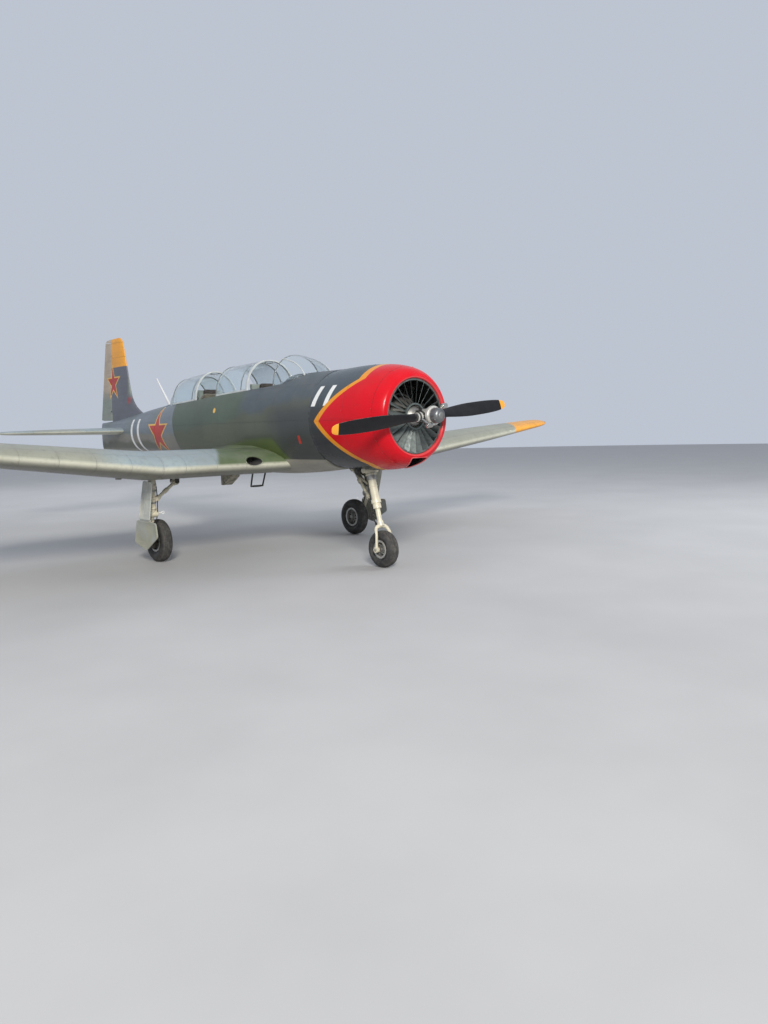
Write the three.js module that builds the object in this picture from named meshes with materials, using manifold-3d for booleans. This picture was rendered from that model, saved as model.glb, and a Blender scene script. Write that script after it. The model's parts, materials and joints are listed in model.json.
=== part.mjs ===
// Two-seat low-wing trainer aircraft with a radial engine, parked on its tricycle gear.
// Millimetres. X to the aircraft's left, Y from nose to tail, Z up from the ground.
// Y is counted from the plane of the propeller blades until the last group moves the origin
// to the middle of the aircraft's outline on the ground.
import * as THREE from "three";
import { mergeVertices } from "three/addons/utils/BufferGeometryUtils.js";
import Module from "manifold-3d";

const wasm = await Module();
wasm.setup();

// General clearances.
const SEAT = 0.4; // between pieces that rest on each other
const RUN = 8; // around a surface that swings

// Outline on the ground, for the origin.
const NOSE_Y = -205;
const TAIL_Y = 8220;

// Engine and propeller.
const THRUST_Z = 1605;
const PROP_RADIUS = 1200;
const PROP_TURN = 5.7; // degrees that the left blade points up from level
const FIREWALL_Y = 1250;
const CYLINDER = { count: 9, y: 560, from: 180, to: 490, footR: 76, headR: 70 };
const SHUTTER = { vanes: 24, y: 176, innerR: 126, outerR: 368, thick: 3, lean: -48 };
const RING_SIDES = 32;

// Fuselage.
const JOIN_Y = 5360;
const SILL = { y: 2100, z: 2020, slope: -0.045 };
const COCKPIT = { front: 2010, back: 4450, floor: 1400, wall: 34 };
const TAIL_SKIN = 14;
const DECK_FRONT = 2010;
const DECK_BACK = 5300;

// Wing.
const KINK_X = 1770;
const WING_Z = 1124;
const DIHEDRAL = 0.12;
const INCIDENCE = 0.035;
const CAMBER = 0.022;
const TIP_X = 5110;

// Tail.
const TAILPLANE_Z = 1552;
const ELEVATOR_Y = 7460;

// Landing gear.
const MAIN = { wheelX: 1485, legX: 1622, y: 3000, tyreR: 250, tyreW: 150, rim: 132 };
const NOSE = { y: 700, tyreR: 200, tyreW: 150, rim: 102, topY: 905, topZ: 1100, rake: 0.2615 };

// Canopy, from the windscreen to the tail glass.
const GLASS = 9;
const HOOD_GAP = 8;
const FRONT_HOOD = { front: 2750, back: 3545, travel: 555 };
const REAR_HOOD = { front: 4110, back: 4870, travel: 505 };
const MIDDLE_GLASS = { front: 2960, back: 3600 };
const TAIL_GLASS_FRONT = 4330;
const WINDSCREEN_BACK = 2186;

const radians = THREE.MathUtils.degToRad;
const vec = (x, y, z) => new THREE.Vector3(x, y, z);

// A closed three.js geometry as a solid, turned right side out.
function solid(geometry) {
  const bare = geometry.index ? geometry.toNonIndexed() : geometry.clone();
  Object.keys(bare.attributes)
    .filter((name) => name !== "position")
    .forEach((name) => bare.deleteAttribute(name));
  const merged = mergeVertices(bare, 1e-3);
  const corners = merged.index.array;
  const kept = [];
  for (let i = 0; i < corners.length; i += 3) {
    const [a, b, c] = corners.slice(i, i + 3);
    if (a !== b && b !== c && a !== c) kept.push(a, b, c);
  }
  const build = (faces) =>
    new wasm.Manifold(
      new wasm.Mesh({
        numProp: 3,
        vertProperties: Float32Array.from(merged.attributes.position.array),
        triVerts: Uint32Array.from(faces),
      }),
    );
  const made = build(kept);
  return made.volume() < 0 ? build(kept.reverse()) : made;
}

function geometryOf(body) {
  const { vertProperties, triVerts } = body.getMesh();
  const geometry = new THREE.BufferGeometry();
  geometry.setAttribute("position", new THREE.BufferAttribute(Float32Array.from(vertProperties), 3));
  geometry.setIndex(new THREE.BufferAttribute(Uint32Array.from(triVerts), 1));
  return geometry;
}

const join = (...bodies) => bodies.reduce((whole, body) => whole.add(body));
const cut = (body, ...tools) => tools.reduce((rest, tool) => rest.subtract(tool), body);

// A closed skin through rings of equal point count, each end closed by a fan.
function loft(rings) {
  const count = rings[0].length;
  const points = rings.flat();
  const faces = [];
  for (let r = 0; r < rings.length - 1; r++) {
    for (let i = 0; i < count; i++) {
      const a = r * count + i;
      const b = r * count + ((i + 1) % count);
      faces.push(a, b, a + count, b, b + count, a + count);
    }
  }
  const middle = (ring) => ring.reduce((sum, p) => sum.add(p), vec(0, 0, 0)).divideScalar(count);
  const last = (rings.length - 1) * count;
  const hub = points.length;
  points.push(middle(rings[0]), middle(rings.at(-1)));
  for (let i = 0; i < count; i++) {
    const next = (i + 1) % count;
    faces.push(hub, next, i, hub + 1, last + i, last + next);
  }
  const geometry = new THREE.BufferGeometry().setFromPoints(points);
  geometry.setIndex(faces);
  return solid(geometry);
}

function box(low, high) {
  const size = high.map((value, i) => value - low[i]);
  const centre = high.map((value, i) => (value + low[i]) / 2);
  return solid(new THREE.BoxGeometry(...size).translate(...centre));
}

// A round bar between two points, tapered when two radii are given.
function rod(from, to, radius, endRadius = radius, sides = 12) {
  const along = to.clone().sub(from);
  const turn = new THREE.Quaternion().setFromUnitVectors(vec(0, 1, 0), along.clone().normalize());
  const geometry = new THREE.CylinderGeometry(endRadius, radius, along.length(), sides);
  const centre = from.clone().add(to).divideScalar(2);
  return solid(geometry.applyQuaternion(turn).translate(...centre.toArray()));
}

// A bent round bar through the given points.
function bentRod(points, radius, quarterSides = 2, steps = 12) {
  const path = new THREE.CatmullRomCurve3(points, false, "centripetal");
  const circle = new THREE.Shape().absarc(0, 0, radius, 0, Math.PI * 2);
  const options = { steps, bevelEnabled: false, extrudePath: path, curveSegments: quarterSides * 2 };
  return solid(new THREE.ExtrudeGeometry(circle, options));
}

// A body turned about Y from [radius, y] pairs, at the height z.
function turned(profile, z = 0, segments = 32) {
  const points = profile.map(([radius, y]) => new THREE.Vector2(radius, y));
  return solid(new THREE.LatheGeometry(points, segments).translate(0, 0, z));
}

// A flat plate: an outline of [a, b] pairs in one plane, with a thickness along the third axis.
function plate(outline, thickness, place) {
  const shape = new THREE.Shape(outline.map(([a, b]) => new THREE.Vector2(a, b)));
  const geometry = new THREE.ExtrudeGeometry(shape, { depth: thickness, bevelEnabled: false });
  return solid(geometry.applyMatrix4(place));
}

// Places for plates: an outline in Y and Z made thick along X, and one in X and Z made thick forwards.
const placed = (right, up, out) => new THREE.Matrix4().makeBasis(right, up, out);
const sideways = (x) => placed(vec(0, 1, 0), vec(0, 0, 1), vec(1, 0, 0)).setPosition(x, 0, 0);
const facing = (y) => placed(vec(1, 0, 0), vec(0, 0, 1), vec(0, -1, 0)).setPosition(0, y, 0);

// Straight-line reading of a table whose first column is the place and whose others are sizes.
function readTable(table, place) {
  const last = table.length - 1;
  const found = table.findIndex((row) => row[0] > place);
  const next = found === -1 ? last : Math.max(found, 1);
  const before = table[next - 1];
  const after = table[next];
  const share = (place - before[0]) / (after[0] - before[0]);
  return before.map((value, i) => value + (after[i] - value) * share);
}

const SCHEME = {
  // finish: colour, roughness, metalness
  camouflage: [0x4a5049, 0.45, 0.1],
  greyPaint: [0x6f7a80, 0.45, 0.1],
  palePaint: [0xcfcbb8, 0.45, 0.1],
  redPaint: [0xc01818, 0.3, 0.1],
  creamPaint: [0xd9d2ae, 0.5, 0.1],
  doorPaint: [0x9aa394, 0.5, 0.1],
  tailPaint: [0x77787a, 0.5, 0.1],
  bareMetal: [0x8d8f90, 0.35, 0.9],
  darkMetal: [0x2c2d2e, 0.5, 0.7],
  blackPaint: [0x151617, 0.4, 0.2],
  rubber: [0x1b1b1c, 0.85, 0],
  glass: [0xb9c6cc, 0.05, 0],
  cloth: [0x4d4a3f, 0.9, 0],
};

const aircraft = new THREE.Group();

function piece(name, body, finish, group = aircraft) {
  const [color, roughness, metalness] = SCHEME[finish];
  const look = { color, roughness, metalness, flatShading: true };
  if (finish === "glass") Object.assign(look, { transparent: true, opacity: 0.35 });
  const mesh = new THREE.Mesh(geometryOf(body), new THREE.MeshStandardMaterial(look));
  mesh.name = name;
  group.add(mesh);
}

// Fuselage sections, columns: y, half width, bottom z, top z, squareness of the oval.
const FUSELAGE = [
  [1250, 535, 1052, 2150, 2.05],
  [1660, 510, 1010, 2152, 2.15],
  [2400, 488, 972, 2160, 2.25],
  [3300, 474, 970, 2140, 2.25],
  [4100, 447, 1020, 2090, 2.2],
  [4600, 424, 1068, 2040, 2.15],
  [5360, 365, 1150, 1932, 2.1],
  [5940, 305, 1190, 1882, 2.05],
  [6750, 222, 1210, 1800, 2.05],
  [7700, 108, 1216, 1722, 2.1],
  [8190, 30, 1222, 1700, 2.4],
];
const RING_POINTS = 28;

function fuselageRing(y, inset = 0) {
  const [, width, bottom, top, square] = readTable(FUSELAGE, y);
  const half = (top - bottom) / 2 - inset;
  const bend = (value) => Math.sign(value) * Math.abs(value) ** (2 / square);
  return Array.from({ length: RING_POINTS }, (_, i) => {
    const turn = (i / RING_POINTS) * 2 * Math.PI;
    return vec((width - inset) * bend(Math.cos(turn)), y, (top + bottom) / 2 + half * bend(Math.sin(turn)));
  });
}

// Half the fuselage's width at a height.
function fuselageSide(y, z) {
  const [, width, bottom, top, square] = readTable(FUSELAGE, y);
  const rise = Math.abs(z - (top + bottom) / 2) / ((top - bottom) / 2);
  return width * Math.max(0, 1 - rise ** square) ** (1 / square);
}

function fuselageLoft(from, to, inset = 0) {
  const between = FUSELAGE.map((row) => row[0]).filter((y) => y > from + 1 && y < to - 1);
  return loft([from, ...between, to].map((y) => fuselageRing(y, inset)));
}

const sillZ = (y) => SILL.z + (y - SILL.y) * SILL.slope;

// Everything above the sill line between two stations, as a tool.
function aboveSill(from, to, lift = 0) {
  const outline = [
    [from, sillZ(from) + lift],
    [to, sillZ(to) + lift],
    [to, 2700],
    [from, 2700],
  ];
  return plate(outline, 1400, sideways(-700));
}

// The room of both cockpits, inside the walls.
function cockpitRoom(inset, from = COCKPIT.front, to = COCKPIT.back) {
  const room = fuselageLoft(from, to, COCKPIT.wall + inset);
  return room.intersect(box([-600, from, COCKPIT.floor + inset], [600, to, 2400]));
}

// Half thickness and middle line of a wing section at the chord share u, as shares of the chord.
const halfThickness = (u) =>
  5 * (0.2969 * Math.sqrt(u) - 0.126 * u - 0.3516 * u ** 2 + 0.2843 * u ** 3 - 0.1015 * u ** 4);
const camberLine = (u) => (u < 0.4 ? (0.8 * u - u * u) / 0.16 : (0.2 + 0.8 * u - u * u) / 0.36);

const SECTION_STEPS = 9;
const sectionShares = Array.from(
  { length: SECTION_STEPS + 1 },
  (_, i) => (1 - Math.cos((i / SECTION_STEPS) * Math.PI)) / 2,
);

// One closed wing section: front and rear edge, thickness share, and how to set a point in space.
function sectionRing(front, rear, share, camber, grow, set) {
  const chord = rear - front;
  const level = (u, side) => {
    const middle = camber * camberLine(u) * chord;
    return middle + side * (halfThickness(u) * share * chord + grow);
  };
  const place = (u, side) => set(front - grow + u * (chord + 2 * grow), level(u, side));
  const upper = [...sectionShares].reverse().map((u) => place(u, 1));
  const lower = sectionShares.slice(grow > 0 ? 0 : 1).map((u) => place(u, -1));
  return [...upper, ...lower];
}

// Wing stations, columns: x, leading edge y, trailing edge y, leading edge z, thickness share.
const wingZ = (x) => WING_Z + DIHEDRAL * Math.max(0, x - KINK_X);
const OUTER_WING = [
  [KINK_X + SEAT, 2150, 4050, wingZ(KINK_X), 0.17],
  [3300, 2181, 3650, wingZ(3300), 0.168],
  [4750, 2212, 3268, wingZ(4750), 0.122],
  [4960, 2262, 3190, wingZ(4960), 0.112],
  [5065, 2390, 3050, wingZ(5065) + 8, 0.095],
  [TIP_X, 2580, 2870, wingZ(TIP_X) + 12, 0.08],
];
const CENTRE_WING = [
  [-KINK_X, 2150, 4050, WING_Z, 0.17],
  [-500, 1940, 4050, WING_Z, 0.147],
  [500, 1940, 4050, WING_Z, 0.147],
  [KINK_X, 2150, 4050, WING_Z, 0.17],
];

function wingRing([x, front, rear, z, share], side, grow = 0) {
  return sectionRing(front, rear, share, CAMBER, grow, (y, rise) =>
    vec(side * x, y, z + rise - (y - front) * INCIDENCE),
  );
}

// The wing's middle surface and half thickness at a place in plan.
function wingAt(table, x, y) {
  const [, front, rear, z, share] = readTable(table, x);
  const chord = rear - front;
  const u = (y - front) / chord;
  return {
    middle: z + CAMBER * camberLine(u) * chord - (y - front) * INCIDENCE,
    half: halfThickness(u) * share * chord,
  };
}

// A hinged surface: a round nose on the hinge line and a straight taper to the trailing edge.
// from and to are the ends of the hinge line; aft is the way to the trailing edge.
// Returns the surface, the room it needs in its carrier, and the carrier's hinge knuckles.
const KNUCKLE = { length: 34, radius: 9, web: 10 };
function hinged({ from, to, aft, nose, chord, edge = 3, knuckles = [0.18, 0.82], room = [RUN, RUN] }) {
  const along = to.clone().sub(from);
  const length = along.length();
  along.normalize();
  const back = aft.clone().addScaledVector(along, -aft.dot(along)).normalize();
  const up = along.clone().cross(back);
  const at = (s, b, u) =>
    from.clone().addScaledVector(along, s).addScaledVector(back, b).addScaledVector(up, u);
  const mix = (pair, s) => pair[0] + (pair[1] - pair[0]) * (s / length);
  const ring = (s) => {
    const radius = mix(nose, s);
    const bow = [90, 120, 150, 180, 210, 240, 270].map(radians);
    const round = bow.map((turn) => at(s, radius * Math.cos(turn), radius * Math.sin(turn)));
    return [...round, at(s, mix(chord, s), -edge), at(s, mix(chord, s), edge)];
  };
  const slab = (s0, s1, b0, b1, u0, u1) =>
    loft([s0, s1].map((s, i) => [at(s, b0[i], u0), at(s, b1[i], u0), at(s, b1[i], u1), at(s, b0[i], u1)]));
  const far = 700;
  const start = -room[0];
  const end = length + room[1];
  const fronts = [start, end].map((s) => -(mix(nose, s) + RUN));
  const slot = slab(start, end, fronts, [far, far], -300, 300);
  const halfKnuckle = KNUCKLE.length / 2;
  const places = knuckles.map((share) => share * length);
  const notches = places.map((s) => {
    const gap = halfKnuckle + SEAT;
    return slab(s - gap, s + gap, [-far, -far], [KNUCKLE.radius + 6, KNUCKLE.radius + 6], -300, 300);
  });
  const lugs = places.map((s) => {
    const root = -(mix(nose, s) + RUN + 12);
    const [near, far] = [s - halfKnuckle, s + halfKnuckle];
    const web = slab(near, far, [root, root], [0, 0], -KNUCKLE.web / 2, KNUCKLE.web / 2);
    return web.add(rod(at(near, 0, 0), at(far, 0, 0), KNUCKLE.radius, KNUCKLE.radius, 8));
  });
  return { surface: cut(loft([ring(0), ring(length)]), ...notches), slot, lugs };
}

// Aileron on the outer panel, between two stations at a share of the chord.
const AILERON = { inner: 2300, outer: 4640, share: 0.76 };
function aileron(side) {
  const hinge = [AILERON.inner, AILERON.outer].map((x) => {
    const [, front, rear] = readTable(OUTER_WING, x);
    const y = front + (rear - front) * AILERON.share;
    const { middle, half } = wingAt(OUTER_WING, x, y);
    return { point: vec(side * x, y, middle), nose: half * 0.93, chord: (rear - y) * 0.985 };
  });
  return hinged({
    from: hinge[0].point,
    to: hinge[1].point,
    aft: vec(0, 1, -0.055),
    nose: hinge.map((end) => end.nose),
    chord: hinge.map((end) => end.chord),
  });
}

// Split flap under one half of the centre section, with its hinge line just inside the lower skin.
const FLAP = { inner: 545, outer: 1700, y: 3560, length: 415, nose: 9, edge: 4, slope: 0.028, skin: 5 };
function flapHingeZ() {
  const { middle, half } = wingAt(CENTRE_WING, 0, FLAP.y);
  return middle - half + FLAP.nose + FLAP.skin;
}

function flap(side) {
  const z = flapHingeZ();
  return hinged({
    from: vec(side * FLAP.inner, FLAP.y, z),
    to: vec(side * FLAP.outer, FLAP.y, z),
    aft: vec(0, 1, FLAP.slope),
    nose: [FLAP.nose, FLAP.nose],
    chord: [FLAP.length, FLAP.length],
    edge: FLAP.edge,
    knuckles: [0.12, 0.5, 0.88],
  });
}

// The room of a flap below the wing's upper skin.
function flapRecess(side) {
  const xs = [FLAP.inner - RUN, FLAP.outer + RUN].map((x) => side * x);
  const front = FLAP.y - FLAP.nose - RUN;
  const back = FLAP.y + FLAP.length + RUN;
  const roof = flapHingeZ() + FLAP.nose + RUN;
  const below = 850;
  const outline = [
    [front, roof],
    [back, roof - FLAP.edge + (back - FLAP.y) * FLAP.slope],
    [back, below],
    [front, below],
  ];
  return plate(outline, Math.abs(xs[1] - xs[0]), sideways(Math.min(...xs)));
}

// Wheel well and leg slot in the underside of the centre section.
const WELL = { x: 905, y: 2860, radius: 270, roof: 1235 };
const LEG_SLOT = { front: 2730, back: 2925, end: 1672, roof: 1175 };
const BELOW_WING = 800;
function wheelWell(side) {
  const bowl = rod(vec(side * WELL.x, WELL.y, BELOW_WING), vec(side * WELL.x, WELL.y, WELL.roof), WELL.radius,
    WELL.radius, 20);
  const ends = [side * WELL.x, side * LEG_SLOT.end].sort((a, b) => a - b);
  return bowl.add(box([ends[0], LEG_SLOT.front, BELOW_WING], [ends[1], LEG_SLOT.back, LEG_SLOT.roof]));
}

// Round jacking pad under the spar of each outer panel.
const JACK_PAD = { x: 2050, y: 2700, radius: 32, depth: 14 };

// Oval intake of the oil cooler in the right leading edge.
const COOLER = { x: -765, y: 2065, z: 1160, frontR: 98, backR: 78, depth: 380, flat: 0.52 };

// Tail surfaces. Tailplane columns: x, leading edge, trailing edge, thickness share.
const TAILPLANE = [
  [60, 6800, 8010, 0.1],
  [1760, 7120, 7830, 0.09],
  [1890, 7200, 7790, 0.085],
  [1950, 7330, 7690, 0.07],
];
const tailplaneRing = ([x, front, rear, share], side) =>
  sectionRing(front, rear, share, 0, 0, (y, rise) => vec(side * x, y, TAILPLANE_Z + rise));

function elevator(side) {
  const stations = [ELEVATOR.inner, ELEVATOR.outer];
  const read = stations.map((x) => {
    const [, front, rear, share] = readTable(TAILPLANE, x);
    const u = (ELEVATOR_Y - front) / (rear - front);
    return { nose: halfThickness(u) * share * (rear - front) * 0.95, chord: rear - ELEVATOR_Y };
  });
  return hinged({
    from: vec(side * stations[0], ELEVATOR_Y, TAILPLANE_Z),
    to: vec(side * stations[1], ELEVATOR_Y, TAILPLANE_Z),
    aft: vec(0, 1, 0),
    nose: read.map((end) => end.nose),
    chord: read.map((end) => end.chord),
    room: [200, RUN],
  });
}

// Fin columns: z, leading edge y, trailing edge y of fin and rudder together, thickness share.
const FIN = [
  [1690, 6250, 8222, 0.05],
  [1800, 6440, 8196, 0.056],
  [1880, 6620, 8176, 0.066],
  [1950, 6750, 8157, 0.078],
  [2120, 6900, 8100, 0.088],
  [2650, 7040, 7960, 0.088],
  [2980, 7120, 7885, 0.085],
  [3060, 7165, 7850, 0.08],
  [3100, 7240, 7790, 0.06],
];
const finRing = ([z, front, rear, share]) =>
  sectionRing(front, rear, share, 0, 0, (y, rise) => vec(rise, y, z));
const RUDDER = { lowY: 7733, lowZ: 1700, highY: 7583, highZ: 3030, bottom: 1738 };

function rudder() {
  return hinged({
    from: vec(0, RUDDER.lowY, RUDDER.lowZ),
    to: vec(0, RUDDER.highY, RUDDER.highZ),
    aft: vec(0, 1, 0),
    nose: [40, 21],
    chord: [490, 268],
    room: [300, RUN],
    knuckles: [0.14, 0.84],
  });
}

// Fairing between the fuselage side and the wing's upper skin, which runs on behind the trailing edge.
// Columns: y, height of its foot over the wing (over the ground where the last column is 1), rise, reach.
const ROOT_FAIRING = [
  [2190, 0, 14, 12, 0],
  [2500, 0, 52, 46, 0],
  [3000, 0, 92, 84, 0],
  [3500, 0, 145, 124, 0],
  [4050, 1052, 205, 170, 1],
  [4350, 1072, 130, 90, 1],
  [4640, 1118, 24, 12, 1],
];
const FAIRING_STEPS = 6;

function rootFairing(side) {
  const rings = ROOT_FAIRING.map(([y, foot, rise, reach, free]) => {
    const wing = wingAt(CENTRE_WING, 500, y);
    const low = free ? foot : wing.middle + wing.half;
    const toe = fuselageSide(y, low + rise / 3) + reach;
    const head = fuselageSide(y, low + rise);
    const corner = { x: fuselageSide(y, low + rise / 3) + 4, z: low + 6 };
    const bow = Array.from({ length: FAIRING_STEPS + 1 }, (_, i) => {
      const t = i / FAIRING_STEPS;
      const [a, b, c] = [(1 - t) ** 2, 2 * t * (1 - t), t ** 2];
      return vec(a * toe + b * corner.x + c * head, y, a * low + b * corner.z + c * (low + rise));
    });
    const floor = free ? low - 8 : wing.middle;
    const inner = COCKPIT.wall / 2;
    const ring = [vec(toe, y, floor), ...bow, vec(head - inner, y, low + rise), vec(head - inner, y, floor)];
    return ring.map((point) => vec(side * point.x, y, point.z));
  });
  return loft(rings);
}

const BULKHEAD = 20; // behind the rear seat; the bay behind it runs on into the tail
const TAIL_END = { shell: 8190, hollow: 8000 };
const ELEVATOR = { inner: 158, outer: 1765, tubeR: 12 };

function buildFuselage() {
  const wing = loft(CENTRE_WING.map((row) => wingRing(row, 1, 2 * SEAT)));
  const whole = join(fuselageLoft(FIREWALL_Y, JOIN_Y), rootFairing(1), rootFairing(-1));
  const bay = cockpitRoom(0, COCKPIT.back + BULKHEAD, JOIN_Y + 20);
  const underDeck = cut(bay, aboveSill(DECK_FRONT, JOIN_Y + 40, -COCKPIT.wall));
  const front = cut(whole, aboveSill(DECK_FRONT, DECK_BACK), cockpitRoom(0), underDeck, wing);
  piece("fuselage_front", front, "camouflage");

  const shell = fuselageLoft(JOIN_Y + SEAT, TAIL_END.shell);
  const hollow = fuselageLoft(JOIN_Y - 20, TAIL_END.hollow, TAIL_SKIN);
  const [left, right] = [1, -1].map((side) =>
    vec(side * (ELEVATOR.inner - SEAT), ELEVATOR_Y, TAILPLANE_Z));
  piece("fuselage_rear", join(cut(shell, hollow), rod(left, right, ELEVATOR.tubeR)), "greyPaint");
}

const SIDES = { left: 1, right: -1 };

function buildWing() {
  let centre = loft(CENTRE_WING.map((row) => wingRing(row, 1)));
  const proud = loft(CENTRE_WING.map((row) => wingRing(row, 1, FLAP.skin + 1)));
  for (const [name, side] of Object.entries(SIDES)) {
    const one = flap(side);
    centre = cut(centre, flapRecess(side), wheelWell(side));
    centre = join(centre, ...one.lugs.map((lug) => lug.intersect(proud)));
    piece("flap_" + name, one.surface, "palePaint");
  }
  const duct = new THREE.CylinderGeometry(COOLER.backR, COOLER.frontR, COOLER.depth, 24);
  duct.scale(1, 1, COOLER.flat).translate(COOLER.x, COOLER.y, COOLER.z);
  piece("wing_centre", cut(centre, solid(duct)), "palePaint");

  for (const [name, side] of Object.entries(SIDES)) {
    const flying = aileron(side);
    const panel = loft(OUTER_WING.map((row) => wingRing(row, side)));
    const under = wingAt(OUTER_WING, JACK_PAD.x, JACK_PAD.y);
    const foot = under.middle - under.half - JACK_PAD.depth;
    const at = (z) => vec(side * JACK_PAD.x, JACK_PAD.y, z);
    const pad = rod(at(under.middle), at(foot), JACK_PAD.radius, JACK_PAD.radius, 16);
    piece("wing_" + name, join(cut(panel, flying.slot), ...flying.lugs, pad), "palePaint");
    piece("aileron_" + name, flying.surface, "greyPaint");
  }
}

function buildTail() {
  const body = fuselageLoft(JOIN_Y + SEAT, TAIL_END.shell);
  for (const [name, side] of Object.entries(SIDES)) {
    const swing = elevator(side);
    const plane = loft(TAILPLANE.map((row) => tailplaneRing(row, side)));
    const seated = cut(plane, body.translate([side * SEAT, 0, 0]), body, swing.slot);
    piece("tailplane_" + name, join(seated, ...swing.lugs), "palePaint");
    piece("elevator_" + name, swing.surface, "palePaint");
  }
  const swing = rudder();
  const fin = cut(loft(FIN.map(finRing)), body.translate([0, 0, SEAT]), body, swing.slot);
  piece("fin", join(fin, ...swing.lugs), "tailPaint");
  const foot = box([-200, 7400, 1500], [200, 8400, RUDDER.bottom]);
  piece("rudder", cut(swing.surface, foot), "tailPaint");
}

// Cowling, engine and shutters.
const COWL_PROFILE = [
  // radius, y: outside from the lip to the back, then inside to the lip
  [404, 140],
  [446, 162],
  [492, 235],
  [532, 390],
  [551, 600],
  [556, 850],
  [542, 1249.6],
  [524, 1249.6],
  [540, 850],
  [516, 400],
  [452, 222],
  [384, 200],
  [380, 164],
  [404, 140],
];

// The cowling's outer shape as a full body, grown outwards, as a tool.
const COWL_OUTSIDE = 7;
function cowlCore(grow) {
  const outside = COWL_PROFILE.slice(0, COWL_OUTSIDE).map(([radius, y]) => [radius + grow, y]);
  return turned([[0, outside[0][1]], ...outside, [0, outside.at(-1)[1]]], THRUST_Z, RING_SIDES);
}

// Air inlet in the chin of the cowling, an outline of [x, z].
const CHIN_INLET = [[-85, 1190], [165, 1190], [140, 1118], [70, 1078], [10, 1078], [-60, 1118]];
const CRANKCASE = [
  // radius, y: shaft, nose case, case, rear cover, mounting
  [0, 62], [46, 62], [46, 150], [190, 330], [215, 760], [300, 820], [300, 900], [180, 1249.6], [0, 1249.6],
];

function shutterVane(turn) {
  const lean = radians(SHUTTER.lean);
  const ends = [[SHUTTER.innerR, 16], [SHUTTER.outerR, 44]];
  const half = SHUTTER.thick / 2;
  return loft(
    ends.map(([radius, wide]) =>
      [[-wide, -half], [wide, -half], [wide, half], [-wide, half]].map(([a, b]) => {
        const across = a * Math.cos(lean) - b * Math.sin(lean);
        const deep = a * Math.sin(lean) + b * Math.cos(lean);
        return vec(
          radius * Math.cos(turn) - across * Math.sin(turn),
          SHUTTER.y + deep,
          THRUST_Z + radius * Math.sin(turn) + across * Math.cos(turn),
        );
      }),
    ),
  );
}

function buildNose() {
  const chin = plate(CHIN_INLET, 500, facing(560));
  piece("cowling", cut(turned(COWL_PROFILE, THRUST_Z, RING_SIDES), chin), "redPaint");

  let engine = turned(CRANKCASE, THRUST_Z, 18);
  for (let i = 0; i < CYLINDER.count; i++) {
    const turn = (i / CYLINDER.count) * Math.PI * 2 + Math.PI / 2;
    const at = (radius) => vec(radius * Math.cos(turn), CYLINDER.y, THRUST_Z + radius * Math.sin(turn));
    engine = join(engine, rod(at(CYLINDER.from), at(CYLINDER.to), CYLINDER.footR, CYLINDER.headR, 10));
  }
  piece("engine", engine, "darkMetal");

  const hoop = (low, high, y0, y1) =>
    turned([[low, y0], [high, y0], [high, y1], [low, y1], [low, y0]], THRUST_Z, SHUTTER.vanes);
  const hoops = join(hoop(360, 377.8, 160, 182), hoop(116, 136, 158, 186));
  const vanes = Array.from({ length: SHUTTER.vanes }, (_, i) =>
    shutterVane(((i + 0.5) / SHUTTER.vanes) * Math.PI * 2));
  piece("cooling_shutters", join(hoops, ...vanes), "bareMetal");
}

// Propeller, made about its own axis in a group that is turned as it stands.
const BLADE = [
  // distance from the axis, chord, thickness, twist in degrees from the plane of turning
  [150, 84, 76, 44],
  [240, 96, 62, 40],
  [400, 130, 36, 33],
  [620, 150, 24, 26],
  [860, 144, 17, 20],
  [1050, 124, 12, 16],
  [1150, 96, 9, 14],
  [1190, 64, 7, 14],
  [PROP_RADIUS, 36, 5, 14],
];

function blade(side) {
  const rings = BLADE.map(([radius, chord, thick, twist]) => {
    const lean = radians(twist) * side;
    return Array.from({ length: 12 }, (_, i) => {
      const turn = (i / 12) * Math.PI * 2;
      const a = (chord / 2) * Math.cos(turn);
      const b = (thick / 2) * Math.sin(turn);
      const [sin, cos] = [Math.sin(lean), Math.cos(lean)];
      return vec(side * radius, a * sin + b * cos, a * cos - b * sin);
    });
  });
  return loft(rings);
}

const HUB_PROFILE = [
  // radius, y: pitch cylinder, flange, barrel, shaft end
  [0, NOSE_Y], [34, -203], [60, -192], [74, -172], [78, -110], [96, -104], [96, -74],
  [70, -66], [70, 40], [58, 61.6], [0, 61.6],
];
const WEIGHT = { inner: 80, outer: 145, armX: 112, y: -135, z: 82, radius: 26, armR: 15 };

function buildPropeller() {
  const propeller = new THREE.Group();
  propeller.position.set(0, 0, THRUST_Z);
  propeller.rotation.y = -radians(PROP_TURN);
  let hub = turned(HUB_PROFILE, 0, 18);
  for (const [name, side] of Object.entries(SIDES)) {
    const socket = rod(vec(side * 40, 0, 0), vec(side * (BLADE[0][0] - SEAT), 0, 0), 52, 46, 12);
    const [near, far, arm] = [WEIGHT.inner, WEIGHT.outer, WEIGHT.armX].map((x) =>
      vec(side * x, WEIGHT.y, side * WEIGHT.z));
    const weight = rod(near, far, WEIGHT.radius, WEIGHT.radius, 8);
    hub = join(hub, socket, weight, rod(vec(arm.x, -10, 0), arm, WEIGHT.armR, WEIGHT.armR, 6));
    piece("propeller_blade_" + name, blade(side), "blackPaint", propeller);
  }
  piece("propeller_hub", hub, "bareMetal", propeller);
  aircraft.add(propeller);
}

// Wheels turn about X, so a profile made about Y is laid over.
function wheelBody(profile, segments) {
  const points = profile.map(([radius, across]) => new THREE.Vector2(radius, across));
  return solid(new THREE.LatheGeometry(points, segments).rotateZ(-Math.PI / 2));
}

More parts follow.
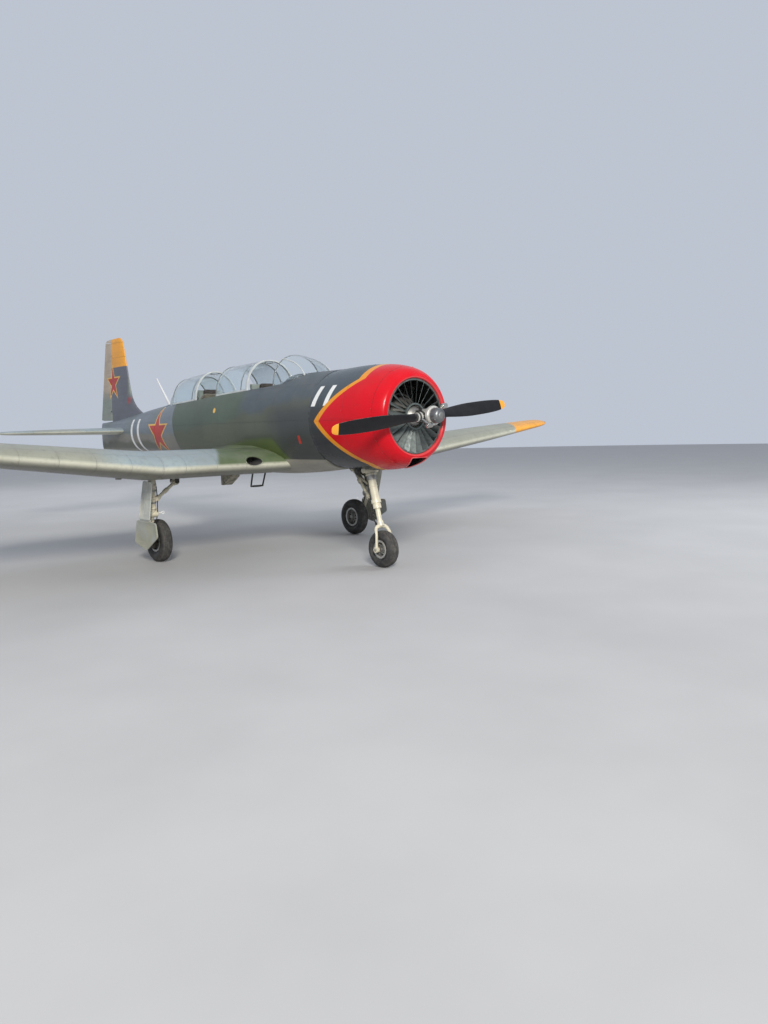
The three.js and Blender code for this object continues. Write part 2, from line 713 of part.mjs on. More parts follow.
function tyre(radius, width, rim) {
  const half = width / 2;
  const profile = [[rim, -half * 0.62], [rim + (radius - rim) * 0.4, -half],
    [radius - 26, -half * 0.84], [radius - 6, -half * 0.5], [radius, -half * 0.18]];
  const mirrored = [...profile].reverse().map(([r, a]) => [r, -a]);
  return wheelBody([...profile, ...mirrored, profile[0]], WHEEL_SIDES);
}

const AXLE_R = 20;
const WHEEL_SIDES = 24;
function hub(rim, width) {
  const half = width / 2;
  const bore = AXLE_R + 0.6;
  const edge = rim - SEAT;
  const side = [[bore, -half * 0.5], [44, -half * 0.5], [edge - 26, -half * 0.22], [edge - 14, -half * 0.62],
    [edge, -half * 0.62]];
  const mirrored = [...side].reverse().map(([r, a]) => [r, -a]);
  return wheelBody([...side, ...mirrored, side[0]], WHEEL_SIDES);
}

function wheel(name, at, radius, width, rim) {
  const group = new THREE.Group();
  group.position.copy(at);
  piece("tyre_" + name, tyre(radius, width, rim), "rubber", group);
  piece("wheel_" + name, hub(rim, width), "bareMetal", group);
  aircraft.add(group);
}

// Main leg: trunnion at the top, knuckle at the bottom where the lever turns.
const TRUNNION = { y: 2790, z: 1070, top: 1088, radius: 34 };
const KNEE = { y: 2855, z: 588, half: 62, radius: 46 };

function knuckle(side, grow) {
  const [left, right] = [-1, 1].map((end) =>
    vec(side * MAIN.legX + end * (KNEE.half + grow), KNEE.y, KNEE.z));
  return rod(left, right, KNEE.radius + grow, KNEE.radius + grow, 14);
}

function mainLeg(side, grow = 0) {
  const x = side * MAIN.legX;
  const [inner, outer] = [x - side * 90, side * (LEG_SLOT.end - SEAT)].map((end) =>
    vec(end, TRUNNION.y, TRUNNION.z));
  return join(
    rod(vec(x, TRUNNION.y, TRUNNION.top), vec(x, KNEE.y - 5, KNEE.z + 12), 44 + grow, 40 + grow, 14),
    knuckle(side, grow),
    rod(inner, outer, TRUNNION.radius + grow, TRUNNION.radius + grow, 10),
  );
}

function mainLever(side, grow = 0) {
  const x = side * MAIN.legX;
  const axleZ = MAIN.tyreR;
  const onAxle = (place) => vec(place, MAIN.y, axleZ);
  const arm = join(
    rod(vec(x, KNEE.y + 13, KNEE.z - 13), vec(x, MAIN.y, axleZ + 20), 36 + grow, 30 + grow, 10),
    rod(onAxle(side * (MAIN.wheelX - 46)), onAxle(x + side * 30), AXLE_R, AXLE_R, WHEEL_SIDES),
    rod(onAxle(x - side * 36), onAxle(x + side * 34), 40, 40, 12),
  );
  return cut(arm, knuckle(side, SEAT));
}

const BRACE = { headX: 1345, headY: 2800, headZ: 932, footY: 2830, footZ: 755 };

function buildMainGear() {
  for (const [name, side] of Object.entries(SIDES)) {
    const x = side * MAIN.legX;
    piece("main_leg_" + name, mainLeg(side), "creamPaint");
    piece("main_lever_" + name, mainLever(side), "creamPaint");
    const head = vec(side * BRACE.headX, BRACE.headY, BRACE.headZ);
    const brace = join(
      rod(vec(x - side * 30, BRACE.footY, BRACE.footZ), head, 19, 19, 8),
      rod(head.clone().setY(BRACE.headY - 50), head.clone().setY(BRACE.headY + 50), 30, 30, 10),
      rod(head, head.clone().setZ(LEG_SLOT.roof - SEAT), 22, 22, 8),
    );
    piece("main_brace_" + name, cut(brace, mainLeg(side, SEAT)), "creamPaint");
    wheel(name, vec(side * MAIN.wheelX, MAIN.y, MAIN.tyreR), MAIN.tyreR, MAIN.tyreW, MAIN.rim);
  }
}

// Canopy envelope, columns: y, half width, foot z, crown z.
const CANOPY = [
  [1655, 60, 2060, 2150],
  [1720, 175, 2050, 2212],
  [1850, 270, 2030, 2292],
  [2020, 335, 2010, 2350],
  [2186, 355, 1990, 2384],
  [2750, 352, 1965, 2372],
  [3600, 338, 1930, 2346],
  [4330, 318, 1895, 2312],
  [4870, 292, 1870, 2268],
  [5090, 245, 1860, 2180],
  [5240, 180, 1855, 2070],
  [5345, 90, 1850, 1945],
];

function canopyRing(y, inset) {
  const [, half, foot, crown] = readTable(CANOPY, y);
  const steps = 14;
  const rise = crown - foot;
  const arch = Array.from({ length: steps + 1 }, (_, i) => {
    const turn = (i / steps) * Math.PI;
    const wide = Math.sign(Math.cos(turn)) * Math.abs(Math.cos(turn)) ** 0.92;
    return vec((half - inset) * wide, y, foot + (rise - inset) * Math.sin(turn) ** 0.92);
  });
  return [...arch, vec(-(half - inset), y, foot - 60), vec(half - inset, y, foot - 60)];
}

function canopyLoft(from, to, inset) {
  const between = CANOPY.map((row) => row[0]).filter((y) => y > from + 1 && y < to - 1);
  return loft([from, ...between, to].map((y) => canopyRing(y, inset)));
}

// The ring at one station carried along the sliding rail to another, so that a hood clears it all the way.
function carriedRing(from, to, inset) {
  return canopyRing(from, inset).map((point) => vec(point.x, to, point.z + (to - from) * SILL.slope));
}

// A shell between two lists of rings, outside and inside.
const shellOf = (rings) => cut(loft(rings(0)), loft(rings(GLASS)));

// One stretch of the canopy as a shell, its outside set in from the envelope by inset.
function canopyShell(from, to, inset, closedFront = false) {
  const outside = canopyLoft(from, to, inset);
  const inside = canopyLoft(closedFront ? from + 2 * GLASS : from - 5, to + 5, inset + GLASS);
  return cut(outside, inside);
}

// A hood: a thin shell with a stout bow at its front edge and a light one at its back.
const BOW = { front: 38, back: 16, proud: 4, deep: 8 };
function hood({ front, back }) {
  const bow = (from, to) =>
    cut(canopyLoft(from, to, -BOW.proud), canopyLoft(from - 5, to + 5, BOW.deep + GLASS / 2));
  return join(canopyShell(front, back, 0), bow(front, front + BOW.front), bow(back - BOW.back, back));
}

const CANOPY_END = 5345;
function buildCanopy() {
  const body = fuselageLoft(FIREWALL_Y, JOIN_Y);
  const deck = join(body, fuselageLoft(JOIN_Y, 6000));
  const seat = cut(deck, aboveSill(DECK_FRONT, DECK_BACK)).translate([0, 0, SEAT]);
  const low = box([-700, 1500, 1700], [700, 5600, 1860]);
  const under = GLASS + HOOD_GAP + BOW.deep;
  const wind = canopyShell(CANOPY[0][0], WINDSCREEN_BACK, 0, true);
  piece("windscreen", cut(wind, seat, low), "glass");

  const { front, back } = MIDDLE_GLASS;
  const middle = shellOf((thick) => [
    carriedRing(back, front - (thick ? 5 : 0), under + thick),
    carriedRing(back, back + (thick ? 5 : 0), under + thick),
  ]);
  piece("canopy_middle", cut(middle, seat, low), "glass");

  const tailRows = CANOPY.map((row) => row[0]).filter((y) => y > REAR_HOOD.back && y < CANOPY_END);
  const tail = shellOf((thick) => {
    const end = CANOPY_END - 2 * thick;
    const free = [REAR_HOOD.back, ...tailRows, end].map((y) => canopyRing(y, under + thick));
    return [carriedRing(REAR_HOOD.back, TAIL_GLASS_FRONT - (thick ? 5 : 0), under + thick), ...free];
  });
  piece("canopy_tail", cut(tail, seat, low), "glass");

  const rail = aboveSill(1000, 5600, SEAT);
  for (const [name, place] of Object.entries({ front: FRONT_HOOD, rear: REAR_HOOD })) {
    piece("hood_" + name, hood(place).intersect(rail), "glass");
  }
}

// Cockpit furniture. Each place: seat back y, coaming front and back y.
const PLACES = {
  front: { seat: 2790, panel: COCKPIT.front + SEAT, thick: 110 },
  rear: { seat: 4230, panel: 3330, thick: 250 },
};

const SEAT_TOP = 2085;

function buildCockpit() {
  const room = cockpitRoom(SEAT);
  for (const [name, place] of Object.entries(PLACES)) {
    const floor = COCKPIT.floor + SEAT;
    const outline = [
      [place.seat - 430, floor],
      [place.seat + 60, floor],
      [place.seat + 130, SEAT_TOP],
      [place.seat + 75, SEAT_TOP],
      [place.seat - 10, 1590],
      [place.seat - 430, 1570],
    ];
    piece("seat_" + name, plate(outline, 420, sideways(-210)), "cloth");

    const brow = sillZ(place.panel) - 12;
    const board = box([-600, place.panel, 1640], [600, place.panel + place.thick, brow]);
    const post = box([-60, place.panel, COCKPIT.floor + SEAT], [60, place.panel + 60, 1700]);
    piece("instrument_panel_" + name, join(board.intersect(room), post), "blackPaint");

    const foot = place.seat - 560;
    const bends = [[foot, floor + 40], [foot - 15, 1600], [foot + 20, 1740], [foot + 5, 1830]];
    const grip = bentRod(bends.map(([y, z]) => vec(0, y, z)), 13, 2, 6);
    const boot = rod(vec(0, foot, floor), vec(0, foot, floor + 60), 45, 30, 12);
    piece("stick_" + name, join(boot, grip), "blackPaint");
  }
}

// Nose gear. A point of the turning axis at the height z.
const noseAxis = (z) => vec(0, NOSE.topY + (z - NOSE.topZ) * NOSE.rake, z);
const COLLAR_Z = 668;

function buildNoseGear() {
  const belly = fuselageLoft(FIREWALL_Y, 3000);
  const cowl = cowlCore(SEAT);
  const mountTop = 1180;
  const leg = (grow) =>
    join(
      rod(noseAxis(mountTop), noseAxis(COLLAR_Z), 44 + grow, 44 + grow, 16),
      rod(noseAxis(mountTop), noseAxis(1010), 58 + grow, 58 + grow, 16),
      rod(noseAxis(730 + grow), noseAxis(690 - grow), 54 + grow, 54 + grow, 16),
    );
  piece("nose_leg", cut(leg(0), cowl), "creamPaint");
  const drag = [1, -1].map((side) =>
    rod(vec(side * 52, 1135, 1100), vec(side * 52, noseAxis(742).y + 46, 742), 17, 17, 8));
  const cross = rod(vec(-90, 1128, 1075), vec(90, 1128, 1075), 22, 22, 10);
  const pin = rod(vec(-70, noseAxis(742).y + 56, 748), vec(70, noseAxis(742).y + 56, 748), 14, 14, 8);
  const strut = cut(join(...drag, cross, pin), leg(SEAT), belly.translate([0, 0, -SEAT]), cowl);
  piece("nose_drag_strut", strut, "bareMetal");

  const crown = noseAxis(455);
  const half = NOSE.tyreW / 2 + 22;
  const arm = (side) => {
    const shoulder = vec(side * half * 0.75, crown.y - 8, 428);
    const shin = vec(side * half, NOSE.y - 4, 350);
    return bentRod([crown, shoulder, shin, vec(side * half, NOSE.y, NOSE.tyreR)], 17, 2, 9);
  };
  const fork = join(
    rod(noseAxis(COLLAR_Z - SEAT), noseAxis(440), 27, 27, 16),
    rod(noseAxis(COLLAR_Z - SEAT), noseAxis(COLLAR_Z - 34), 46, 46, 16),
    arm(1),
    arm(-1),
    rod(vec(-half - 22, NOSE.y, NOSE.tyreR), vec(half + 22, NOSE.y, NOSE.tyreR), AXLE_R, AXLE_R, 24),
  );

  const knee = vec(0, noseAxis(560).y + 118, 552);
  const upper = rod(vec(0, noseAxis(650).y + 30, 650), knee, 13, 11, 8);
  const lower = rod(knee, vec(0, noseAxis(470).y + 24, 470), 11, 13, 8);
  const joint = rod(knee.clone().setX(-26), knee.clone().setX(26), 14, 14, 8);
  piece("nose_fork", join(fork, upper, lower, joint), "creamPaint");
  wheel("nose", vec(0, NOSE.y, NOSE.tyreR), NOSE.tyreR, NOSE.tyreW, NOSE.rim);
}

// Doors that hang on the main legs. Outlines in Y and Z.
const DOOR_X = 1700;
const DOOR_THICK = 12;
const UPPER_DOOR = [[2612, 965], [2846, 965], [3010, 520], [2735, 520]];
const LOWER_DOOR = [[2575, 505], [3075, 505], [3165, 240], [2850, 170], [2545, 345]];

function buildGearDoors() {
  const under = loft(CENTRE_WING.map((row) => wingRing(row, 1, SEAT)));
  for (const [name, side] of Object.entries(SIDES)) {
    const face = side > 0 ? DOOR_X : -DOOR_X - DOOR_THICK;
    const stay = (y, z) => rod(vec(side * (MAIN.legX + 20), y, z), vec(side * (DOOR_X + 2), y, z), 12, 12, 8);
    const upper = join(plate(UPPER_DOOR, DOOR_THICK, sideways(face)), stay(2812, 900), stay(2838, 690));
    const lower = join(plate(LOWER_DOOR, DOOR_THICK, sideways(face)), stay(2925, 440));
    const leaf = [DOOR_X - 8, DOOR_X].map((x) => side * x).sort((a, b) => a - b);
    const hinge = box([leaf[0], 2740, 495], [leaf[1], 3000, 530]);
    const door = join(upper, lower, hinge);
    piece("main_door_" + name, cut(door, under, mainLeg(side, SEAT), mainLever(side, SEAT)), "doorPaint");
  }
}

// Small pieces: an outline in y and z, and the bends of the step and of the exhaust.
const COOLER_OUTLET = [[2330, 1090], [2570, 1090], [2570, 874], [2530, 874], [2350, 980]];
const OUTLET = { x: -870, width: 120 };
const STIRRUP = [
  [-348, 2388, 1090], [-388, 2425, 868], [-405, 2430, 843],
  [-535, 2430, 843], [-552, 2425, 868], [-528, 2388, 1090],
];
const EXHAUST = [[180, 1140, 1140], [180, 1200, 1082], [182, 1275, 1058], [184, 1370, 1048]];

function buildSmallPieces() {
  const wing = loft(CENTRE_WING.map((row) => wingRing(row, 1, SEAT)));
  const step = bentRod(STIRRUP.map((point) => vec(...point)), 10, 2, 16);
  piece("step", cut(step, wing), "blackPaint");
  const vane = plate(COOLER_OUTLET, OUTLET.width, sideways(OUTLET.x));
  piece("cooler_outlet", cut(vane, wing), "darkMetal");

  const rear = fuselageLoft(JOIN_Y + SEAT, TAIL_END.shell);
  const mast = loft([[5520, 1880, 15, 42], [5955, 2345, 7, 20]].map(([y, z, wide, long]) =>
    Array.from({ length: 8 }, (_, i) => {
      const turn = (i / 8) * Math.PI * 2;
      return vec(wide * Math.cos(turn), y + long * Math.sin(turn), z);
    })));
  piece("antenna_mast", cut(mast, rear.translate([0, 0, SEAT]), rear), "palePaint");
  const pipe = bentRod(EXHAUST.map((point) => vec(...point)), 42, 2, 6);
  const belly = fuselageLoft(FIREWALL_Y, 3000).translate([0, 0, -SEAT]);
  piece("exhaust", cut(pipe, cowlCore(SEAT), belly), "darkMetal");
  const pitot = join(
    rod(vec(-3600, 2300, 1322), vec(-3600, 2020, 1302), 14, 14, 8),
    rod(vec(-3600, 2020, 1302), vec(-3600, 1800, 1297), 12, 9, 8),
  );
  const outer = loft(OUTER_WING.map((row) => wingRing(row, -1, SEAT)));
  piece("pitot_tube", cut(pitot, outer), "bareMetal");
}

buildFuselage();
buildWing();
buildTail();
buildNose();
buildPropeller();
buildMainGear();
buildNoseGear();
buildGearDoors();
buildCanopy();
buildCockpit();
buildSmallPieces();

aircraft.position.y = -(NOSE_Y + TAIL_Y) / 2;
const scene = new THREE.Group();
scene.add(aircraft);
export default scene;
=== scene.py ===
# %% [markdown]
# # A parked two-seat trainer aircraft
# The measured model of the aircraft is loaded first and is never changed. Each skin, casting and glass is
# then made again over it at a finer grain, from the same stations, so nothing has to be fitted afterwards.
# Lengths are metres. X points to the aircraft's left, Z up, and a station is counted aft from the plane of
# the propeller blades, as it is on a drawing of the real machine.

# %% Load the measured model
import json
import math

import bmesh
import bpy
import numpy as np
from mathutils import Matrix, Vector


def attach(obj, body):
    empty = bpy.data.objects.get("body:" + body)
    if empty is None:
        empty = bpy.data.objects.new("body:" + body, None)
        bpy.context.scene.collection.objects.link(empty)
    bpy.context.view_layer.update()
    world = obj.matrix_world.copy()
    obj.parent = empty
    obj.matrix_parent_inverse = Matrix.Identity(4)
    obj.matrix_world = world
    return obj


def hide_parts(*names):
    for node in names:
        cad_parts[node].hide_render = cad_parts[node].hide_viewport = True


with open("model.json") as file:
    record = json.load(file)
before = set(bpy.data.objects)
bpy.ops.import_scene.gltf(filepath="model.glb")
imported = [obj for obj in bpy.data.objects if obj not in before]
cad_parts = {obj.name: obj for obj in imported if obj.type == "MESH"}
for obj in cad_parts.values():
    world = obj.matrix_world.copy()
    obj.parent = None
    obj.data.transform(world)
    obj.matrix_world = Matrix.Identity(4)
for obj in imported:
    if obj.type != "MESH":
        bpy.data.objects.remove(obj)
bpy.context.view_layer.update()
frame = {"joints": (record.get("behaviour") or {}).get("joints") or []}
JOINTS = {joint["name"]: joint for joint in frame["joints"]}
PROP_Y = JOINTS["propeller_spin"]["pos_m"][1]
THRUST_Z = JOINTS["propeller_spin"]["pos_m"][2]
print("propeller plane at y", round(PROP_Y, 4), "and thrust line at z", THRUST_Z)

# %% [markdown]
# ## Shapes as points and faces
# A shape here is a plain pair: an array of points and a list of faces. Skins through rows of points, tubes
# along a path, bodies turned about an axis and flat plates cover nearly everything on an aircraft, and
# pairs can be joined, mirrored and moved before Blender ever sees them.

# %% Skins, tubes, turned bodies and plates
FULL = 2 * math.pi
UNIT = {"X": Vector((1, 0, 0)), "Y": Vector((0, 1, 0)), "Z": Vector((0, 0, 1))}
SIDES = (("left", 1), ("right", -1))


def skin(rows):
    """A closed body from rows of points: each row is a ring, and the first and last are capped."""
    rows = np.asarray(rows, float)
    count, across = rows.shape[:2]
    faces = []
    for r in range(count - 1):
        for c in range(across):
            n = (c + 1) % across
            faces.append((r * across + c, r * across + n, (r + 1) * across + n, (r + 1) * across + c))
    faces.append(tuple(range(across))[::-1])
    faces.append(tuple(range((count - 1) * across, count * across)))
    return rows.reshape(-1, 3), faces


def together(*shapes):
    points, faces, start = [], [], 0
    for some, sides in shapes:
        points.append(np.asarray(some, float))
        faces += [tuple(i + start for i in side) for side in sides]
        start += len(some)
    return np.vstack(points), faces


def moved(shape, offset):
    return np.asarray(shape[0], float) + np.asarray(offset, float), shape[1]


def mirrored(shape):
    return np.asarray(shape[0], float) * (-1, 1, 1), [side[::-1] for side in shape[1]]


def both_sides(shape):
    return together(shape, mirrored(shape))


def spline(points, count):
    """A smooth path of count points through a few given ones."""
    given = np.asarray(points, float)
    padded = np.vstack([2 * given[0] - given[1], given, 2 * given[-1] - given[-2]])
    path = []
    for place in np.linspace(0, len(given) - 1, count):
        i = min(int(place), len(given) - 2)
        t = place - i
        a, b, c, d = padded[i : i + 4]
        bend = (2 * b) + (c - a) * t + (2 * a - 5 * b + 4 * c - d) * t**2 + (3 * b - a - 3 * c + d) * t**3
        path.append(bend / 2)
    return np.array(path)


def smooth_profile(pairs, count):
    return [tuple(pair) for pair in spline(pairs, count)]


def tube(path, radius, sides=16, flat=1.0):
    """A round bar along a path; radius may be one value or one per point, flat squeezes it sideways."""
    path = np.asarray(path, float)
    radii = np.broadcast_to(radius, len(path))
    ahead = np.gradient(path, axis=0)
    ahead /= np.linalg.norm(ahead, axis=1)[:, None]
    side = np.cross(ahead[0], (0, 0, 1) if abs(ahead[0][2]) < 0.9 else (0, 1, 0))
    rows = []
    for point, way, size in zip(path, ahead, radii):
        side = side - way * side.dot(way)
        side /= np.linalg.norm(side)
        up = np.cross(side, way)
        turn = np.linspace(0, FULL, sides, endpoint=False)[:, None]
        rows.append(point + size * (np.cos(turn) * side * flat + np.sin(turn) * up))
    return skin(rows)


def bar(start, end, radius, end_radius=None, sides=24):
    return tube([start, end], [radius, radius if end_radius is None else end_radius], sides)


def turned(profile, centre, axis, sides=64):
    """A body turned from (radius, place along the axis) pairs. axis is X, Y, Z or a vector."""
    way = UNIT[axis] if isinstance(axis, str) else Vector(axis).normalized()
    side = way.orthogonal().normalized()
    up = way.cross(side)
    centre, way, side, up = (np.array(v, float) for v in (centre, way, side, up))
    turns = np.linspace(0, FULL, sides, endpoint=False)
    rows = []
    for radius, along in profile:
        rows.append([centre + way * along + radius * (math.cos(t) * side + math.sin(t) * up) for t in turns])
    return skin(rows)


def ring_body(profile, centre, axis, sides=64):
    """A turned body whose profile closes on itself, such as a tyre or a hoop."""
    points, faces = turned(profile, centre, axis, sides)
    last = (len(profile) - 1) * sides
    faces = faces[:-2] + [(last + c, last + (c + 1) % sides, (c + 1) % sides, c) for c in range(sides)]
    return points, faces


def plate(outline, low, high, axis="X"):
    """A flat outline of two coordinates made thick along the third axis."""
    order = {"X": (2, 0, 1), "Y": (0, 2, 1), "Z": (0, 1, 2)}[axis]
    rows = [[[(*pair, depth)[i] for i in order] for pair in outline] for depth in (low, high)]
    return skin(rows)


def rounded(outline, radius, steps=5):
    """The same outline with each corner turned into a short curve."""
    points = [np.array(p, float) for p in outline]
    result = []
    for before, corner, after in zip(points[-1:] + points[:-1], points, points[1:] + points[:1]):
        reach = min(radius, *(0.45 * np.linalg.norm(other - corner) for other in (before, after)))
        a = corner + (before - corner) / np.linalg.norm(before - corner) * reach
        b = corner + (after - corner) / np.linalg.norm(after - corner) * reach
        for t in np.linspace(0, 1, steps):
            result.append((1 - t) ** 2 * a + 2 * t * (1 - t) * corner + t**2 * b)
    return result


def block(low, high):
    (x0, y0, z0), (x1, y1, z1) = low, high
    return plate([(x0, y0), (x1, y0), (x1, y1), (x0, y1)], z0, z1, "Z")


def block_between(corner, opposite):
    """A block from any corner to the one across from it."""
    return block(*np.sort([corner, opposite], axis=0))


# %% [markdown]
# ## From a shape to a piece
# One function turns a shape into a Blender object, moves stations into the model's own frame, gives it a
# finish, and says which body it rides on and which plain solid it stands for. Openings are cut with the
# exact boolean solver while the pieces are still being made, so the finished mesh carries no modifier.

# %% Pieces, cuts and bevels
PIECES = {}
SMOOTH_ANGLE = 40
MERGE_DISTANCE, NO_LENGTH = 2e-6, 1e-6
BEVEL_FACETS = 2


def mesh_object(name, shape, smooth=SMOOTH_ANGLE):
    points, faces = shape
    mesh = bpy.data.meshes.new(name)
    mesh.from_pydata([(x, y + PROP_Y, z) for x, y, z in np.asarray(points, float)], [], faces)
    work = bmesh.new()
    work.from_mesh(mesh)
    bmesh.ops.remove_doubles(work, verts=work.verts, dist=MERGE_DISTANCE)
    bmesh.ops.dissolve_degenerate(work, edges=work.edges, dist=NO_LENGTH)
    bmesh.ops.recalc_face_normals(work, faces=work.faces)
    work.to_mesh(mesh)
    work.free()
    obj = bpy.data.objects.new(name, mesh)
    bpy.context.scene.collection.objects.link(obj)
    soften(obj, smooth)
    return obj


def soften(obj, angle):
    obj.data.polygons.foreach_set("use_smooth", [True] * len(obj.data.polygons))
    obj.data.set_sharp_from_angle(angle=math.radians(angle))


def settle(obj):
    """Applies what modifiers make to the mesh itself."""
    bpy.context.view_layer.update()
    seen = obj.evaluated_get(bpy.context.evaluated_depsgraph_get())
    mesh = bpy.data.meshes.new_from_object(seen)
    obj.modifiers.clear()
    obj.data = mesh


def carve(obj, *tools, crossing=False, smooth=SMOOTH_ANGLE):
    """Cuts tool shapes out of a piece. crossing is for a piece whose own parts run through each other."""
    for shape in tools:
        tool = mesh_object("tool", shape)
        change = obj.modifiers.new("cut", "BOOLEAN")
        change.operation = "DIFFERENCE"
        change.solver = "EXACT"
        change.use_self = crossing
        change.object = tool
        settle(obj)
        bpy.data.objects.remove(tool)
    soften(obj, smooth)
    return obj


def bevel(obj, width):
    change = obj.modifiers.new("bevel", "BEVEL")
    change.width = width
    change.segments = BEVEL_FACETS
    change.limit_method = "ANGLE"
    change.angle_limit = math.radians(SMOOTH_ANGLE)
    change.use_clamp_overlap = True
    settle(obj)
    soften(obj, SMOOTH_ANGLE)


def finish_piece(obj, body, material, replaces=()):
    obj.data.materials.clear()
    for one in material if isinstance(material, (list, tuple)) else [material]:
        obj.data.materials.append(one)
    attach(obj, body)
    if replaces:
        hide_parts(*replaces)
    PIECES[obj.name] = obj
    return obj


def piece(name, shape, body, material, replaces=(), smooth=SMOOTH_ANGLE, edge=0):
    """A whole piece in one call, with its sharp edges broken by edge metres where that is given."""
    obj = mesh_object(name, shape, smooth)
    if edge:
        bevel(obj, edge)
    return finish_piece(obj, body, material, replaces)


# %% [markdown]
# ## Reading the tables of stations
# A fuselage or a wing is drawn from a few stations. The reading below runs a curve through each column that
# bends where the rows do and never overshoots them, so the fine skin stays on the measured one.

# %% Smooth and straight readings
def through(table, places):
    """Each column of a table as a monotone curve, read at the given places."""
    rows = np.asarray(table, float)
    x, y = rows[:, 0], rows[:, 1:]
    places = np.clip(np.atleast_1d(np.asarray(places, float)), x[0], x[-1])
    step = np.diff(x)[:, None]
    slope = np.diff(y, axis=0) / step
    tangent = np.zeros_like(y)
    tangent[0], tangent[-1] = slope[0], slope[-1]
    agree = slope[:-1] * slope[1:] > 0
    total = np.where(agree, slope[:-1] + slope[1:], 1.0)
    tangent[1:-1] = np.where(agree, 2 * slope[:-1] * slope[1:] / total, 0.0)
    i = np.clip(np.searchsorted(x, places) - 1, 0, len(x) - 2)
    t = ((places - x[i]) / (x[i + 1] - x[i]))[:, None]
    near = (2 * t**3 - 3 * t**2 + 1) * y[i] + (t**3 - 2 * t**2 + t) * step[i] * tangent[i]
    far = (-2 * t**3 + 3 * t**2) * y[i + 1] + (t**3 - t**2) * step[i] * tangent[i + 1]
    return near + far


def straight(table, place):
    """The same table read along straight lines."""
    rows = np.asarray(table, float)
    return [float(np.interp(place, rows[:, 0], column)) for column in rows.T[1:]]


def stations(start, end, step):
    return np.linspace(start, end, max(2, int(round((end - start) / step)) + 1))


# %% [markdown]
# ## Building materials from nodes
# Each finish is a tree of shader nodes. The small helpers below place a node, link or set its inputs, and
# hand back a socket, so that a finish reads from top to bottom like a recipe.

# %% Helpers for node trees
def place_node(tree, kind, inputs=None, **settings):
    node = tree.nodes.new(kind)
    for name, value in settings.items():
        setattr(node, name, value)
    for name, value in (inputs or {}).items():
        socket = node.inputs[name]
        if isinstance(value, bpy.types.NodeSocket):
            tree.links.new(value, socket)
        else:
            socket.default_value = value
    return node


def calc(tree, operation, *values, clamp=False):
    inputs = dict(enumerate(values))
    return place_node(tree, "ShaderNodeMath", inputs, operation=operation, use_clamp=clamp).outputs[0]


def shift_range(tree, value, from_low, from_high, to_low=0.0, to_high=1.0, smooth=False):
    inputs = {"Value": value, "From Min": from_low, "From Max": from_high, "To Min": to_low, "To Max": to_high}
    kind = "SMOOTHSTEP" if smooth else "LINEAR"
    return place_node(tree, "ShaderNodeMapRange", inputs, interpolation_type=kind).outputs["Result"]


def blend_colour(tree, mask, first, second, kind="MIX"):
    node = place_node(tree, "ShaderNodeMix", data_type="RGBA", blend_type=kind)
    for socket, value in ((node.inputs[0], mask), (node.inputs[6], first), (node.inputs[7], second)):
        if isinstance(value, bpy.types.NodeSocket):
            tree.links.new(value, socket)
        else:
            socket.default_value = value if isinstance(value, (int, float)) else (*value[:3], 1)
    return node.outputs[2]


def noise(tree, place, scale, detail=3.0, roughness=0.55):
    inputs = {"Vector": place, "Scale": scale, "Detail": detail, "Roughness": roughness}
    return place_node(tree, "ShaderNodeTexNoise", inputs).outputs["Fac"]


def stretch(tree, place, factors):
    inputs = {"Vector": place, "Scale": factors}
    return place_node(tree, "ShaderNodeMapping", inputs, vector_type="POINT").outputs["Vector"]


def new_group(name, inputs, outputs):
    """An empty node group with named sockets, and its input and output nodes."""
    group = bpy.data.node_groups.new(name, "ShaderNodeTree")
    kinds = {"value": "NodeSocketFloat", "colour": "NodeSocketColor", "vector": "NodeSocketVector"}
    for label, kind, default in inputs:
        socket = group.interface.new_socket(label, in_out="INPUT", socket_type=kinds[kind])
        socket.default_value = default
    for label, kind in outputs:
        group.interface.new_socket(label, in_out="OUTPUT", socket_type=kinds[kind])
    return group, group.nodes.new("NodeGroupInput").outputs, group.nodes.new("NodeGroupOutput").inputs


def use_group(tree, group, **inputs):
    named = {name.replace("_", " "): value for name, value in inputs.items()}
    return place_node(tree, "ShaderNodeGroup", named, node_tree=group).outputs


# %% [markdown]
# ## Effects that several finishes share
# Old aircraft paint is never one colour: it has chalky clouds, streaks that run aft, dust that settles on
# upper faces, and primer that shows on edges. Each effect is a node group with its own controls, so that a
# wing and a door can wear differently with the same nodes.

# %% Station group: where a point is on the aircraft
readings = [("Place", "vector"), ("Out", "value"), ("Aft", "value"), ("Up", "value")]
STATION, _, found = new_group("station", [], readings)
where = place_node(STATION, "ShaderNodeTexCoord").outputs["Object"]
counted = place_node(STATION, "ShaderNodeVectorMath", {0: where, 1: (0, -PROP_Y, 0)}, operation="ADD").outputs[0]
parts = place_node(STATION, "ShaderNodeSeparateXYZ", {0: counted}).outputs
for target, source in zip(found, (counted, *parts)):
    STATION.links.new(source, target)

# %% Cloud group: slow change of tone, faint speckle and streaks that run aft
CLOUDS, given, found = new_group(
    "paint clouds",
    [("Size", "value", 2.0), ("Streaks", "value", 0.5)],
    [("Tone", "value"), ("Speckle", "value"), ("Streak", "value")],
)
spot = use_group(CLOUDS, STATION)["Place"]
CLOUDS.links.new(noise(CLOUDS, spot, given["Size"], 4.0), found["Tone"])
CLOUDS.links.new(noise(CLOUDS, spot, 160.0, 2.0), found["Speckle"])
long_spot = stretch(CLOUDS, spot, (9.0, 0.7, 9.0))
streak = shift_range(CLOUDS, noise(CLOUDS, long_spot, 3.0, 4.0), 0.5, 0.75)
CLOUDS.links.new(calc(CLOUDS, "MULTIPLY", streak, given["Streaks"]), found["Streak"])

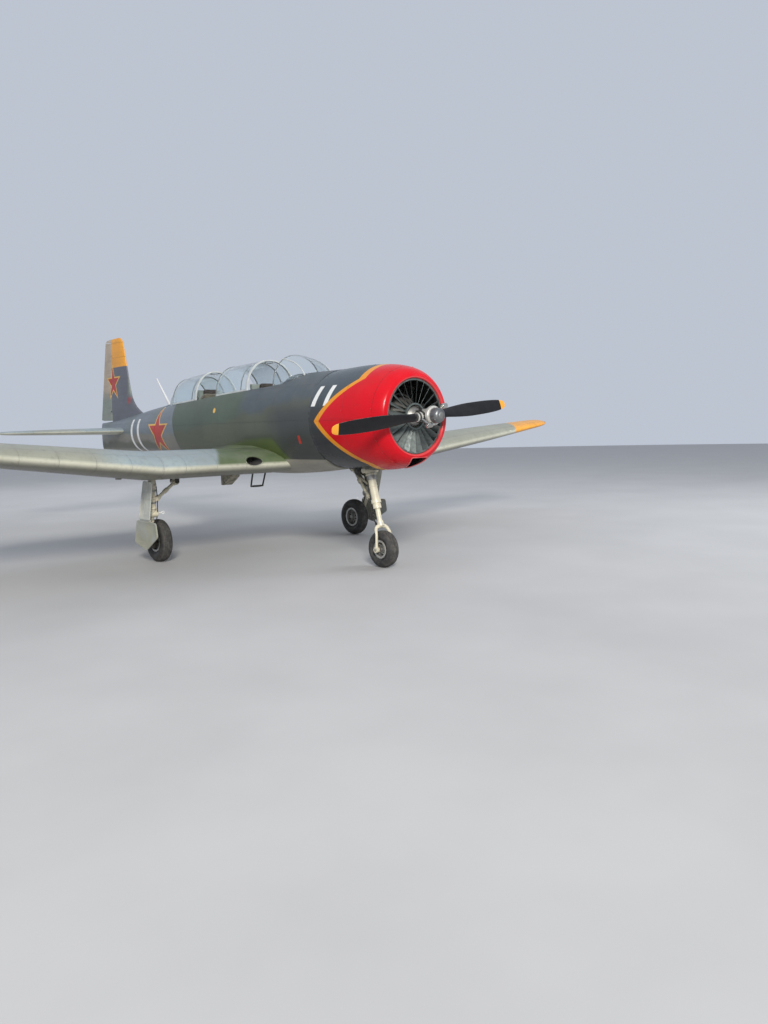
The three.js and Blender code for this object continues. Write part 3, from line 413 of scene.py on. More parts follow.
# %% Dust group: settles on faces that look up, thickest in hollows of the noise
DUST, given, found = new_group(
    "dust", [("Amount", "value", 0.3), ("Scale", "value", 6.0)], [("Mask", "value")]
)
facing = place_node(DUST, "ShaderNodeNewGeometry").outputs["Normal"]
upward = place_node(DUST, "ShaderNodeSeparateXYZ", {0: facing}).outputs[2]
settled = shift_range(DUST, upward, 0.1, 0.95)
cover = shift_range(DUST, noise(DUST, use_group(DUST, STATION)["Place"], given["Scale"], 5.0), 0.35, 0.75)
DUST.links.new(calc(DUST, "MULTIPLY", calc(DUST, "MULTIPLY", settled, cover), given["Amount"]), found["Mask"])

# %% Edge group: where paint is rubbed off proud edges
EDGES, given, found = new_group(
    "edge wear", [("Amount", "value", 0.5), ("Scale", "value", 40.0)], [("Mask", "value")]
)
sharp = place_node(EDGES, "ShaderNodeNewGeometry").outputs["Pointiness"]
proud = shift_range(EDGES, sharp, 0.53, 0.62)
broken = shift_range(EDGES, noise(EDGES, use_group(EDGES, STATION)["Place"], given["Scale"], 4.0), 0.42, 0.6)
EDGES.links.new(calc(EDGES, "MULTIPLY", calc(EDGES, "MULTIPLY", proud, broken), given["Amount"]), found["Mask"])

# %% Grain group: the fine roughness of cast metal, crackle paint and rubber
GRAIN, given, found = new_group("grain", [("Scale", "value", 300.0)], [("Height", "value")])
fine = noise(GRAIN, use_group(GRAIN, STATION)["Place"], given["Scale"], 3.0, 0.6)
GRAIN.links.new(fine, found["Height"])

# %% Weave group: threads over and under along two directions
WEAVE, given, found = new_group(
    "weave", [("Pitch", "value", 0.002), ("Place", "vector", (0, 0, 0))], [("Height", "value")]
)
sides = place_node(WEAVE, "ShaderNodeSeparateXYZ", {0: given["Place"]}).outputs
ways = []
for first, second in ((sides[0], sides[2]), (sides[1], sides[0])):
    turn = calc(WEAVE, "MULTIPLY", calc(WEAVE, "DIVIDE", first, given["Pitch"]), math.pi)
    cross_turn = calc(WEAVE, "MULTIPLY", calc(WEAVE, "DIVIDE", second, given["Pitch"]), math.pi)
    ways.append(calc(WEAVE, "MULTIPLY", calc(WEAVE, "SINE", turn), calc(WEAVE, "SINE", cross_turn)))
WEAVE.links.new(calc(WEAVE, "ADD", calc(WEAVE, "MULTIPLY", ways[0], 0.5), ways[1]), found["Height"])

# %% Zone group: a soft, wavy boundary between two sprayed colours
ZONE, given, found = new_group(
    "sprayed zone",
    [("Value", "value", 0.0), ("Edge", "value", 0.0), ("Softness", "value", 0.05), ("Wobble", "value", 0.1),
     ("Size", "value", 1.5)],
    [("Mask", "value")],
)
wave = calc(ZONE, "SUBTRACT", noise(ZONE, use_group(ZONE, STATION)["Place"], given["Size"], 2.0), 0.5)
wavy = calc(ZONE, "MULTIPLY_ADD", wave, given["Wobble"], given["Value"])
past = calc(ZONE, "DIVIDE", calc(ZONE, "SUBTRACT", wavy, given["Edge"]), given["Softness"])
ZONE.links.new(shift_range(ZONE, past, -1.0, 1.0, smooth=True), found["Mask"])

# %% Star group: a five-pointed star by folding the angle about its centre
STAR, given, found = new_group(
    "star",
    [("Across", "value", 0.0), ("Height", "value", 0.0), ("Radius", "value", 0.3), ("Border", "value", 0.02)],
    [("Fill", "value"), ("Rim", "value")],
)
FIFTH, CRISP = FULL / 5, 0.001
angle = calc(STAR, "ARCTAN2", given["Across"], given["Height"])
shifted = calc(STAR, "ADD", angle, FULL + FIFTH / 2)
folded = calc(STAR, "ABSOLUTE", calc(STAR, "SUBTRACT", calc(STAR, "MODULO", shifted, FIFTH), FIFTH / 2))
squares = [calc(STAR, "MULTIPLY", given[name], given[name]) for name in ("Across", "Height")]
reach = calc(STAR, "SQRT", calc(STAR, "ADD", *squares))
# The edge of a pointed star lies on a line that leans from each tip to the notch beside it.
LEAN = math.radians(18)
sideways = calc(STAR, "MULTIPLY", calc(STAR, "MULTIPLY", reach, calc(STAR, "SINE", folded)), math.cos(LEAN))
inward = calc(STAR, "MULTIPLY", calc(STAR, "MULTIPLY", reach, calc(STAR, "COSINE", folded)), math.sin(LEAN))
edge_line = calc(STAR, "MULTIPLY", given["Radius"], math.sin(LEAN))
gap = calc(STAR, "SUBTRACT", calc(STAR, "ADD", sideways, inward), edge_line)
STAR.links.new(shift_range(STAR, gap, CRISP, -CRISP), found["Fill"])
STAR.links.new(shift_range(STAR, calc(STAR, "SUBTRACT", gap, given["Border"]), CRISP, -CRISP), found["Rim"])

# %% [markdown]
# Skins are riveted along frames and lap over each other. Where seams run can be named station by station;
# the nearest one gives a thin groove, and two rows of small dimples follow it.

# %% Seams and rivets from lists of stations
RIVET_PITCH, RIVET_R, RIVET_SIDE, SEAM_HALF = 0.032, 0.0032, 0.016, 0.0016


def nearest(tree, coordinate, places):
    """The distance from a coordinate to the nearest of the given places."""
    closest = None
    for place in places:
        gap_here = calc(tree, "ABSOLUTE", calc(tree, "SUBTRACT", coordinate, place))
        closest = gap_here if closest is None else calc(tree, "MINIMUM", closest, gap_here)
    return closest


SEAM, given, found = new_group(
    "seam and rivets",
    [("Distance", "value", 1.0), ("Along", "value", 0.0)],
    [("Seam", "value"), ("Rivets", "value")],
)
SEAM.links.new(shift_range(SEAM, given["Distance"], SEAM_HALF, SEAM_HALF * 0.4), found["Seam"])
beside = calc(SEAM, "SUBTRACT", given["Distance"], RIVET_SIDE)
rhythm = calc(SEAM, "SUBTRACT", calc(SEAM, "FRACT", calc(SEAM, "DIVIDE", given["Along"], RIVET_PITCH)), 0.5)
along_gap = calc(SEAM, "MULTIPLY", rhythm, RIVET_PITCH)
squares = [calc(SEAM, "MULTIPLY", side, side) for side in (beside, along_gap)]
from_rivet = calc(SEAM, "SQRT", calc(SEAM, "ADD", *squares))
SEAM.links.new(shift_range(SEAM, from_rivet, RIVET_R, RIVET_R * 0.5), found["Rivets"])


def seams(tree, runs):
    """Depth and line masks of seams: runs are (coordinate, places, coordinate along the seam)."""
    lines, dots = None, None
    for coordinate, places, along in runs:
        out = use_group(tree, SEAM, Distance=nearest(tree, coordinate, places), Along=along)
        lines = out["Seam"] if lines is None else calc(tree, "MAXIMUM", lines, out["Seam"])
        dots = out["Rivets"] if dots is None else calc(tree, "MAXIMUM", dots, out["Rivets"])
    return lines, dots


# %% [markdown]
# ## Paint colours and the painted finish
# One function makes every painted skin. It takes a colour plan, which is a small tree of zones, and lays the
# shared effects over it: clouds and streaks, dark seams with rivets, dust on top and bare metal on edges.
# The colours are plain values for a dull northern day, given as linear light.

# %% Paint colours
PAINT = {
    "slate": (0.060, 0.078, 0.092),
    # A darker slate, laid low on the nose as painted shade.
    "slate dark": (0.036, 0.039, 0.043),
    "green": (0.062, 0.088, 0.064),
    "low olive": (0.080, 0.088, 0.058),
    "olive": (0.074, 0.104, 0.028),
    "olive dark": (0.044, 0.056, 0.032),
    "belly": (0.300, 0.285, 0.235),
    "rear blue": (0.150, 0.180, 0.215),
    "rear brown": (0.190, 0.185, 0.155),
    "fin slate": (0.110, 0.116, 0.140),
    # Fin green is the rudder's lower colour, and it is also laid along the fin's leading edge as a painted highlight.
    "fin green": (0.210, 0.235, 0.205),
    "wing grey": (0.255, 0.310, 0.325),
    "wing warm": (0.270, 0.275, 0.220),
    "grey green": (0.300, 0.330, 0.290),
    "cream": (0.640, 0.590, 0.440),
    "wing cream": (0.500, 0.495, 0.400),
    "yellow": (0.760, 0.330, 0.030),
    "band yellow": (0.700, 0.270, 0.020),
    "red": (0.560, 0.004, 0.012),
    # A paler red laid on the rolled lips as a painted highlight.
    "lip red": (0.620, 0.090, 0.090),
    "star red": (0.420, 0.030, 0.020),
    "star edge": (0.700, 0.420, 0.080),
    "white": (0.760, 0.760, 0.740),
    "tan": (0.450, 0.365, 0.280),
    "door grey": (0.560, 0.560, 0.490),
    "door olive": (0.330, 0.330, 0.255),
    "door blue": (0.330, 0.365, 0.370),
    "bare": (0.500, 0.500, 0.490),
    # Dark grime, which also darkens the wing's underside as painted shade.
    "grime": (0.030, 0.028, 0.024),
    "dust": (0.340, 0.320, 0.280),
}


def new_material(name):
    material = bpy.data.materials.new(name)
    material.use_nodes = True
    return material, material.node_tree, material.node_tree.nodes["Principled BSDF"]


def set_shader(tree, shader, height=None, depth=0.002, **inputs):
    for name, value in inputs.items():
        socket = shader.inputs[name.replace("_", " ")]
        if isinstance(value, bpy.types.NodeSocket):
            tree.links.new(value, socket)
        else:
            socket.default_value = (*value, 1) if isinstance(value, tuple) and len(value) == 3 else value
    if height is not None:
        bump = place_node(tree, "ShaderNodeBump", {"Height": height, "Distance": depth, "Strength": 1.0})
        tree.links.new(bump.outputs["Normal"], shader.inputs["Normal"])


def painted(name, plan, gloss=0.40, cloud=0.16, streaks=0.35, dust=0.22, worn=0.12, shine=0.5, runs=None):
    """A painted skin. plan(tree, spot) gives its colour, and runs(tree, spot) its lines of rivets."""
    material, tree, shader = new_material(name)
    spot = use_group(tree, STATION)
    tones = use_group(tree, CLOUDS, Size=1.7, Streaks=streaks)
    settled = use_group(tree, DUST, Amount=dust)["Mask"]
    rubbed = use_group(tree, EDGES, Amount=worn)["Mask"]
    tone = shift_range(tree, tones["Tone"], 0.3, 0.7, 1 - cloud, 1 + cloud)
    colour = blend_colour(tree, 1.0, plan(tree, spot), tone, "MULTIPLY")
    speck = shift_range(tree, tones["Speckle"], 0.3, 0.7, 0.96, 1.04)
    colour = blend_colour(tree, 1.0, colour, speck, "MULTIPLY")
    colour = blend_colour(tree, calc(tree, "MULTIPLY", tones["Streak"], 0.5), colour, PAINT["grime"])
    relief = calc(tree, "MULTIPLY", tones["Speckle"], 0.04)
    if runs:
        lines, dots = seams(tree, runs(tree, spot))
        colour = blend_colour(tree, calc(tree, "MULTIPLY", lines, 0.7), colour, PAINT["grime"])
        colour = blend_colour(tree, calc(tree, "MULTIPLY", dots, 0.22), colour, PAINT["grime"])
        sunk = calc(tree, "MULTIPLY_ADD", dots, 0.35, lines)
        relief = calc(tree, "SUBTRACT", relief, sunk)
    colour = blend_colour(tree, settled, colour, PAINT["dust"])
    colour = blend_colour(tree, rubbed, colour, PAINT["bare"])
    dull = calc(tree, "MULTIPLY_ADD", tones["Tone"], 0.16, gloss - 0.08)
    dull = calc(tree, "MULTIPLY_ADD", settled, 0.3, dull)
    set_shader(
        tree, shader, relief, Base_Color=colour, Roughness=dull, Metallic=calc(tree, "MULTIPLY", rubbed, 0.9),
        Specular_IOR_Level=shine,
    )
    return material


def zone(tree, value, edge, softness=0.05, wobble=0.12, size=1.5):
    return use_group(tree, ZONE, Value=value, Edge=edge, Softness=softness, Wobble=wobble, Size=size)["Mask"]


def within(tree, value, low, high, soft=0.002):
    """1 between two values of a coordinate, with a crisp edge."""
    above = shift_range(tree, value, low - soft, low + soft)
    below = shift_range(tree, value, high + soft, high - soft)
    return calc(tree, "MULTIPLY", above, below)


def star_on(tree, colour, across, height, radius, border):
    masks = use_group(tree, STAR, Across=across, Height=height, Radius=radius, Border=border)
    colour = blend_colour(tree, masks["Rim"], colour, PAINT["star edge"])
    return blend_colour(tree, masks["Fill"], colour, PAINT["star red"])


def bars_on(tree, colour, spot, middle, up, tall, wide, gap, lean):
    """Two plain white bars on the fuselage side, where the aircraft carries its marks."""
    upright = within(tree, spot["Up"], up - tall / 2, up + tall / 2)
    leaning = calc(tree, "MULTIPLY_ADD", calc(tree, "SUBTRACT", spot["Up"], up), lean, spot["Aft"])
    middles = (middle - gap, middle + gap)
    struck = calc(tree, "MAXIMUM", *[within(tree, leaning, at - wide / 2, at + wide / 2) for at in middles])
    return blend_colour(tree, calc(tree, "MULTIPLY", upright, struck), colour, PAINT["white"])


# %% [markdown]
# ## Camouflage of the fuselage
# The real sides are sprayed freehand: slate grey towards the engine, dark green round the cockpits, an olive
# band low on the side over a pale belly, and a brighter olive patch that runs out over the wing roots. A zone
# is a coordinate compared with an edge, made wavy by slow noise, so the plan reads like the painter's sketch.

# %% Fuselage plans
FRAME_STATIONS = [1.262, 1.66, 2.02, 2.40, 2.86, 3.30, 3.74, 4.10, 4.60, 5.00, 5.348]
SIDE_SEAMS = [1.22, 1.60, 1.985]
REAR_FRAMES = [5.372, 5.66, 5.94, 6.24, 6.52, 6.80, 7.10, 7.40, 7.70]
REAR_SEAMS = [1.40, 1.66]


def both(tree, *masks):
    result = masks[0]
    for mask in masks[1:]:
        result = calc(tree, "MULTIPLY", result, mask)
    return result


def under(tree, spot, height, slope=0.0, softness=0.05, wobble=0.12, size=1.5):
    """1 below a height that falls by slope for each metre aft."""
    level = calc(tree, "MULTIPLY_ADD", spot["Aft"], slope, spot["Up"])
    return zone(tree, calc(tree, "MULTIPLY", level, -1), -height, softness, wobble, size)


def ahead_of(tree, spot, aft, softness=0.05, wobble=0.12, size=1.5):
    return zone(tree, calc(tree, "MULTIPLY", spot["Aft"], -1), -aft, softness, wobble, size)


def front_bars(tree, colour, spot):
    return bars_on(tree, colour, spot, 1.04, 1.845, 0.21, 0.072, 0.11, 0.28)


def front_plan(tree, spot):
    aft, up = spot["Aft"], spot["Up"]
    colour = blend_colour(tree, zone(tree, aft, 2.80, 0.20, 0.7, 1.1), PAINT["slate"], PAINT["green"])
    low = under(tree, spot, 1.985, 0.11, 0.05, 0.22, 2.4)
    colour = blend_colour(tree, calc(tree, "MULTIPLY", low, 0.85), colour, PAINT["low olive"])
    # Ahead of station 2.00 and low on the side, the camouflage is darkened towards dark slate as painted shade.
    nose = both(tree, ahead_of(tree, spot, 2.00, 0.22, 0.5), under(tree, spot, 1.74, 0.0, 0.12, 0.3))
    colour = blend_colour(tree, calc(tree, "MULTIPLY", nose, 0.85), colour, PAINT["slate dark"])
    fore = calc(tree, "MULTIPLY_ADD", up, -0.9, aft)
    root, rim = [
        both(
            tree,
            under(tree, spot, 1.395 + grow, 0.0, soft, 0.09, 3.0),
            under(tree, spot, 1.90 + grow, 0.19, soft, 0.09, 3.0),
            zone(tree, fore, 0.784 - grow, soft, 0.09, 2.5),
        )
        for grow, soft in ((0.0, 0.03), (0.045, 0.05))
    ]
    rim = both(tree, rim, ahead_of(tree, spot, 2.75, 0.15, 0.3, 2.5))
    colour = blend_colour(tree, calc(tree, "MULTIPLY", rim, 0.75), colour, PAINT["olive dark"])
    colour = blend_colour(tree, calc(tree, "MULTIPLY", root, 0.9), colour, PAINT["olive"])
    grey = zone(tree, calc(tree, "MULTIPLY_ADD", up, -0.27, aft), 4.23, 0.015, 0.03, 2.0)
    colour = blend_colour(tree, grey, colour, PAINT["rear blue"])
    low_rear = under(tree, spot, 1.44, 0.0, 0.06, 0.25, 2.0)
    colour = blend_colour(tree, both(tree, low_rear, grey), colour, PAINT["rear brown"])
    belly = within(tree, up, 0.5, 1.165, 0.006)
    colour = front_bars(tree, blend_colour(tree, belly, colour, PAINT["belly"]), spot)
    red_mark = both(tree, within(tree, aft, 1.473, 1.517), within(tree, up, 1.345, 1.435))
    colour = blend_colour(tree, red_mark, colour, PAINT["star red"])
    offset = [calc(tree, "POWER", calc(tree, "SUBTRACT", one, at), 2.0) for one, at in ((aft, 3.41), (up, 1.77))]
    filler = shift_range(tree, calc(tree, "SQRT", calc(tree, "ADD", *offset)), 0.034, 0.030)
    return blend_colour(tree, filler, colour, PAINT["star edge"])


def rear_plan(tree, spot):
    aft, up = spot["Aft"], spot["Up"]
    blotch = zone(tree, calc(tree, "SINE", calc(tree, "MULTIPLY", aft, 5.0)), 0.55, 0.4, 1.2, 1.3)
    colour = blend_colour(tree, calc(tree, "MULTIPLY", blotch, 0.25), PAINT["rear blue"], PAINT["olive"])
    colour = blend_colour(tree, under(tree, spot, 1.49, 0.0, 0.03, 0.16, 2.0), colour, PAINT["rear brown"])
    colour = blend_colour(tree, under(tree, spot, 1.37, 0.0, 0.03, 0.16, 2.4), colour, PAINT["low olive"])
    belly = within(tree, up, 0.5, 1.25, 0.03)
    colour = blend_colour(tree, belly, colour, PAINT["belly"])
    return bars_on(tree, colour, spot, 6.26, 1.475, 0.50, 0.085, 0.15, 0.0)


SIDE_STAR = {"aft": 5.24, "up": 1.506, "radius": 0.350, "border": 0.022}


def with_side_star(plan):
    def starred(tree, spot):
        across = calc(tree, "SUBTRACT", spot["Aft"], SIDE_STAR["aft"])
        height = calc(tree, "SUBTRACT", spot["Up"], SIDE_STAR["up"])
        return star_on(tree, plan(tree, spot), across, height, SIDE_STAR["radius"], SIDE_STAR["border"])

    return starred


def fuselage_runs(frames, lines):
    def runs(tree, spot):
        return [(spot["Aft"], frames, spot["Up"]), (spot["Up"], lines, spot["Aft"])]

    return runs


front_runs, rear_runs = fuselage_runs(FRAME_STATIONS, SIDE_SEAMS), fuselage_runs(REAR_FRAMES, REAR_SEAMS)
FRONT_PAINT = painted("front camouflage", with_side_star(front_plan), runs=front_runs)
REAR_PAINT = painted("rear camouflage", with_side_star(rear_plan), runs=rear_runs)

# %% [markdown]
# ## Paint of the wings and tail
# From above the wings are pale blue-grey with a grey-green blotch, the leading edge is cream, the underside
# cream darkened by painted shade, and the tips are yellow-orange with a soft slanting edge. A skin knows its
# upper side from the height over the wing's middle line, which rises with the dihedral outboard of the centre section.

# %% Wing, tail and control surface plans
KINK_X, WING_Z, DIHEDRAL = 1.77, 1.124, 0.12
RIB_STATIONS = [0.86, 1.20, 1.54, 1.776, 2.12, 2.48, 2.84, 3.20, 3.56, 3.92, 4.28, 4.64]
SPAR_LINES = [2.28, 2.72, 3.36]
TIP_PAINT = {"out": 4.15, "aft": 2.25, "lean": 0.55}


def wing_plan(tree, spot):
    out = calc(tree, "ABSOLUTE", spot["Out"])
    past_kink = calc(tree, "MAXIMUM", calc(tree, "SUBTRACT", out, KINK_X), 0.0)
    middle = calc(tree, "MULTIPLY_ADD", past_kink, DIHEDRAL, WING_Z)
    over = calc(tree, "SUBTRACT", spot["Up"], middle)
    top = shift_range(tree, over, -0.004, 0.026)
    warm = zone(tree, out, 2.30, 0.25, 0.9, 1.1)
    upper = blend_colour(tree, warm, PAINT["wing grey"], PAINT["wing warm"])
    slanting = calc(tree, "MULTIPLY_ADD", spot["Aft"], 0.5, out)
    root = zone(tree, calc(tree, "MULTIPLY", slanting, -1), -2.205, 0.03, 0.10, 2.4)
    upper = blend_colour(tree, calc(tree, "MULTIPLY", root, 0.9), upper, PAINT["olive"])
    # Below the middle line the cream darkens the further down the skin lies: painted shade for the wing's underside.
    painted_underside_shade = shift_range(tree, over, -0.020, -0.070, 0.0, 0.66)
    lower = blend_colour(tree, painted_underside_shade, PAINT["wing cream"], PAINT["grime"])
    colour = blend_colour(tree, top, lower, upper)
    leaning = calc(tree, "MULTIPLY_ADD", spot["Aft"], -TIP_PAINT["lean"], out)
    tip = zone(tree, leaning, TIP_PAINT["out"] - TIP_PAINT["lean"] * TIP_PAINT["aft"], 0.03, 0.06)
    return blend_colour(tree, tip, colour, PAINT["yellow"])


def wing_runs(tree, spot):
    out = calc(tree, "ABSOLUTE", spot["Out"])
    return [(out, RIB_STATIONS, spot["Aft"]), (spot["Aft"], SPAR_LINES, out)]


TAIL_RIBS = [0.40, 0.78, 1.16, 1.54]


def tailplane_plan(tree, spot):
    top = shift_range(tree, spot["Up"], 1.548, 1.560)
    blotch = zone(tree, calc(tree, "SINE", calc(tree, "MULTIPLY", spot["Out"], 4.0)), 0.1, 0.4, 1.4, 1.6)
    upper = blend_colour(tree, calc(tree, "MULTIPLY", blotch, 0.7), PAINT["wing grey"], PAINT["wing warm"])
    return blend_colour(tree, top, PAINT["wing cream"], upper)


def tailplane_runs(tree, spot):
    return [(calc(tree, "ABSOLUTE", spot["Out"]), TAIL_RIBS, spot["Aft"])]


FIN_RIBS = [2.06, 2.42, 2.78, 3.02]
FIN_STAR = {"aft": 7.54, "up": 2.365, "radius": 0.269, "border": 0.020}


def fin_plan(tree, spot):
    aft, up = spot["Aft"], spot["Up"]
    # Ahead of a slanting line near the leading edge the fin stays the paler fin green: a painted highlight.
    aft_of_edge_highlight = zone(tree, calc(tree, "MULTIPLY_ADD", up, 0.12, aft), 7.26, 0.06, 0.35, 2.2)
    colour = blend_colour(tree, aft_of_edge_highlight, PAINT["fin green"], PAINT["fin slate"])
    colour = blend_colour(tree, under(tree, spot, 2.16, 0.0, 0.10, 0.35, 2.0), colour, PAINT["fin slate"])
    top = both(tree, within(tree, up, 2.622, 4.0, 0.004), within(tree, aft, 6.0, 7.64, 0.004))
    colour = blend_colour(tree, top, colour, PAINT["yellow"])
    rust = both(tree, within(tree, aft, 6.90, 6.98, 0.02), within(tree, up, 2.0, 2.10, 0.02))
    colour = blend_colour(tree, calc(tree, "MULTIPLY", rust, 0.55), colour, PAINT["star red"])
    hinge = shift_range(tree, calc(tree, "MULTIPLY_ADD", up, 0.1128, aft), 7.882, 7.886)
    fabric = blend_colour(tree, under(tree, spot, 2.22, 0.0, 0.12, 0.3, 2.0), PAINT["tan"], PAINT["fin green"])
    colour = blend_colour(tree, hinge, colour, fabric)
    across, height = calc(tree, "SUBTRACT", aft, FIN_STAR["aft"]), calc(tree, "SUBTRACT", up, FIN_STAR["up"])
    return star_on(tree, colour, across, height, FIN_STAR["radius"], FIN_STAR["border"])


def fin_runs(tree, spot):
    return [(spot["Up"], FIN_RIBS, spot["Aft"])]


WING_PAINT = painted("wing paint", wing_plan, gloss=0.36, cloud=0.10, runs=wing_runs)
WING_FABRIC = painted("aileron fabric", wing_plan, gloss=0.46, cloud=0.10)
TAIL_PAINT = painted("tailplane paint", tailplane_plan, gloss=0.42, runs=tailplane_runs)
TAIL_FABRIC = painted("elevator fabric", tailplane_plan, gloss=0.5)
FIN_PAINT = painted("fin paint", fin_plan, gloss=0.42, runs=fin_runs)
RUDDER_FABRIC = painted("rudder fabric", fin_plan, gloss=0.5)

# %% [markdown]
# ## Paint of the cowling
# Gloss red sweeps back to a point on each side, edged by a yellow band, and the camouflage starts behind it.
# The point's two edges bend a little forward as they leave it, so each is its own parabola of the height over
# or under the point.

# %% Cowling plan
# "up" and "down" are each edge's slope, its bend and how far forward it may run.
CHEVRON = {"tip aft": 1.060, "tip up": 1.583, "up": (1.0, 1.0, 0.58), "down": (0.90, 0.67, 0.545), "band": 0.088}
COWL_SEAMS = [0.262, 0.66, 1.06]


def cowl_plan(tree, spot):
    rise = calc(tree, "SUBTRACT", spot["Up"], CHEVRON["tip up"])
    back = CHEVRON["tip aft"]
    for sign, (slope, bend, most) in ((1, CHEVRON["up"]), (-1, CHEVRON["down"])):
        away = calc(tree, "MAXIMUM", calc(tree, "MULTIPLY", rise, sign), 0.0)
        lean = calc(tree, "MULTIPLY", away, calc(tree, "MULTIPLY_ADD", away, bend, slope))
        lean = calc(tree, "MINIMUM", lean, most)
        back = calc(tree, "SUBTRACT", back, lean)
    past = calc(tree, "SUBTRACT", spot["Aft"], back)
    rise = calc(tree, "SUBTRACT", spot["Up"], THRUST_Z)
    reach = calc(tree, "SQRT", calc(tree, "ADD", *[calc(tree, "POWER", one, 2.0) for one in (spot["Out"], rise)]))
    # The rolled lip of the cowling turns a paler red: a painted highlight.
    lip = calc(tree, "MULTIPLY", shift_range(tree, reach, 0.404, 0.396), 0.6)
    red = blend_colour(tree, lip, PAINT["red"], PAINT["lip red"])
    colour = blend_colour(tree, shift_range(tree, past, -CRISP, CRISP), red, PAINT["band yellow"])
    # Below the same height, behind the red point, the slate is darkened as painted shade.
    behind = blend_colour(tree, under(tree, spot, 1.74, 0.0, 0.12, 0.3), PAINT["slate"], PAINT["slate dark"])
    behind = front_bars(tree, behind, spot)
    edge = CHEVRON["band"]
    return blend_colour(tree, shift_range(tree, past, edge - CRISP, edge + CRISP), colour, behind)


def cowl_runs(tree, spot):
    return [(spot["Aft"], COWL_SEAMS, spot["Up"]), (spot["Up"], [THRUST_Z - 0.02], spot["Aft"])]


COWL_PAINT = painted(
    "cowling paint", cowl_plan, gloss=0.24, cloud=0.07, streaks=0.2, dust=0.04, shine=0.22, runs=cowl_runs
)


def mist(tree, spot):
    return zone(tree, noise(tree, spot["Place"], 5.0, 3.0), 0.5, 0.08, 0.2, 6.0)


def one_colour(colour, second=None, amount=0.4):
    """A plan of a single paint, or of one with clouds of a second."""

    def plan(tree, spot):
        if second is None:
            return blend_colour(tree, 0.0, PAINT[colour], PAINT[colour])
        return blend_colour(tree, calc(tree, "MULTIPLY", mist(tree, spot), amount), PAINT[colour], PAINT[second])

    return plan


def door_plan(tree, spot):
    low = within(tree, spot["Up"], 0.0, 0.512, 0.004)
    panel = blend_colour(tree, low, PAINT["door grey"], PAINT["door olive"])
    return blend_colour(tree, calc(tree, "MULTIPLY", mist(tree, spot), 0.5), panel, PAINT["door blue"])


CREAM_PAINT = painted("gear cream", one_colour("cream", "dust", 0.3), gloss=0.38, cloud=0.10, dust=0.2, worn=0.3)
DOOR_PAINT = painted("door paint", door_plan, gloss=0.42)
# The chin inlet's lip is all the paler red of a painted highlight.
LIP_HIGHLIGHT_PAINT = painted("lip paint", one_colour("lip red"), gloss=0.3, cloud=0.06, dust=0.1)
WHITE_PAINT = painted("white paint", one_colour("white"), gloss=0.4, cloud=0.06, dust=0.1)
WELL_PAINT = painted("well paint", one_colour("grey green", "grime", 0.4), gloss=0.5, cloud=0.2)

# %% [markdown]
# ## Finishes that aren't camouflage
# Castings, steel, rubber, cloth and crackle paint are one recipe with other numbers: a colour clouded with a
# darker one, a fine grain in the bump, worn edges and dust. Writing the recipe once keeps them a family.

# %% The common recipe, and the metals
def finish(name, colour, shade, rough, metallic=0.0, spots=14.0, grain=320.0, depth=0.0004, worn=0.0, dust=0.1,
           polish=0.5):
    material, tree, shader = new_material(name)
    spot = use_group(tree, STATION)
    cloud = shift_range(tree, noise(tree, spot["Place"], spots, 5.0), 0.36, 0.68)
    height = use_group(tree, GRAIN, Scale=grain)["Height"]
    mixed = blend_colour(tree, cloud, colour, shade)
    settled = use_group(tree, DUST, Amount=dust, Scale=11.0)["Mask"]
    mixed = blend_colour(tree, settled, mixed, PAINT["dust"])
    rubbed = use_group(tree, EDGES, Amount=worn, Scale=70.0)["Mask"]
    mixed = blend_colour(tree, rubbed, mixed, PAINT["bare"])
    dull = calc(tree, "MULTIPLY_ADD", cloud, 0.18, rough - 0.06)
    dull = calc(tree, "MULTIPLY_ADD", settled, 0.25, dull)
    set_shader(tree, shader, height, depth, Base_Color=mixed, Roughness=dull, Metallic=metallic,
               Specular_IOR_Level=polish)
    return material


BRIGHT_STEEL = finish("bright steel", (0.62, 0.62, 0.60), (0.42, 0.41, 0.38), 0.24, 1.0, dust=0.05)
HUB_METAL = finish("silvered casting", (0.66, 0.65, 0.61), (0.44, 0.43, 0.40), 0.36, 0.4, dust=0.05)
DOME_METAL = finish("anodised dome", (0.26, 0.27, 0.27), (0.17, 0.175, 0.18), 0.36, 0.9, grain=500.0, worn=0.5)
CAST_METAL = finish("cast alloy", (0.36, 0.36, 0.34), (0.20, 0.195, 0.18), 0.5, 0.85, grain=260.0, depth=0.0008)
ENGINE_BLACK = finish("engine black", (0.022, 0.022, 0.022), (0.05, 0.045, 0.04), 0.5, 0.25, worn=0.4)
BURNT_STEEL = finish("burnt steel", (0.115, 0.075, 0.052), (0.045, 0.034, 0.030), 0.62, 0.75, spots=22.0, depth=0.001)
SHUTTER_METAL = finish("shutter paint", (0.125, 0.150, 0.145), (0.085, 0.100, 0.096), 0.46, 0.30, spots=30.0)
DARK_STEEL = finish("dark steel", (0.075, 0.074, 0.070), (0.035, 0.033, 0.030), 0.45, 0.7, worn=0.1)
GRIMY_PAINT = finish("grimy strut paint", (0.34, 0.32, 0.24), (0.10, 0.095, 0.075), 0.5, 0.1, spots=26.0, dust=0.2)
WHEEL_METAL = finish("wheel casting", (0.30, 0.30, 0.28), (0.14, 0.13, 0.115), 0.5, 0.8, worn=0.6, dust=0.35)
RIM_METAL = finish("rim band", (0.52, 0.52, 0.50), (0.34, 0.335, 0.31), 0.45, 0.6, dust=0.2)
BRAKE_METAL = finish("brake iron", (0.085, 0.07, 0.058), (0.045, 0.038, 0.034), 0.58, 0.7, spots=40.0)
FRAME_GREY = finish("canopy frame paint", (0.56, 0.59, 0.58), (0.44, 0.46, 0.45), 0.38, 0.1, worn=0.2, dust=0.12)
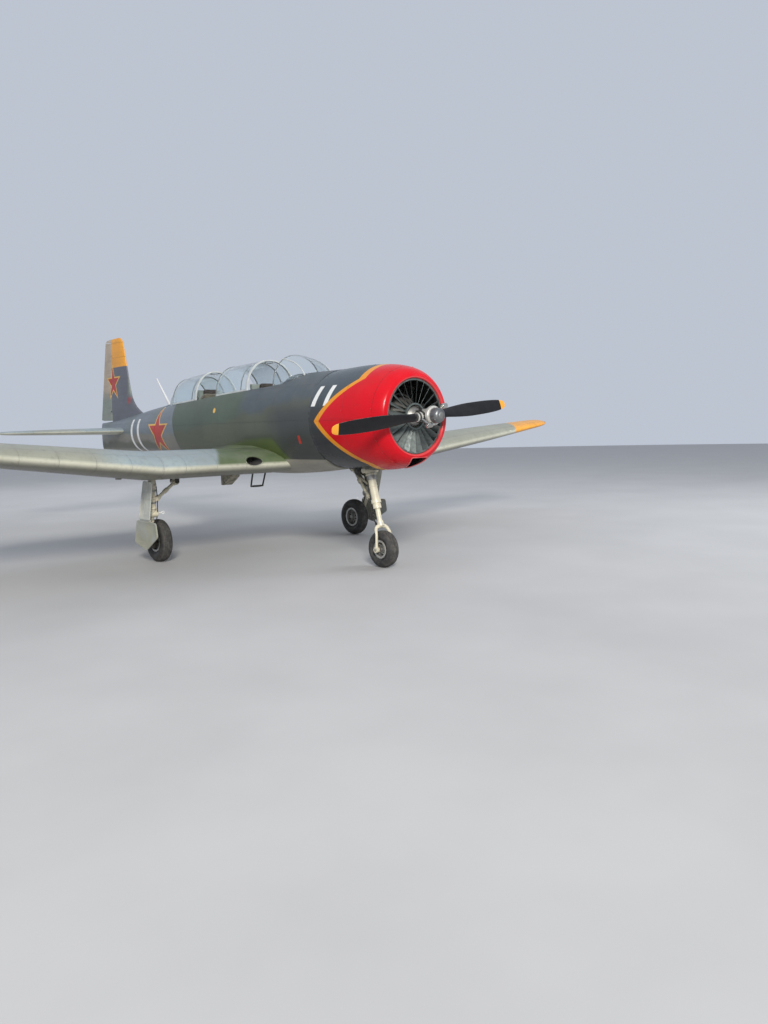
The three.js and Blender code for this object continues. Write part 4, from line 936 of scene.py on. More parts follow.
GLASS_EDGE = finish("glass edging", (0.19, 0.21, 0.21), (0.12, 0.13, 0.13), 0.45, 0.2, dust=0.2)
COCKPIT_GREEN = finish("cockpit paint", (0.195, 0.235, 0.215), (0.14, 0.165, 0.15), 0.55, 0.0, worn=0.1, dust=0.3)
CRACKLE_BLACK = finish("crackle black", (0.020, 0.020, 0.021), (0.032, 0.032, 0.033), 0.62, 0.0, grain=900.0,
                       depth=0.0009, dust=0.2)
DIAL_FACE = finish("dial face", (0.012, 0.012, 0.013), (0.016, 0.016, 0.017), 0.3, 0.0, depth=0.0001, dust=0.02)
MARK_WHITE = finish("dial marks", (0.78, 0.78, 0.74), (0.68, 0.68, 0.62), 0.5, 0.0, depth=0.0001, dust=0.0)
BLACK_RUBBER = finish("black rubber", (0.018, 0.018, 0.018), (0.030, 0.029, 0.027), 0.68, 0.0, grain=420.0, dust=0.3)
RED_KNOB = finish("red plastic", (0.42, 0.012, 0.010), (0.30, 0.010, 0.010), 0.35, 0.0, depth=0.0001)

# %% [markdown]
# ### Rubber and the propeller's paint
# A tyre tells its age by a pale bloom on the side walls and a scrubbed tread. Distance from the axle decides
# between them, and because a wheel turns, that distance is taken from the tyre's own middle.

# %% Tyre rubber, and the propeller's paint with its yellow tips
def tyre_rubber(name, centre, radius):
    material, tree, shader = new_material(name)
    spot = use_group(tree, STATION)
    inputs = {0: spot["Place"], 1: centre}
    shifted = place_node(tree, "ShaderNodeVectorMath", inputs, operation="SUBTRACT").outputs[0]
    sides = place_node(tree, "ShaderNodeSeparateXYZ", {0: shifted}).outputs
    squares = [calc(tree, "POWER", sides[axis], 2.0) for axis in (1, 2)]
    reach = calc(tree, "SQRT", calc(tree, "ADD", *squares))
    scrubbed = shift_range(tree, reach, radius - 0.024, radius - 0.008)
    bloom = shift_range(tree, noise(tree, spot["Place"], 26.0, 5.0), 0.4, 0.66)
    wall = blend_colour(tree, calc(tree, "MULTIPLY", bloom, 0.5), (0.020, 0.020, 0.020), (0.075, 0.072, 0.066))
    tread = blend_colour(tree, bloom, (0.040, 0.038, 0.036), (0.085, 0.080, 0.072))
    colour = blend_colour(tree, scrubbed, wall, tread)
    rough = calc(tree, "MULTIPLY_ADD", scrubbed, 0.2, 0.62)
    grain = use_group(tree, GRAIN, Scale=380.0)["Height"]
    set_shader(tree, shader, grain, 0.0006, Base_Color=colour, Roughness=rough)
    return material


def blade_paint(name, tip_radius, band):
    """Satin black, with a yellow tip and paint chipped off along the leading edge."""
    material, tree, shader = new_material(name)
    spot = use_group(tree, STATION)
    across = calc(tree, "POWER", spot["Out"], 2.0)
    rise = calc(tree, "POWER", calc(tree, "SUBTRACT", spot["Up"], THRUST_Z), 2.0)
    reach = calc(tree, "SQRT", calc(tree, "ADD", across, rise))
    tip = shift_range(tree, reach, tip_radius - band - CRISP, tip_radius - band + CRISP)
    cloud = shift_range(tree, noise(tree, spot["Place"], 12.0, 5.0), 0.35, 0.7)
    black = blend_colour(tree, cloud, (0.004, 0.004, 0.005), (0.009, 0.009, 0.011))
    colour = blend_colour(tree, tip, black, PAINT["yellow"])
    chipped = use_group(tree, EDGES, Amount=0.55, Scale=90.0)["Mask"]
    colour = blend_colour(tree, chipped, colour, PAINT["bare"])
    dusty = use_group(tree, DUST, Amount=0.04, Scale=8.0)["Mask"]
    colour = blend_colour(tree, dusty, colour, PAINT["dust"])
    set_shader(tree, shader, use_group(tree, GRAIN, Scale=240.0)["Height"], 0.0002, Base_Color=colour,
               Roughness=calc(tree, "MULTIPLY_ADD", cloud, 0.14, 0.40), Specular_IOR_Level=0.3)
    return material


PROP_RADIUS = 1.2
PROP_PAINT = blade_paint("blade black", PROP_RADIUS, 0.075)

# %% [markdown]
# ### Glass
# Acrylic glass is nearly clear and faintly blue, with fine hairline scratches that only show in its gloss.
# Light rays on their way to a lamp are let straight through, because the seats and panels under the hoods
# would otherwise sit in the shadow of a window.

# %% Canopy glass and lamp glass
def clear_glass(name, colour, rough=0.03, through_colour=(0.93, 0.96, 0.97)):
    material, tree, shader = new_material(name)
    scratches = noise(tree, stretch(tree, use_group(tree, STATION)["Place"], (60.0, 6.0, 60.0)), 8.0, 5.0)
    set_shader(tree, shader, Base_Color=colour, IOR=1.47, Transmission_Weight=1.0, Metallic=0.0,
               Roughness=shift_range(tree, scratches, 0.5, 0.8, rough, rough + 0.08))
    clear = place_node(tree, "ShaderNodeBsdfTransparent", {"Color": (*through_colour, 1)})
    shadow = place_node(tree, "ShaderNodeLightPath").outputs["Is Shadow Ray"]
    mixed = place_node(tree, "ShaderNodeMixShader", {0: shadow, 1: shader.outputs[0], 2: clear.outputs[0]})
    tree.links.new(mixed.outputs[0], tree.nodes["Material Output"].inputs["Surface"])
    return material


CANOPY_GLASS = clear_glass("canopy acrylic", (0.90, 0.945, 0.955))
DIAL_GLASS = clear_glass("dial glass", (0.97, 0.98, 0.98), 0.02)
RED_LENS = clear_glass("red lens", (0.75, 0.03, 0.02), 0.08, (0.75, 0.05, 0.04))
GREEN_LENS = clear_glass("green lens", (0.03, 0.55, 0.16), 0.08, (0.05, 0.55, 0.2))

# %% [markdown]
# ### Cloth and leather
# Seat cloth and harness webbing are woven. The weave group draws threads over and under, and its height goes
# into the bump at the real pitch; webbing is coarser and ribbed along its length.

# %% Woven finishes and leather
CLOTH_ROUGH, CLOTH_SHEEN = 0.85, 0.3


def woven(name, colour, shade, pitch, depth):
    material, tree, shader = new_material(name)
    spot = use_group(tree, STATION)
    threads = use_group(tree, WEAVE, Pitch=pitch, Place=spot["Place"])["Height"]
    cloud = shift_range(tree, noise(tree, spot["Place"], 9.0, 5.0), 0.35, 0.7)
    mixed = blend_colour(tree, cloud, colour, shade)
    hollow = shift_range(tree, threads, -1.0, 0.2, 0.45, 0.0)
    mixed = blend_colour(tree, hollow, mixed, tuple(0.35 * part for part in shade))
    dull = calc(tree, "MULTIPLY_ADD", cloud, 0.08, CLOTH_ROUGH - 0.04)
    set_shader(tree, shader, threads, depth, Base_Color=mixed, Roughness=dull, Sheen_Weight=CLOTH_SHEEN,
               Sheen_Roughness=0.4)
    return material


SEAT_CLOTH = woven("seat cloth", (0.115, 0.105, 0.075), (0.075, 0.070, 0.052), 0.0026, 0.0008)
WEBBING = woven("harness webbing", (0.050, 0.050, 0.046), (0.032, 0.032, 0.030), 0.0034, 0.0010)
LEATHER = finish("black leather", (0.024, 0.021, 0.019), (0.045, 0.038, 0.033), 0.48, 0.0, spots=8.0, grain=210.0,
                 depth=0.0012, dust=0.15, polish=0.4)
print("finishes ready:", len(bpy.data.materials))

# %% [markdown]
# ## The fuselage
# A metal fuselage is frames with sheet wrapped round them, so a few oval sections give its whole shape. Each
# row of the table is one frame, and the curve through the rows is read every few centimetres. What stands
# above the sill, and the room that both cockpits share, are then cut out of the solid loft. That leaves walls
# of the real thickness to look at from above.

# %% Sections of the fuselage and the sill line
FUSELAGE = [
    # station, half width, bottom, top, squareness of the oval
    (1.250, 0.535, 1.052, 2.150, 2.05),
    (1.660, 0.510, 1.010, 2.152, 2.15),
    (2.400, 0.488, 0.972, 2.160, 2.25),
    (3.300, 0.474, 0.970, 2.140, 2.25),
    (4.100, 0.447, 1.020, 2.090, 2.20),
    (4.600, 0.424, 1.068, 2.040, 2.15),
    (5.360, 0.365, 1.150, 1.932, 2.10),
    (5.940, 0.305, 1.190, 1.882, 2.05),
    (6.750, 0.222, 1.210, 1.800, 2.05),
    (7.700, 0.108, 1.216, 1.722, 2.10),
    (8.190, 0.030, 1.222, 1.700, 2.40),
]
FIREWALL, JOIN, TAIL_END = 1.250, 5.360, 8.190
DECK_FRONT, DECK_BACK = 2.010, 5.300
ROOM_FRONT, ROOM_BACK, FLOOR_Z, WALL = 2.010, 4.450, 1.400, 0.034
RAIL_SLOPE, TAIL_LAMP_Z = 0.045, 1.461
# The elevators' hinge line and reach. A tube across the tail cone joins the two.
TAILPLANE_Z, ELEVATOR_Y, TORQUE_TUBE_R = 1.552, 7.460, 0.012
ELEVATOR = {"inner": 0.158, "outer": 1.765}
OVAL_POINTS = 112
# Pieces that seat on each other stand this far apart, and pieces that run past each other stay this far clear.
SEAT_GAP, RUN_GAP = 0.0004, 0.008


def oval(y, inset=0.0):
    width, bottom, top, square = through(FUSELAGE, y)[0]
    turn = np.linspace(0, FULL, OVAL_POINTS, endpoint=False)
    across, up = (np.sign(part) * np.abs(part) ** (2 / square) for part in (np.cos(turn), np.sin(turn)))
    height = (top + bottom) / 2 + ((top - bottom) / 2 - inset) * up
    return np.column_stack([(width - inset) * across, np.full(OVAL_POINTS, y), height])


def side_at(y, z):
    """Half the fuselage's width at a station and height."""
    width, bottom, top, square = through(FUSELAGE, y)[0]
    rise = abs(z - (top + bottom) / 2) / ((top - bottom) / 2)
    return width * max(0.0, 1 - rise**square) ** (1 / square)


def fuselage_loft(start, end, step=0.04):
    return skin([oval(y) for y in stations(start, end, step)])


def sill_z(y):
    return 2.020 - RAIL_SLOPE * (y - 2.100)


def above_sill(start, end):
    return plate([(start, sill_z(start)), (end, sill_z(end)), (end, 2.7), (start, 2.7)], -0.7, 0.7)


def face_material(obj, index, test):
    """Gives a material slot to the faces whose middle, in stations, passes a test."""
    for side in obj.data.polygons:
        x, y, z = side.center
        if test(x, y - PROP_Y, z, side.normal):
            side.material_index = index


# %% The front fuselage with both cockpits cut out
front = mesh_object("fuselage_front_skin", fuselage_loft(FIREWALL + SEAT_GAP, JOIN))
room = mesh_object("room", skin([oval(y, WALL) for y in stations(ROOM_FRONT, ROOM_BACK, 0.08)]))
carve(room, block((-0.6, 2.0, 1.0), (0.6, 4.5, FLOOR_Z)))
room_points = [(v.co.x, v.co.y - PROP_Y, v.co.z) for v in room.data.vertices]
room_shape = room_points, [tuple(side.vertices) for side in room.data.polygons]
bpy.data.objects.remove(room)
carve(front, above_sill(DECK_FRONT, DECK_BACK), room_shape, smooth=32)
finish_piece(front, "airframe", [FRONT_PAINT, COCKPIT_GREEN], ["fuselage_front"])


def in_room(x, y, z, way):
    return ROOM_FRONT - 0.01 < y < ROOM_BACK + 0.01 and abs(x) < side_at(y, z) - WALL / 2 and z < 2.03


face_material(front, 1, in_room)
print("front fuselage:", len(front.data.polygons), "faces")

# %% The rear fuselage, its tail lamp and the joint between the two halves
rear_rows = [oval(y) for y in stations(JOIN + 2 * SEAT_GAP, TAIL_END, 0.05)]
cap_rows = [oval(TAIL_END) * (s, 1, 1) + (0, shift, 0) for s, shift in ((0.7, 0.010), (0.3, 0.016))]
for row, s in zip(cap_rows, (0.94, 0.82)):
    row[:, 2] = TAIL_LAMP_Z + (row[:, 2] - TAIL_LAMP_Z) * s
piece("fuselage_rear_skin", skin(rear_rows + cap_rows), "airframe", REAR_PAINT, ["fuselage_rear"])
strap_rows = ((5.335, -0.0002), (5.340, -0.0022), (5.380, -0.0022), (5.385, -0.0002), (5.385, 0.01), (5.335, 0.01))
joint = skin([oval(y, inset) for y, inset in strap_rows])
piece("joint_strap", joint, "airframe", REAR_PAINT)
ends = [(side * ELEVATOR["inner"], ELEVATOR_Y, TAILPLANE_Z) for side in (-1, 1)]
piece("elevator_torque_tube", bar(*ends, TORQUE_TUBE_R), "airframe", DARK_STEEL)

# %% [markdown]
# ### Wing sections
# A wing skin needs its section only once: a symmetric thickness curve laid about a gently arched middle line.
# Stations then stretch, thin and lift it. Aileron, elevator and rudder hang in slots that follow their round
# noses, so the slot is made from the same numbers as the surface that swings in it.

# %% The section, and lofts of the wing and tail surfaces
CAMBER, INCIDENCE, TIP_X = 0.022, 0.035, 5.110
SECTION_STEPS = 30


def half_thickness(u):
    u = np.clip(u, 0, 1)
    return 5 * (0.2969 * np.sqrt(u) - 0.126 * u - 0.3516 * u**2 + 0.2843 * u**3 - 0.1015 * u**4)


def camber_line(u):
    return np.where(u < 0.4, (0.8 * u - u * u) / 0.16, (0.2 + 0.8 * u - u * u) / 0.36)


def section(front, rear, share, camber=0.0, grow=0.0):
    """Points (station, rise) of one closed section from the trailing edge over the top and back below."""
    chord = rear - front
    u = (1 - np.cos(np.linspace(0, math.pi, SECTION_STEPS))) / 2
    middle, half = camber * camber_line(u) * chord, half_thickness(u) * share * chord + grow
    y = front - grow + u * (chord + 2 * grow)
    return np.column_stack([np.r_[y[::-1], y[1:]], np.r_[(middle + half)[::-1], (middle - half)[1:]]])


def wing_z(x):
    return WING_Z + DIHEDRAL * max(0.0, x - KINK_X)


OUTER_WING = [
    # distance out, leading edge, trailing edge, height, thickness share
    (KINK_X + SEAT_GAP, 2.150, 4.050, wing_z(KINK_X), 0.170),
    (3.300, 2.181, 3.650, wing_z(3.300), 0.168),
    (4.750, 2.212, 3.268, wing_z(4.750), 0.122),
    (4.960, 2.262, 3.190, wing_z(4.960), 0.112),
    (5.065, 2.390, 3.050, wing_z(5.065) + 0.008, 0.095),
    (TIP_X, 2.580, 2.870, wing_z(TIP_X) + 0.012, 0.080),
]
CENTRE_WING = [(0.5, 1.940, 4.050, WING_Z, 0.147), (KINK_X, 2.150, 4.050, WING_Z, 0.170)]


def wing_row(x, front, rear, z, share, grow=0.0):
    points = section(front, rear, share, CAMBER, grow=grow)
    rise = z + points[:, 1] - (points[:, 0] - front) * INCIDENCE
    return np.column_stack([np.full(len(points), x), points[:, 0], rise])


def wing_at(table, x, y):
    """The middle surface and the half thickness of the wing at a place in plan."""
    front, rear, z, share = straight(table, x)
    chord, u = rear - front, (y - front) / (rear - front)
    middle = z + CAMBER * float(camber_line(u)) * chord - (y - front) * INCIDENCE
    return middle, float(half_thickness(u)) * share * chord


# %% [markdown]
# ### Surfaces that swing
# The moving surfaces are fabric over ribs on the real aircraft: the nose is a half round on the hinge line, the
# skin runs straight to a thin trailing edge, and between the ribs the cloth draws in by a few millimetres.
# That scallop is modelled, because it is what catches the light.

# %% A hinged surface with its slot, its knuckle notches and its lugs
KNUCKLE = {"length": 0.034, "radius": 0.009, "web": 0.010}


def hinged(
    start, end, aft, nose, chord, edge=0.003, knuckles=(0.18, 0.82), room=(RUN_GAP, RUN_GAP), ribs=0, sag=0.0
):
    """A surface on a hinge line. nose and chord are pairs, at the start and at the end of that line."""
    start, end = Vector(start), Vector(end)
    along = (end - start).normalized()
    length = (end - start).length
    aft = Vector(aft)
    back = (aft - along * aft.dot(along)).normalized()
    up = along.cross(back)

    def at(s, b, u):
        return tuple(start + along * s + back * b + up * u)

    def mix(pair, s):
        return pair[0] + (pair[1] - pair[0]) * s / length

    def ring(s):
        radius, reach = mix(nose, s), mix(chord, s)
        hollow = sag * abs(math.sin(math.pi * ribs * s / length)) if ribs else 0.0
        turns = [math.radians(turn) for turn in range(90, 271, 12)]
        bow = [at(s, radius * math.cos(turn), radius * math.sin(turn)) for turn in turns]
        flat = []
        for share in (0.12, 0.3, 0.5, 0.7, 0.88):
            flat.append((share * reach, radius + (edge - radius) * share - hollow * math.sin(math.pi * share)))
        below = [at(s, b, -u) for b, u in flat] + [at(s, reach - 0.001, -edge)]
        above = [at(s, reach - 0.001, edge)] + [at(s, b, u) for b, u in flat[::-1]]
        return bow + below + [at(s, reach + 0.002, 0)] + above

    def slab(s0, s1, b0, b1, u0, u1):
        ends = ((s0, *b0), (s1, *b1))
        return skin([[at(s, b, u0), at(s, c, u0), at(s, c, u1), at(s, b, u1)] for s, b, c in ends])

    rows = max(2, ribs * 6 + 1)
    first, last = -room[0], length + room[1]
    slot_ends = [(-mix(nose, s) - RUN_GAP, 0.7) for s in (first, last)]
    slot = slab(first, last, *slot_ends, -0.3, 0.3)
    half, clear = KNUCKLE["length"] / 2, KNUCKLE["radius"] + 0.006
    places = [share * length for share in knuckles]
    gap = half + SEAT_GAP
    notches = [slab(s - gap, s + gap, (-0.7, clear), (-0.7, clear), -0.3, 0.3) for s in places]
    lugs = []
    for s in places:
        root = -(mix(nose, s) + RUN_GAP + 0.012)
        web = slab(s - half, s + half, (root, 0), (root, 0), -KNUCKLE["web"] / 2, KNUCKLE["web"] / 2)
        lugs.append(together(web, bar(at(s - half, 0, 0), at(s + half, 0, 0), KNUCKLE["radius"], sides=16)))
    surface = skin([ring(s) for s in np.linspace(0, length, rows)])
    return {"surface": surface, "slot": slot, "notches": notches, "lugs": together(*lugs)}


AILERON = {"inner": 2.300, "outer": 4.640, "share": 0.76}


def aileron(side):
    hinge = []
    for x in (AILERON["inner"], AILERON["outer"]):
        front, rear, _, _ = straight(OUTER_WING, x)
        y = front + (rear - front) * AILERON["share"]
        middle, half = wing_at(OUTER_WING, x, y)
        hinge.append(((side * x, y, middle), half * 0.93, (rear - y) * 0.985))
    ends, noses, chords = zip(*hinge)
    return hinged(*ends, (0, 1, -0.055), noses, chords, ribs=11, sag=0.0028)


FLAP = {
    "inner": 0.545, "outer": 1.700, "y": 3.560, "length": 0.415,
    "nose": 0.009, "edge": 0.004, "slope": 0.028, "skin": 0.005,
}


def flap_hinge_z():
    middle, half = wing_at(CENTRE_WING, 0.5, FLAP["y"])
    return middle - half + FLAP["nose"] + FLAP["skin"]


def flap(side):
    z = flap_hinge_z()
    ends = [(side * FLAP[key], FLAP["y"], z) for key in ("inner", "outer")]
    noses, chords = (FLAP["nose"],) * 2, (FLAP["length"],) * 2
    return hinged(*ends, (0, 1, FLAP["slope"]), noses, chords, FLAP["edge"], (0.12, 0.5, 0.88))


def flap_recess(side):
    front, back = FLAP["y"] - FLAP["nose"] - RUN_GAP, FLAP["y"] + FLAP["length"] + RUN_GAP
    roof = flap_hinge_z() + FLAP["nose"] + RUN_GAP
    back_roof = roof - FLAP["edge"] + (back - FLAP["y"]) * FLAP["slope"]
    outline = [(front, roof), (back, back_roof), (back, 0.85), (front, 0.85)]
    ends = sorted(side * x for x in (FLAP["inner"] - RUN_GAP, FLAP["outer"] + RUN_GAP))
    return plate(outline, *ends)


# %% [markdown]
# ### The centre section
# Its underside holds two round wheel wells with a slot for each leg, the flaps' recesses, and the oval duct of
# the oil cooler in the right leading edge. The wells get their own paint, and a few ribs and a rim, since the
# camera stands low enough to look into them.

# %% The centre section of the wing
WELL = {"x": 0.905, "y": 2.860, "radius": 0.270, "roof": 1.235}
LEG_SLOT = {"front": 2.730, "back": 2.925, "end": 1.672, "roof": 1.175}
COOLER = {"x": -0.765, "y": 2.065, "z": 1.160, "front": 0.098, "back": 0.078, "depth": 0.380, "flat": 0.52}


def wheel_well(side):
    bowl = turned([(WELL["radius"], 0.8), (WELL["radius"], WELL["roof"])], (side * WELL["x"], WELL["y"], 0), "Z", 56)
    inner, outer = side * WELL["x"], side * LEG_SLOT["end"]
    slot = block_between((inner, LEG_SLOT["front"], 0.8), (outer, LEG_SLOT["back"], LEG_SLOT["roof"]))
    return bowl, slot


def flattened(shape, centre, share):
    """Squeezes a shape in height about a centre."""
    return [(x, y, centre + (z - centre) * share) for x, y, z in shape[0]], shape[1]


half_rows = [wing_row(x, *straight(CENTRE_WING, x)) for x in stations(0.5, KINK_X, 0.09)]
full_rows = [row * (-1, 1, 1) for row in half_rows[::-1]] + half_rows
centre = mesh_object("wing_centre_skin", skin(full_rows))
COOLER_AT = (COOLER["x"], COOLER["y"], COOLER["z"])
duct_ends = [(COOLER["front"], -COOLER["depth"] / 2), (COOLER["back"], COOLER["depth"] / 2)]
duct = flattened(turned(duct_ends, COOLER_AT, "Y", 48), COOLER["z"], COOLER["flat"])
cuts = [flap_recess(1), flap_recess(-1), *wheel_well(1), *wheel_well(-1), duct]
carve(centre, *cuts, smooth=30)
finish_piece(centre, "airframe", [WING_PAINT, WELL_PAINT, CRACKLE_BLACK], ["wing_centre"])


def in_bay(x, y, z, way):
    x = abs(x)
    middle, half = wing_at(CENTRE_WING, max(x, 0.5), y)
    deep = z > middle - half + 0.006 and z < middle + half - 0.006
    bay = math.hypot(x - WELL["x"], y - WELL["y"]) < WELL["radius"] + 0.003
    slot = WELL["x"] < x < LEG_SLOT["end"] + 0.003 and LEG_SLOT["front"] - 0.003 < y < LEG_SLOT["back"] + 0.003
    recess = y > FLAP["y"] - 0.03 and way.z < -0.5
    return deep and (bay or slot or recess)


def in_duct(x, y, z, way):
    across, rise = x - COOLER["x"], z - COOLER["z"]
    inward = way.x * across + way.z * rise < 0 or y > 2.2
    return inward and y < 2.27 and math.hypot(across, rise / COOLER["flat"]) < COOLER["front"] + 0.003


face_material(centre, 1, in_bay)
# The duct's inner walls take crackle black as painted shade.
face_material(centre, 2, in_duct)
print("centre section:", len(centre.data.polygons), "faces")

# %% Rims of the wells, ribs inside them, the cooler's core and its lip
bay_parts, cooler_parts = [], []
RIB_REACH = WELL["radius"] - 0.008
rim_profile = [(RIB_REACH, 1.150), (0.268, 1.150), (0.268, 1.162), (RIB_REACH, 1.162)]
for side in (1, -1):
    middle = (side * WELL["x"], WELL["y"], 0)
    for turn in range(0, 180, 36):
        way = Vector((math.cos(math.radians(turn)), math.sin(math.radians(turn)), 0))
        centre_point = Vector(middle) + Vector((0, 0, WELL["roof"] - 0.014))
        bay_parts.append(bar(centre_point - way * RIB_REACH, centre_point + way * RIB_REACH, 0.010, sides=8))
    bay_parts.append(ring_body(rim_profile, middle, "Z", 56))
piece("well_ribs", together(*bay_parts), "airframe", WELL_PAINT)


def rim_station(x, z):
    """Where the leading edge meets the duct, on the line from the duct's middle through a place."""
    turn = math.atan2((z - COOLER["z"]) / COOLER["flat"], x - COOLER["x"])
    rim_x = COOLER["x"] + COOLER["front"] * math.cos(turn)
    rim_z = COOLER["z"] + COOLER["front"] * COOLER["flat"] * math.sin(turn)
    for station in np.arange(straight(CENTRE_WING, abs(rim_x))[0], 2.30, 0.001):
        middle, half = wing_at(CENTRE_WING, abs(rim_x), station)
        if abs(rim_z - middle) <= half:
            return station
    return COOLER["y"]


lip = [(0.096, 0.016), (0.094, -0.002), (0.099, -0.008), (0.106, -0.004), (0.109, 0.010), (0.106, 0.022)]
round_lip = moved(ring_body(lip, (0, 0, 0), "Y", 64), (COOLER["x"], 0, COOLER["z"]))
flat_lip = flattened(round_lip, COOLER["z"], COOLER["flat"])
front_lip = [(x, y + rim_station(x, z), z) for x, y, z in flat_lip[0]], flat_lip[1]
CORE = {"front": 2.16, "back": 2.20, "half width": 0.088, "half height": 0.042, "half fin": 0.001}
for row in range(9):
    z, half, fin = COOLER["z"] + (row - 4) * 0.0098, CORE["half width"], CORE["half fin"]
    ends = (COOLER["x"] - half, CORE["front"], z - fin), (COOLER["x"] + half, CORE["back"], z + fin)
    cooler_parts.append(block(*ends))
for column in range(15):
    x, half, fin = COOLER["x"] + (column - 7) * 0.0115, CORE["half height"], CORE["half fin"]
    ends = (x - fin, CORE["front"] + 0.01, COOLER["z"] - half), (x + fin, CORE["back"], COOLER["z"] + half)
    cooler_parts.append(block(*ends))
piece("oil_cooler_core", together(*cooler_parts), "airframe", ENGINE_BLACK)
piece("oil_cooler_lip", front_lip, "airframe", WING_PAINT)

# %% Outer panels, ailerons and flaps
tip_places = [4.75, 4.81, 4.87, 4.92, 4.96, 5.0, 5.03, 5.055, 5.075, 5.09, 5.10, TIP_X]
wing_places = np.r_[stations(KINK_X + SEAT_GAP, 4.70, 0.10), tip_places]
for name, side in SIDES:
    swing, low = aileron(side), flap(side)
    rows = [wing_row(x, *through(OUTER_WING, x)[0]) for x in wing_places]
    panel = mesh_object(f"wing_{name}_skin", skin([row * (side, 1, 1) for row in rows]))
    carve(panel, swing["slot"], smooth=30)
    finish_piece(panel, "airframe", WING_PAINT, [f"wing_{name}"])
    piece(f"aileron_{name}_lugs", swing["lugs"], "airframe", CAST_METAL)
    surface = carve(mesh_object(f"aileron_{name}_fabric", swing["surface"]), *swing["notches"])
    finish_piece(surface, f"{name}_aileron", WING_FABRIC, [f"aileron_{name}"])
    surface = carve(mesh_object(f"flap_{name}_skin", low["surface"]), *low["notches"])
    finish_piece(surface, "flap", WING_PAINT, [f"flap_{name}"])
    piece(f"flap_{name}_lugs", low["lugs"], "airframe", CAST_METAL)
print("wing panels, ailerons and flaps are on")

# %% [markdown]
# A hollow curve of sheet covers the corner between wing and fuselage. It starts as nothing at the leading edge,
# swells over the chord, and runs out to a point on the fuselage side behind the trailing edge.

# %% Wing root fairings
ROOT_FAIRING = [
    # station, foot, rise, reach, and 1 where it no longer stands on the wing
    (2.190, 0.0, 0.004, 0.003, 0),
    (2.500, 0.0, 0.030, 0.026, 0),
    (3.000, 0.0, 0.084, 0.076, 0),
    (3.500, 0.0, 0.145, 0.124, 0),
    (4.050, 1.052, 0.205, 0.170, 1),
    (4.350, 1.072, 0.130, 0.090, 1),
    (4.640, 1.118, 0.024, 0.012, 1),
]
corners = []
for y, foot, rise, reach, free in ROOT_FAIRING:
    middle, half = wing_at(CENTRE_WING, 0.5, min(y, 4.04))
    low, floor = (foot, foot - 0.008) if free else (middle + half, middle)
    near, high = side_at(y, low + rise / 3), side_at(y, low + rise) - 0.004
    corners.append((y, near + reach, low, near + 0.004, low + 0.006, high, low + rise, floor))
fairing_rows = []
for y in stations(ROOT_FAIRING[0][0], ROOT_FAIRING[-1][0], 0.05):
    toe, low, bend_x, bend_z, head, high, floor = straight(corners, y)
    share = np.linspace(0, 1, 14)[:, None]
    sweep = (1 - share) ** 2 * (toe, low) + 2 * share * (1 - share) * (bend_x, bend_z) + share**2 * (head, high)
    ring = np.vstack([(toe, floor), sweep, (head - 0.017, high), (head - 0.017, floor)])
    fairing_rows.append(np.column_stack([ring[:, 0], np.full(len(ring), y), ring[:, 1]]))
piece("wing_root_fairings", both_sides(skin(fairing_rows)), "airframe", FRONT_PAINT, smooth=35)

# %% [markdown]
# ## The tail
# Tailplane and fin are the same section laid flat or stood upright. They run into the tail cone, so nothing
# needs cutting there; only the slots of the elevators and the rudder are taken out.

# %% Tailplanes and elevators
TAILPLANE = [
    # distance out, leading edge, trailing edge, thickness share
    (0.060, 6.800, 8.010, 0.100),
    (1.760, 7.120, 7.830, 0.090),
    (1.890, 7.200, 7.790, 0.085),
    (1.950, 7.330, 7.690, 0.070),
]


def tail_row(out, front, rear, share, upright=False):
    points = section(front, rear, share)
    if upright:
        return np.column_stack([points[:, 1], points[:, 0], np.full(len(points), out)])
    return np.column_stack([np.full(len(points), out), points[:, 0], TAILPLANE_Z + points[:, 1]])


def elevator(side):
    read = []
    for x in (ELEVATOR["inner"], ELEVATOR["outer"]):
        front, rear, share = straight(TAILPLANE, x)
        u = (ELEVATOR_Y - front) / (rear - front)
        read.append((float(half_thickness(u)) * share * (rear - front) * 0.95, rear - ELEVATOR_Y))
    ends = [(side * ELEVATOR[key], ELEVATOR_Y, TAILPLANE_Z) for key in ("inner", "outer")]
    noses, chords = zip(*read)
    return hinged(*ends, (0, 1, 0), noses, chords, room=(0.2, RUN_GAP), ribs=8, sag=0.0022)


tail_places = np.r_[stations(0.06, 1.70, 0.12), [1.76, 1.80, 1.84, 1.87, 1.89, 1.91, 1.93, 1.942, 1.95]]
for name, side in SIDES:
    swing = elevator(side)
    rows = [tail_row(x, *through(TAILPLANE, x)[0]) * (side, 1, 1) for x in tail_places]
    plane = carve(mesh_object(f"tailplane_{name}_skin", skin(rows)), swing["slot"], smooth=30)
    finish_piece(plane, "airframe", TAIL_PAINT, [f"tailplane_{name}"])
    piece(f"elevator_{name}_lugs", swing["lugs"], "airframe", CAST_METAL)
    surface = carve(mesh_object(f"elevator_{name}_fabric", swing["surface"]), *swing["notches"])
    finish_piece(surface, "elevator", TAIL_FABRIC, [f"elevator_{name}"])

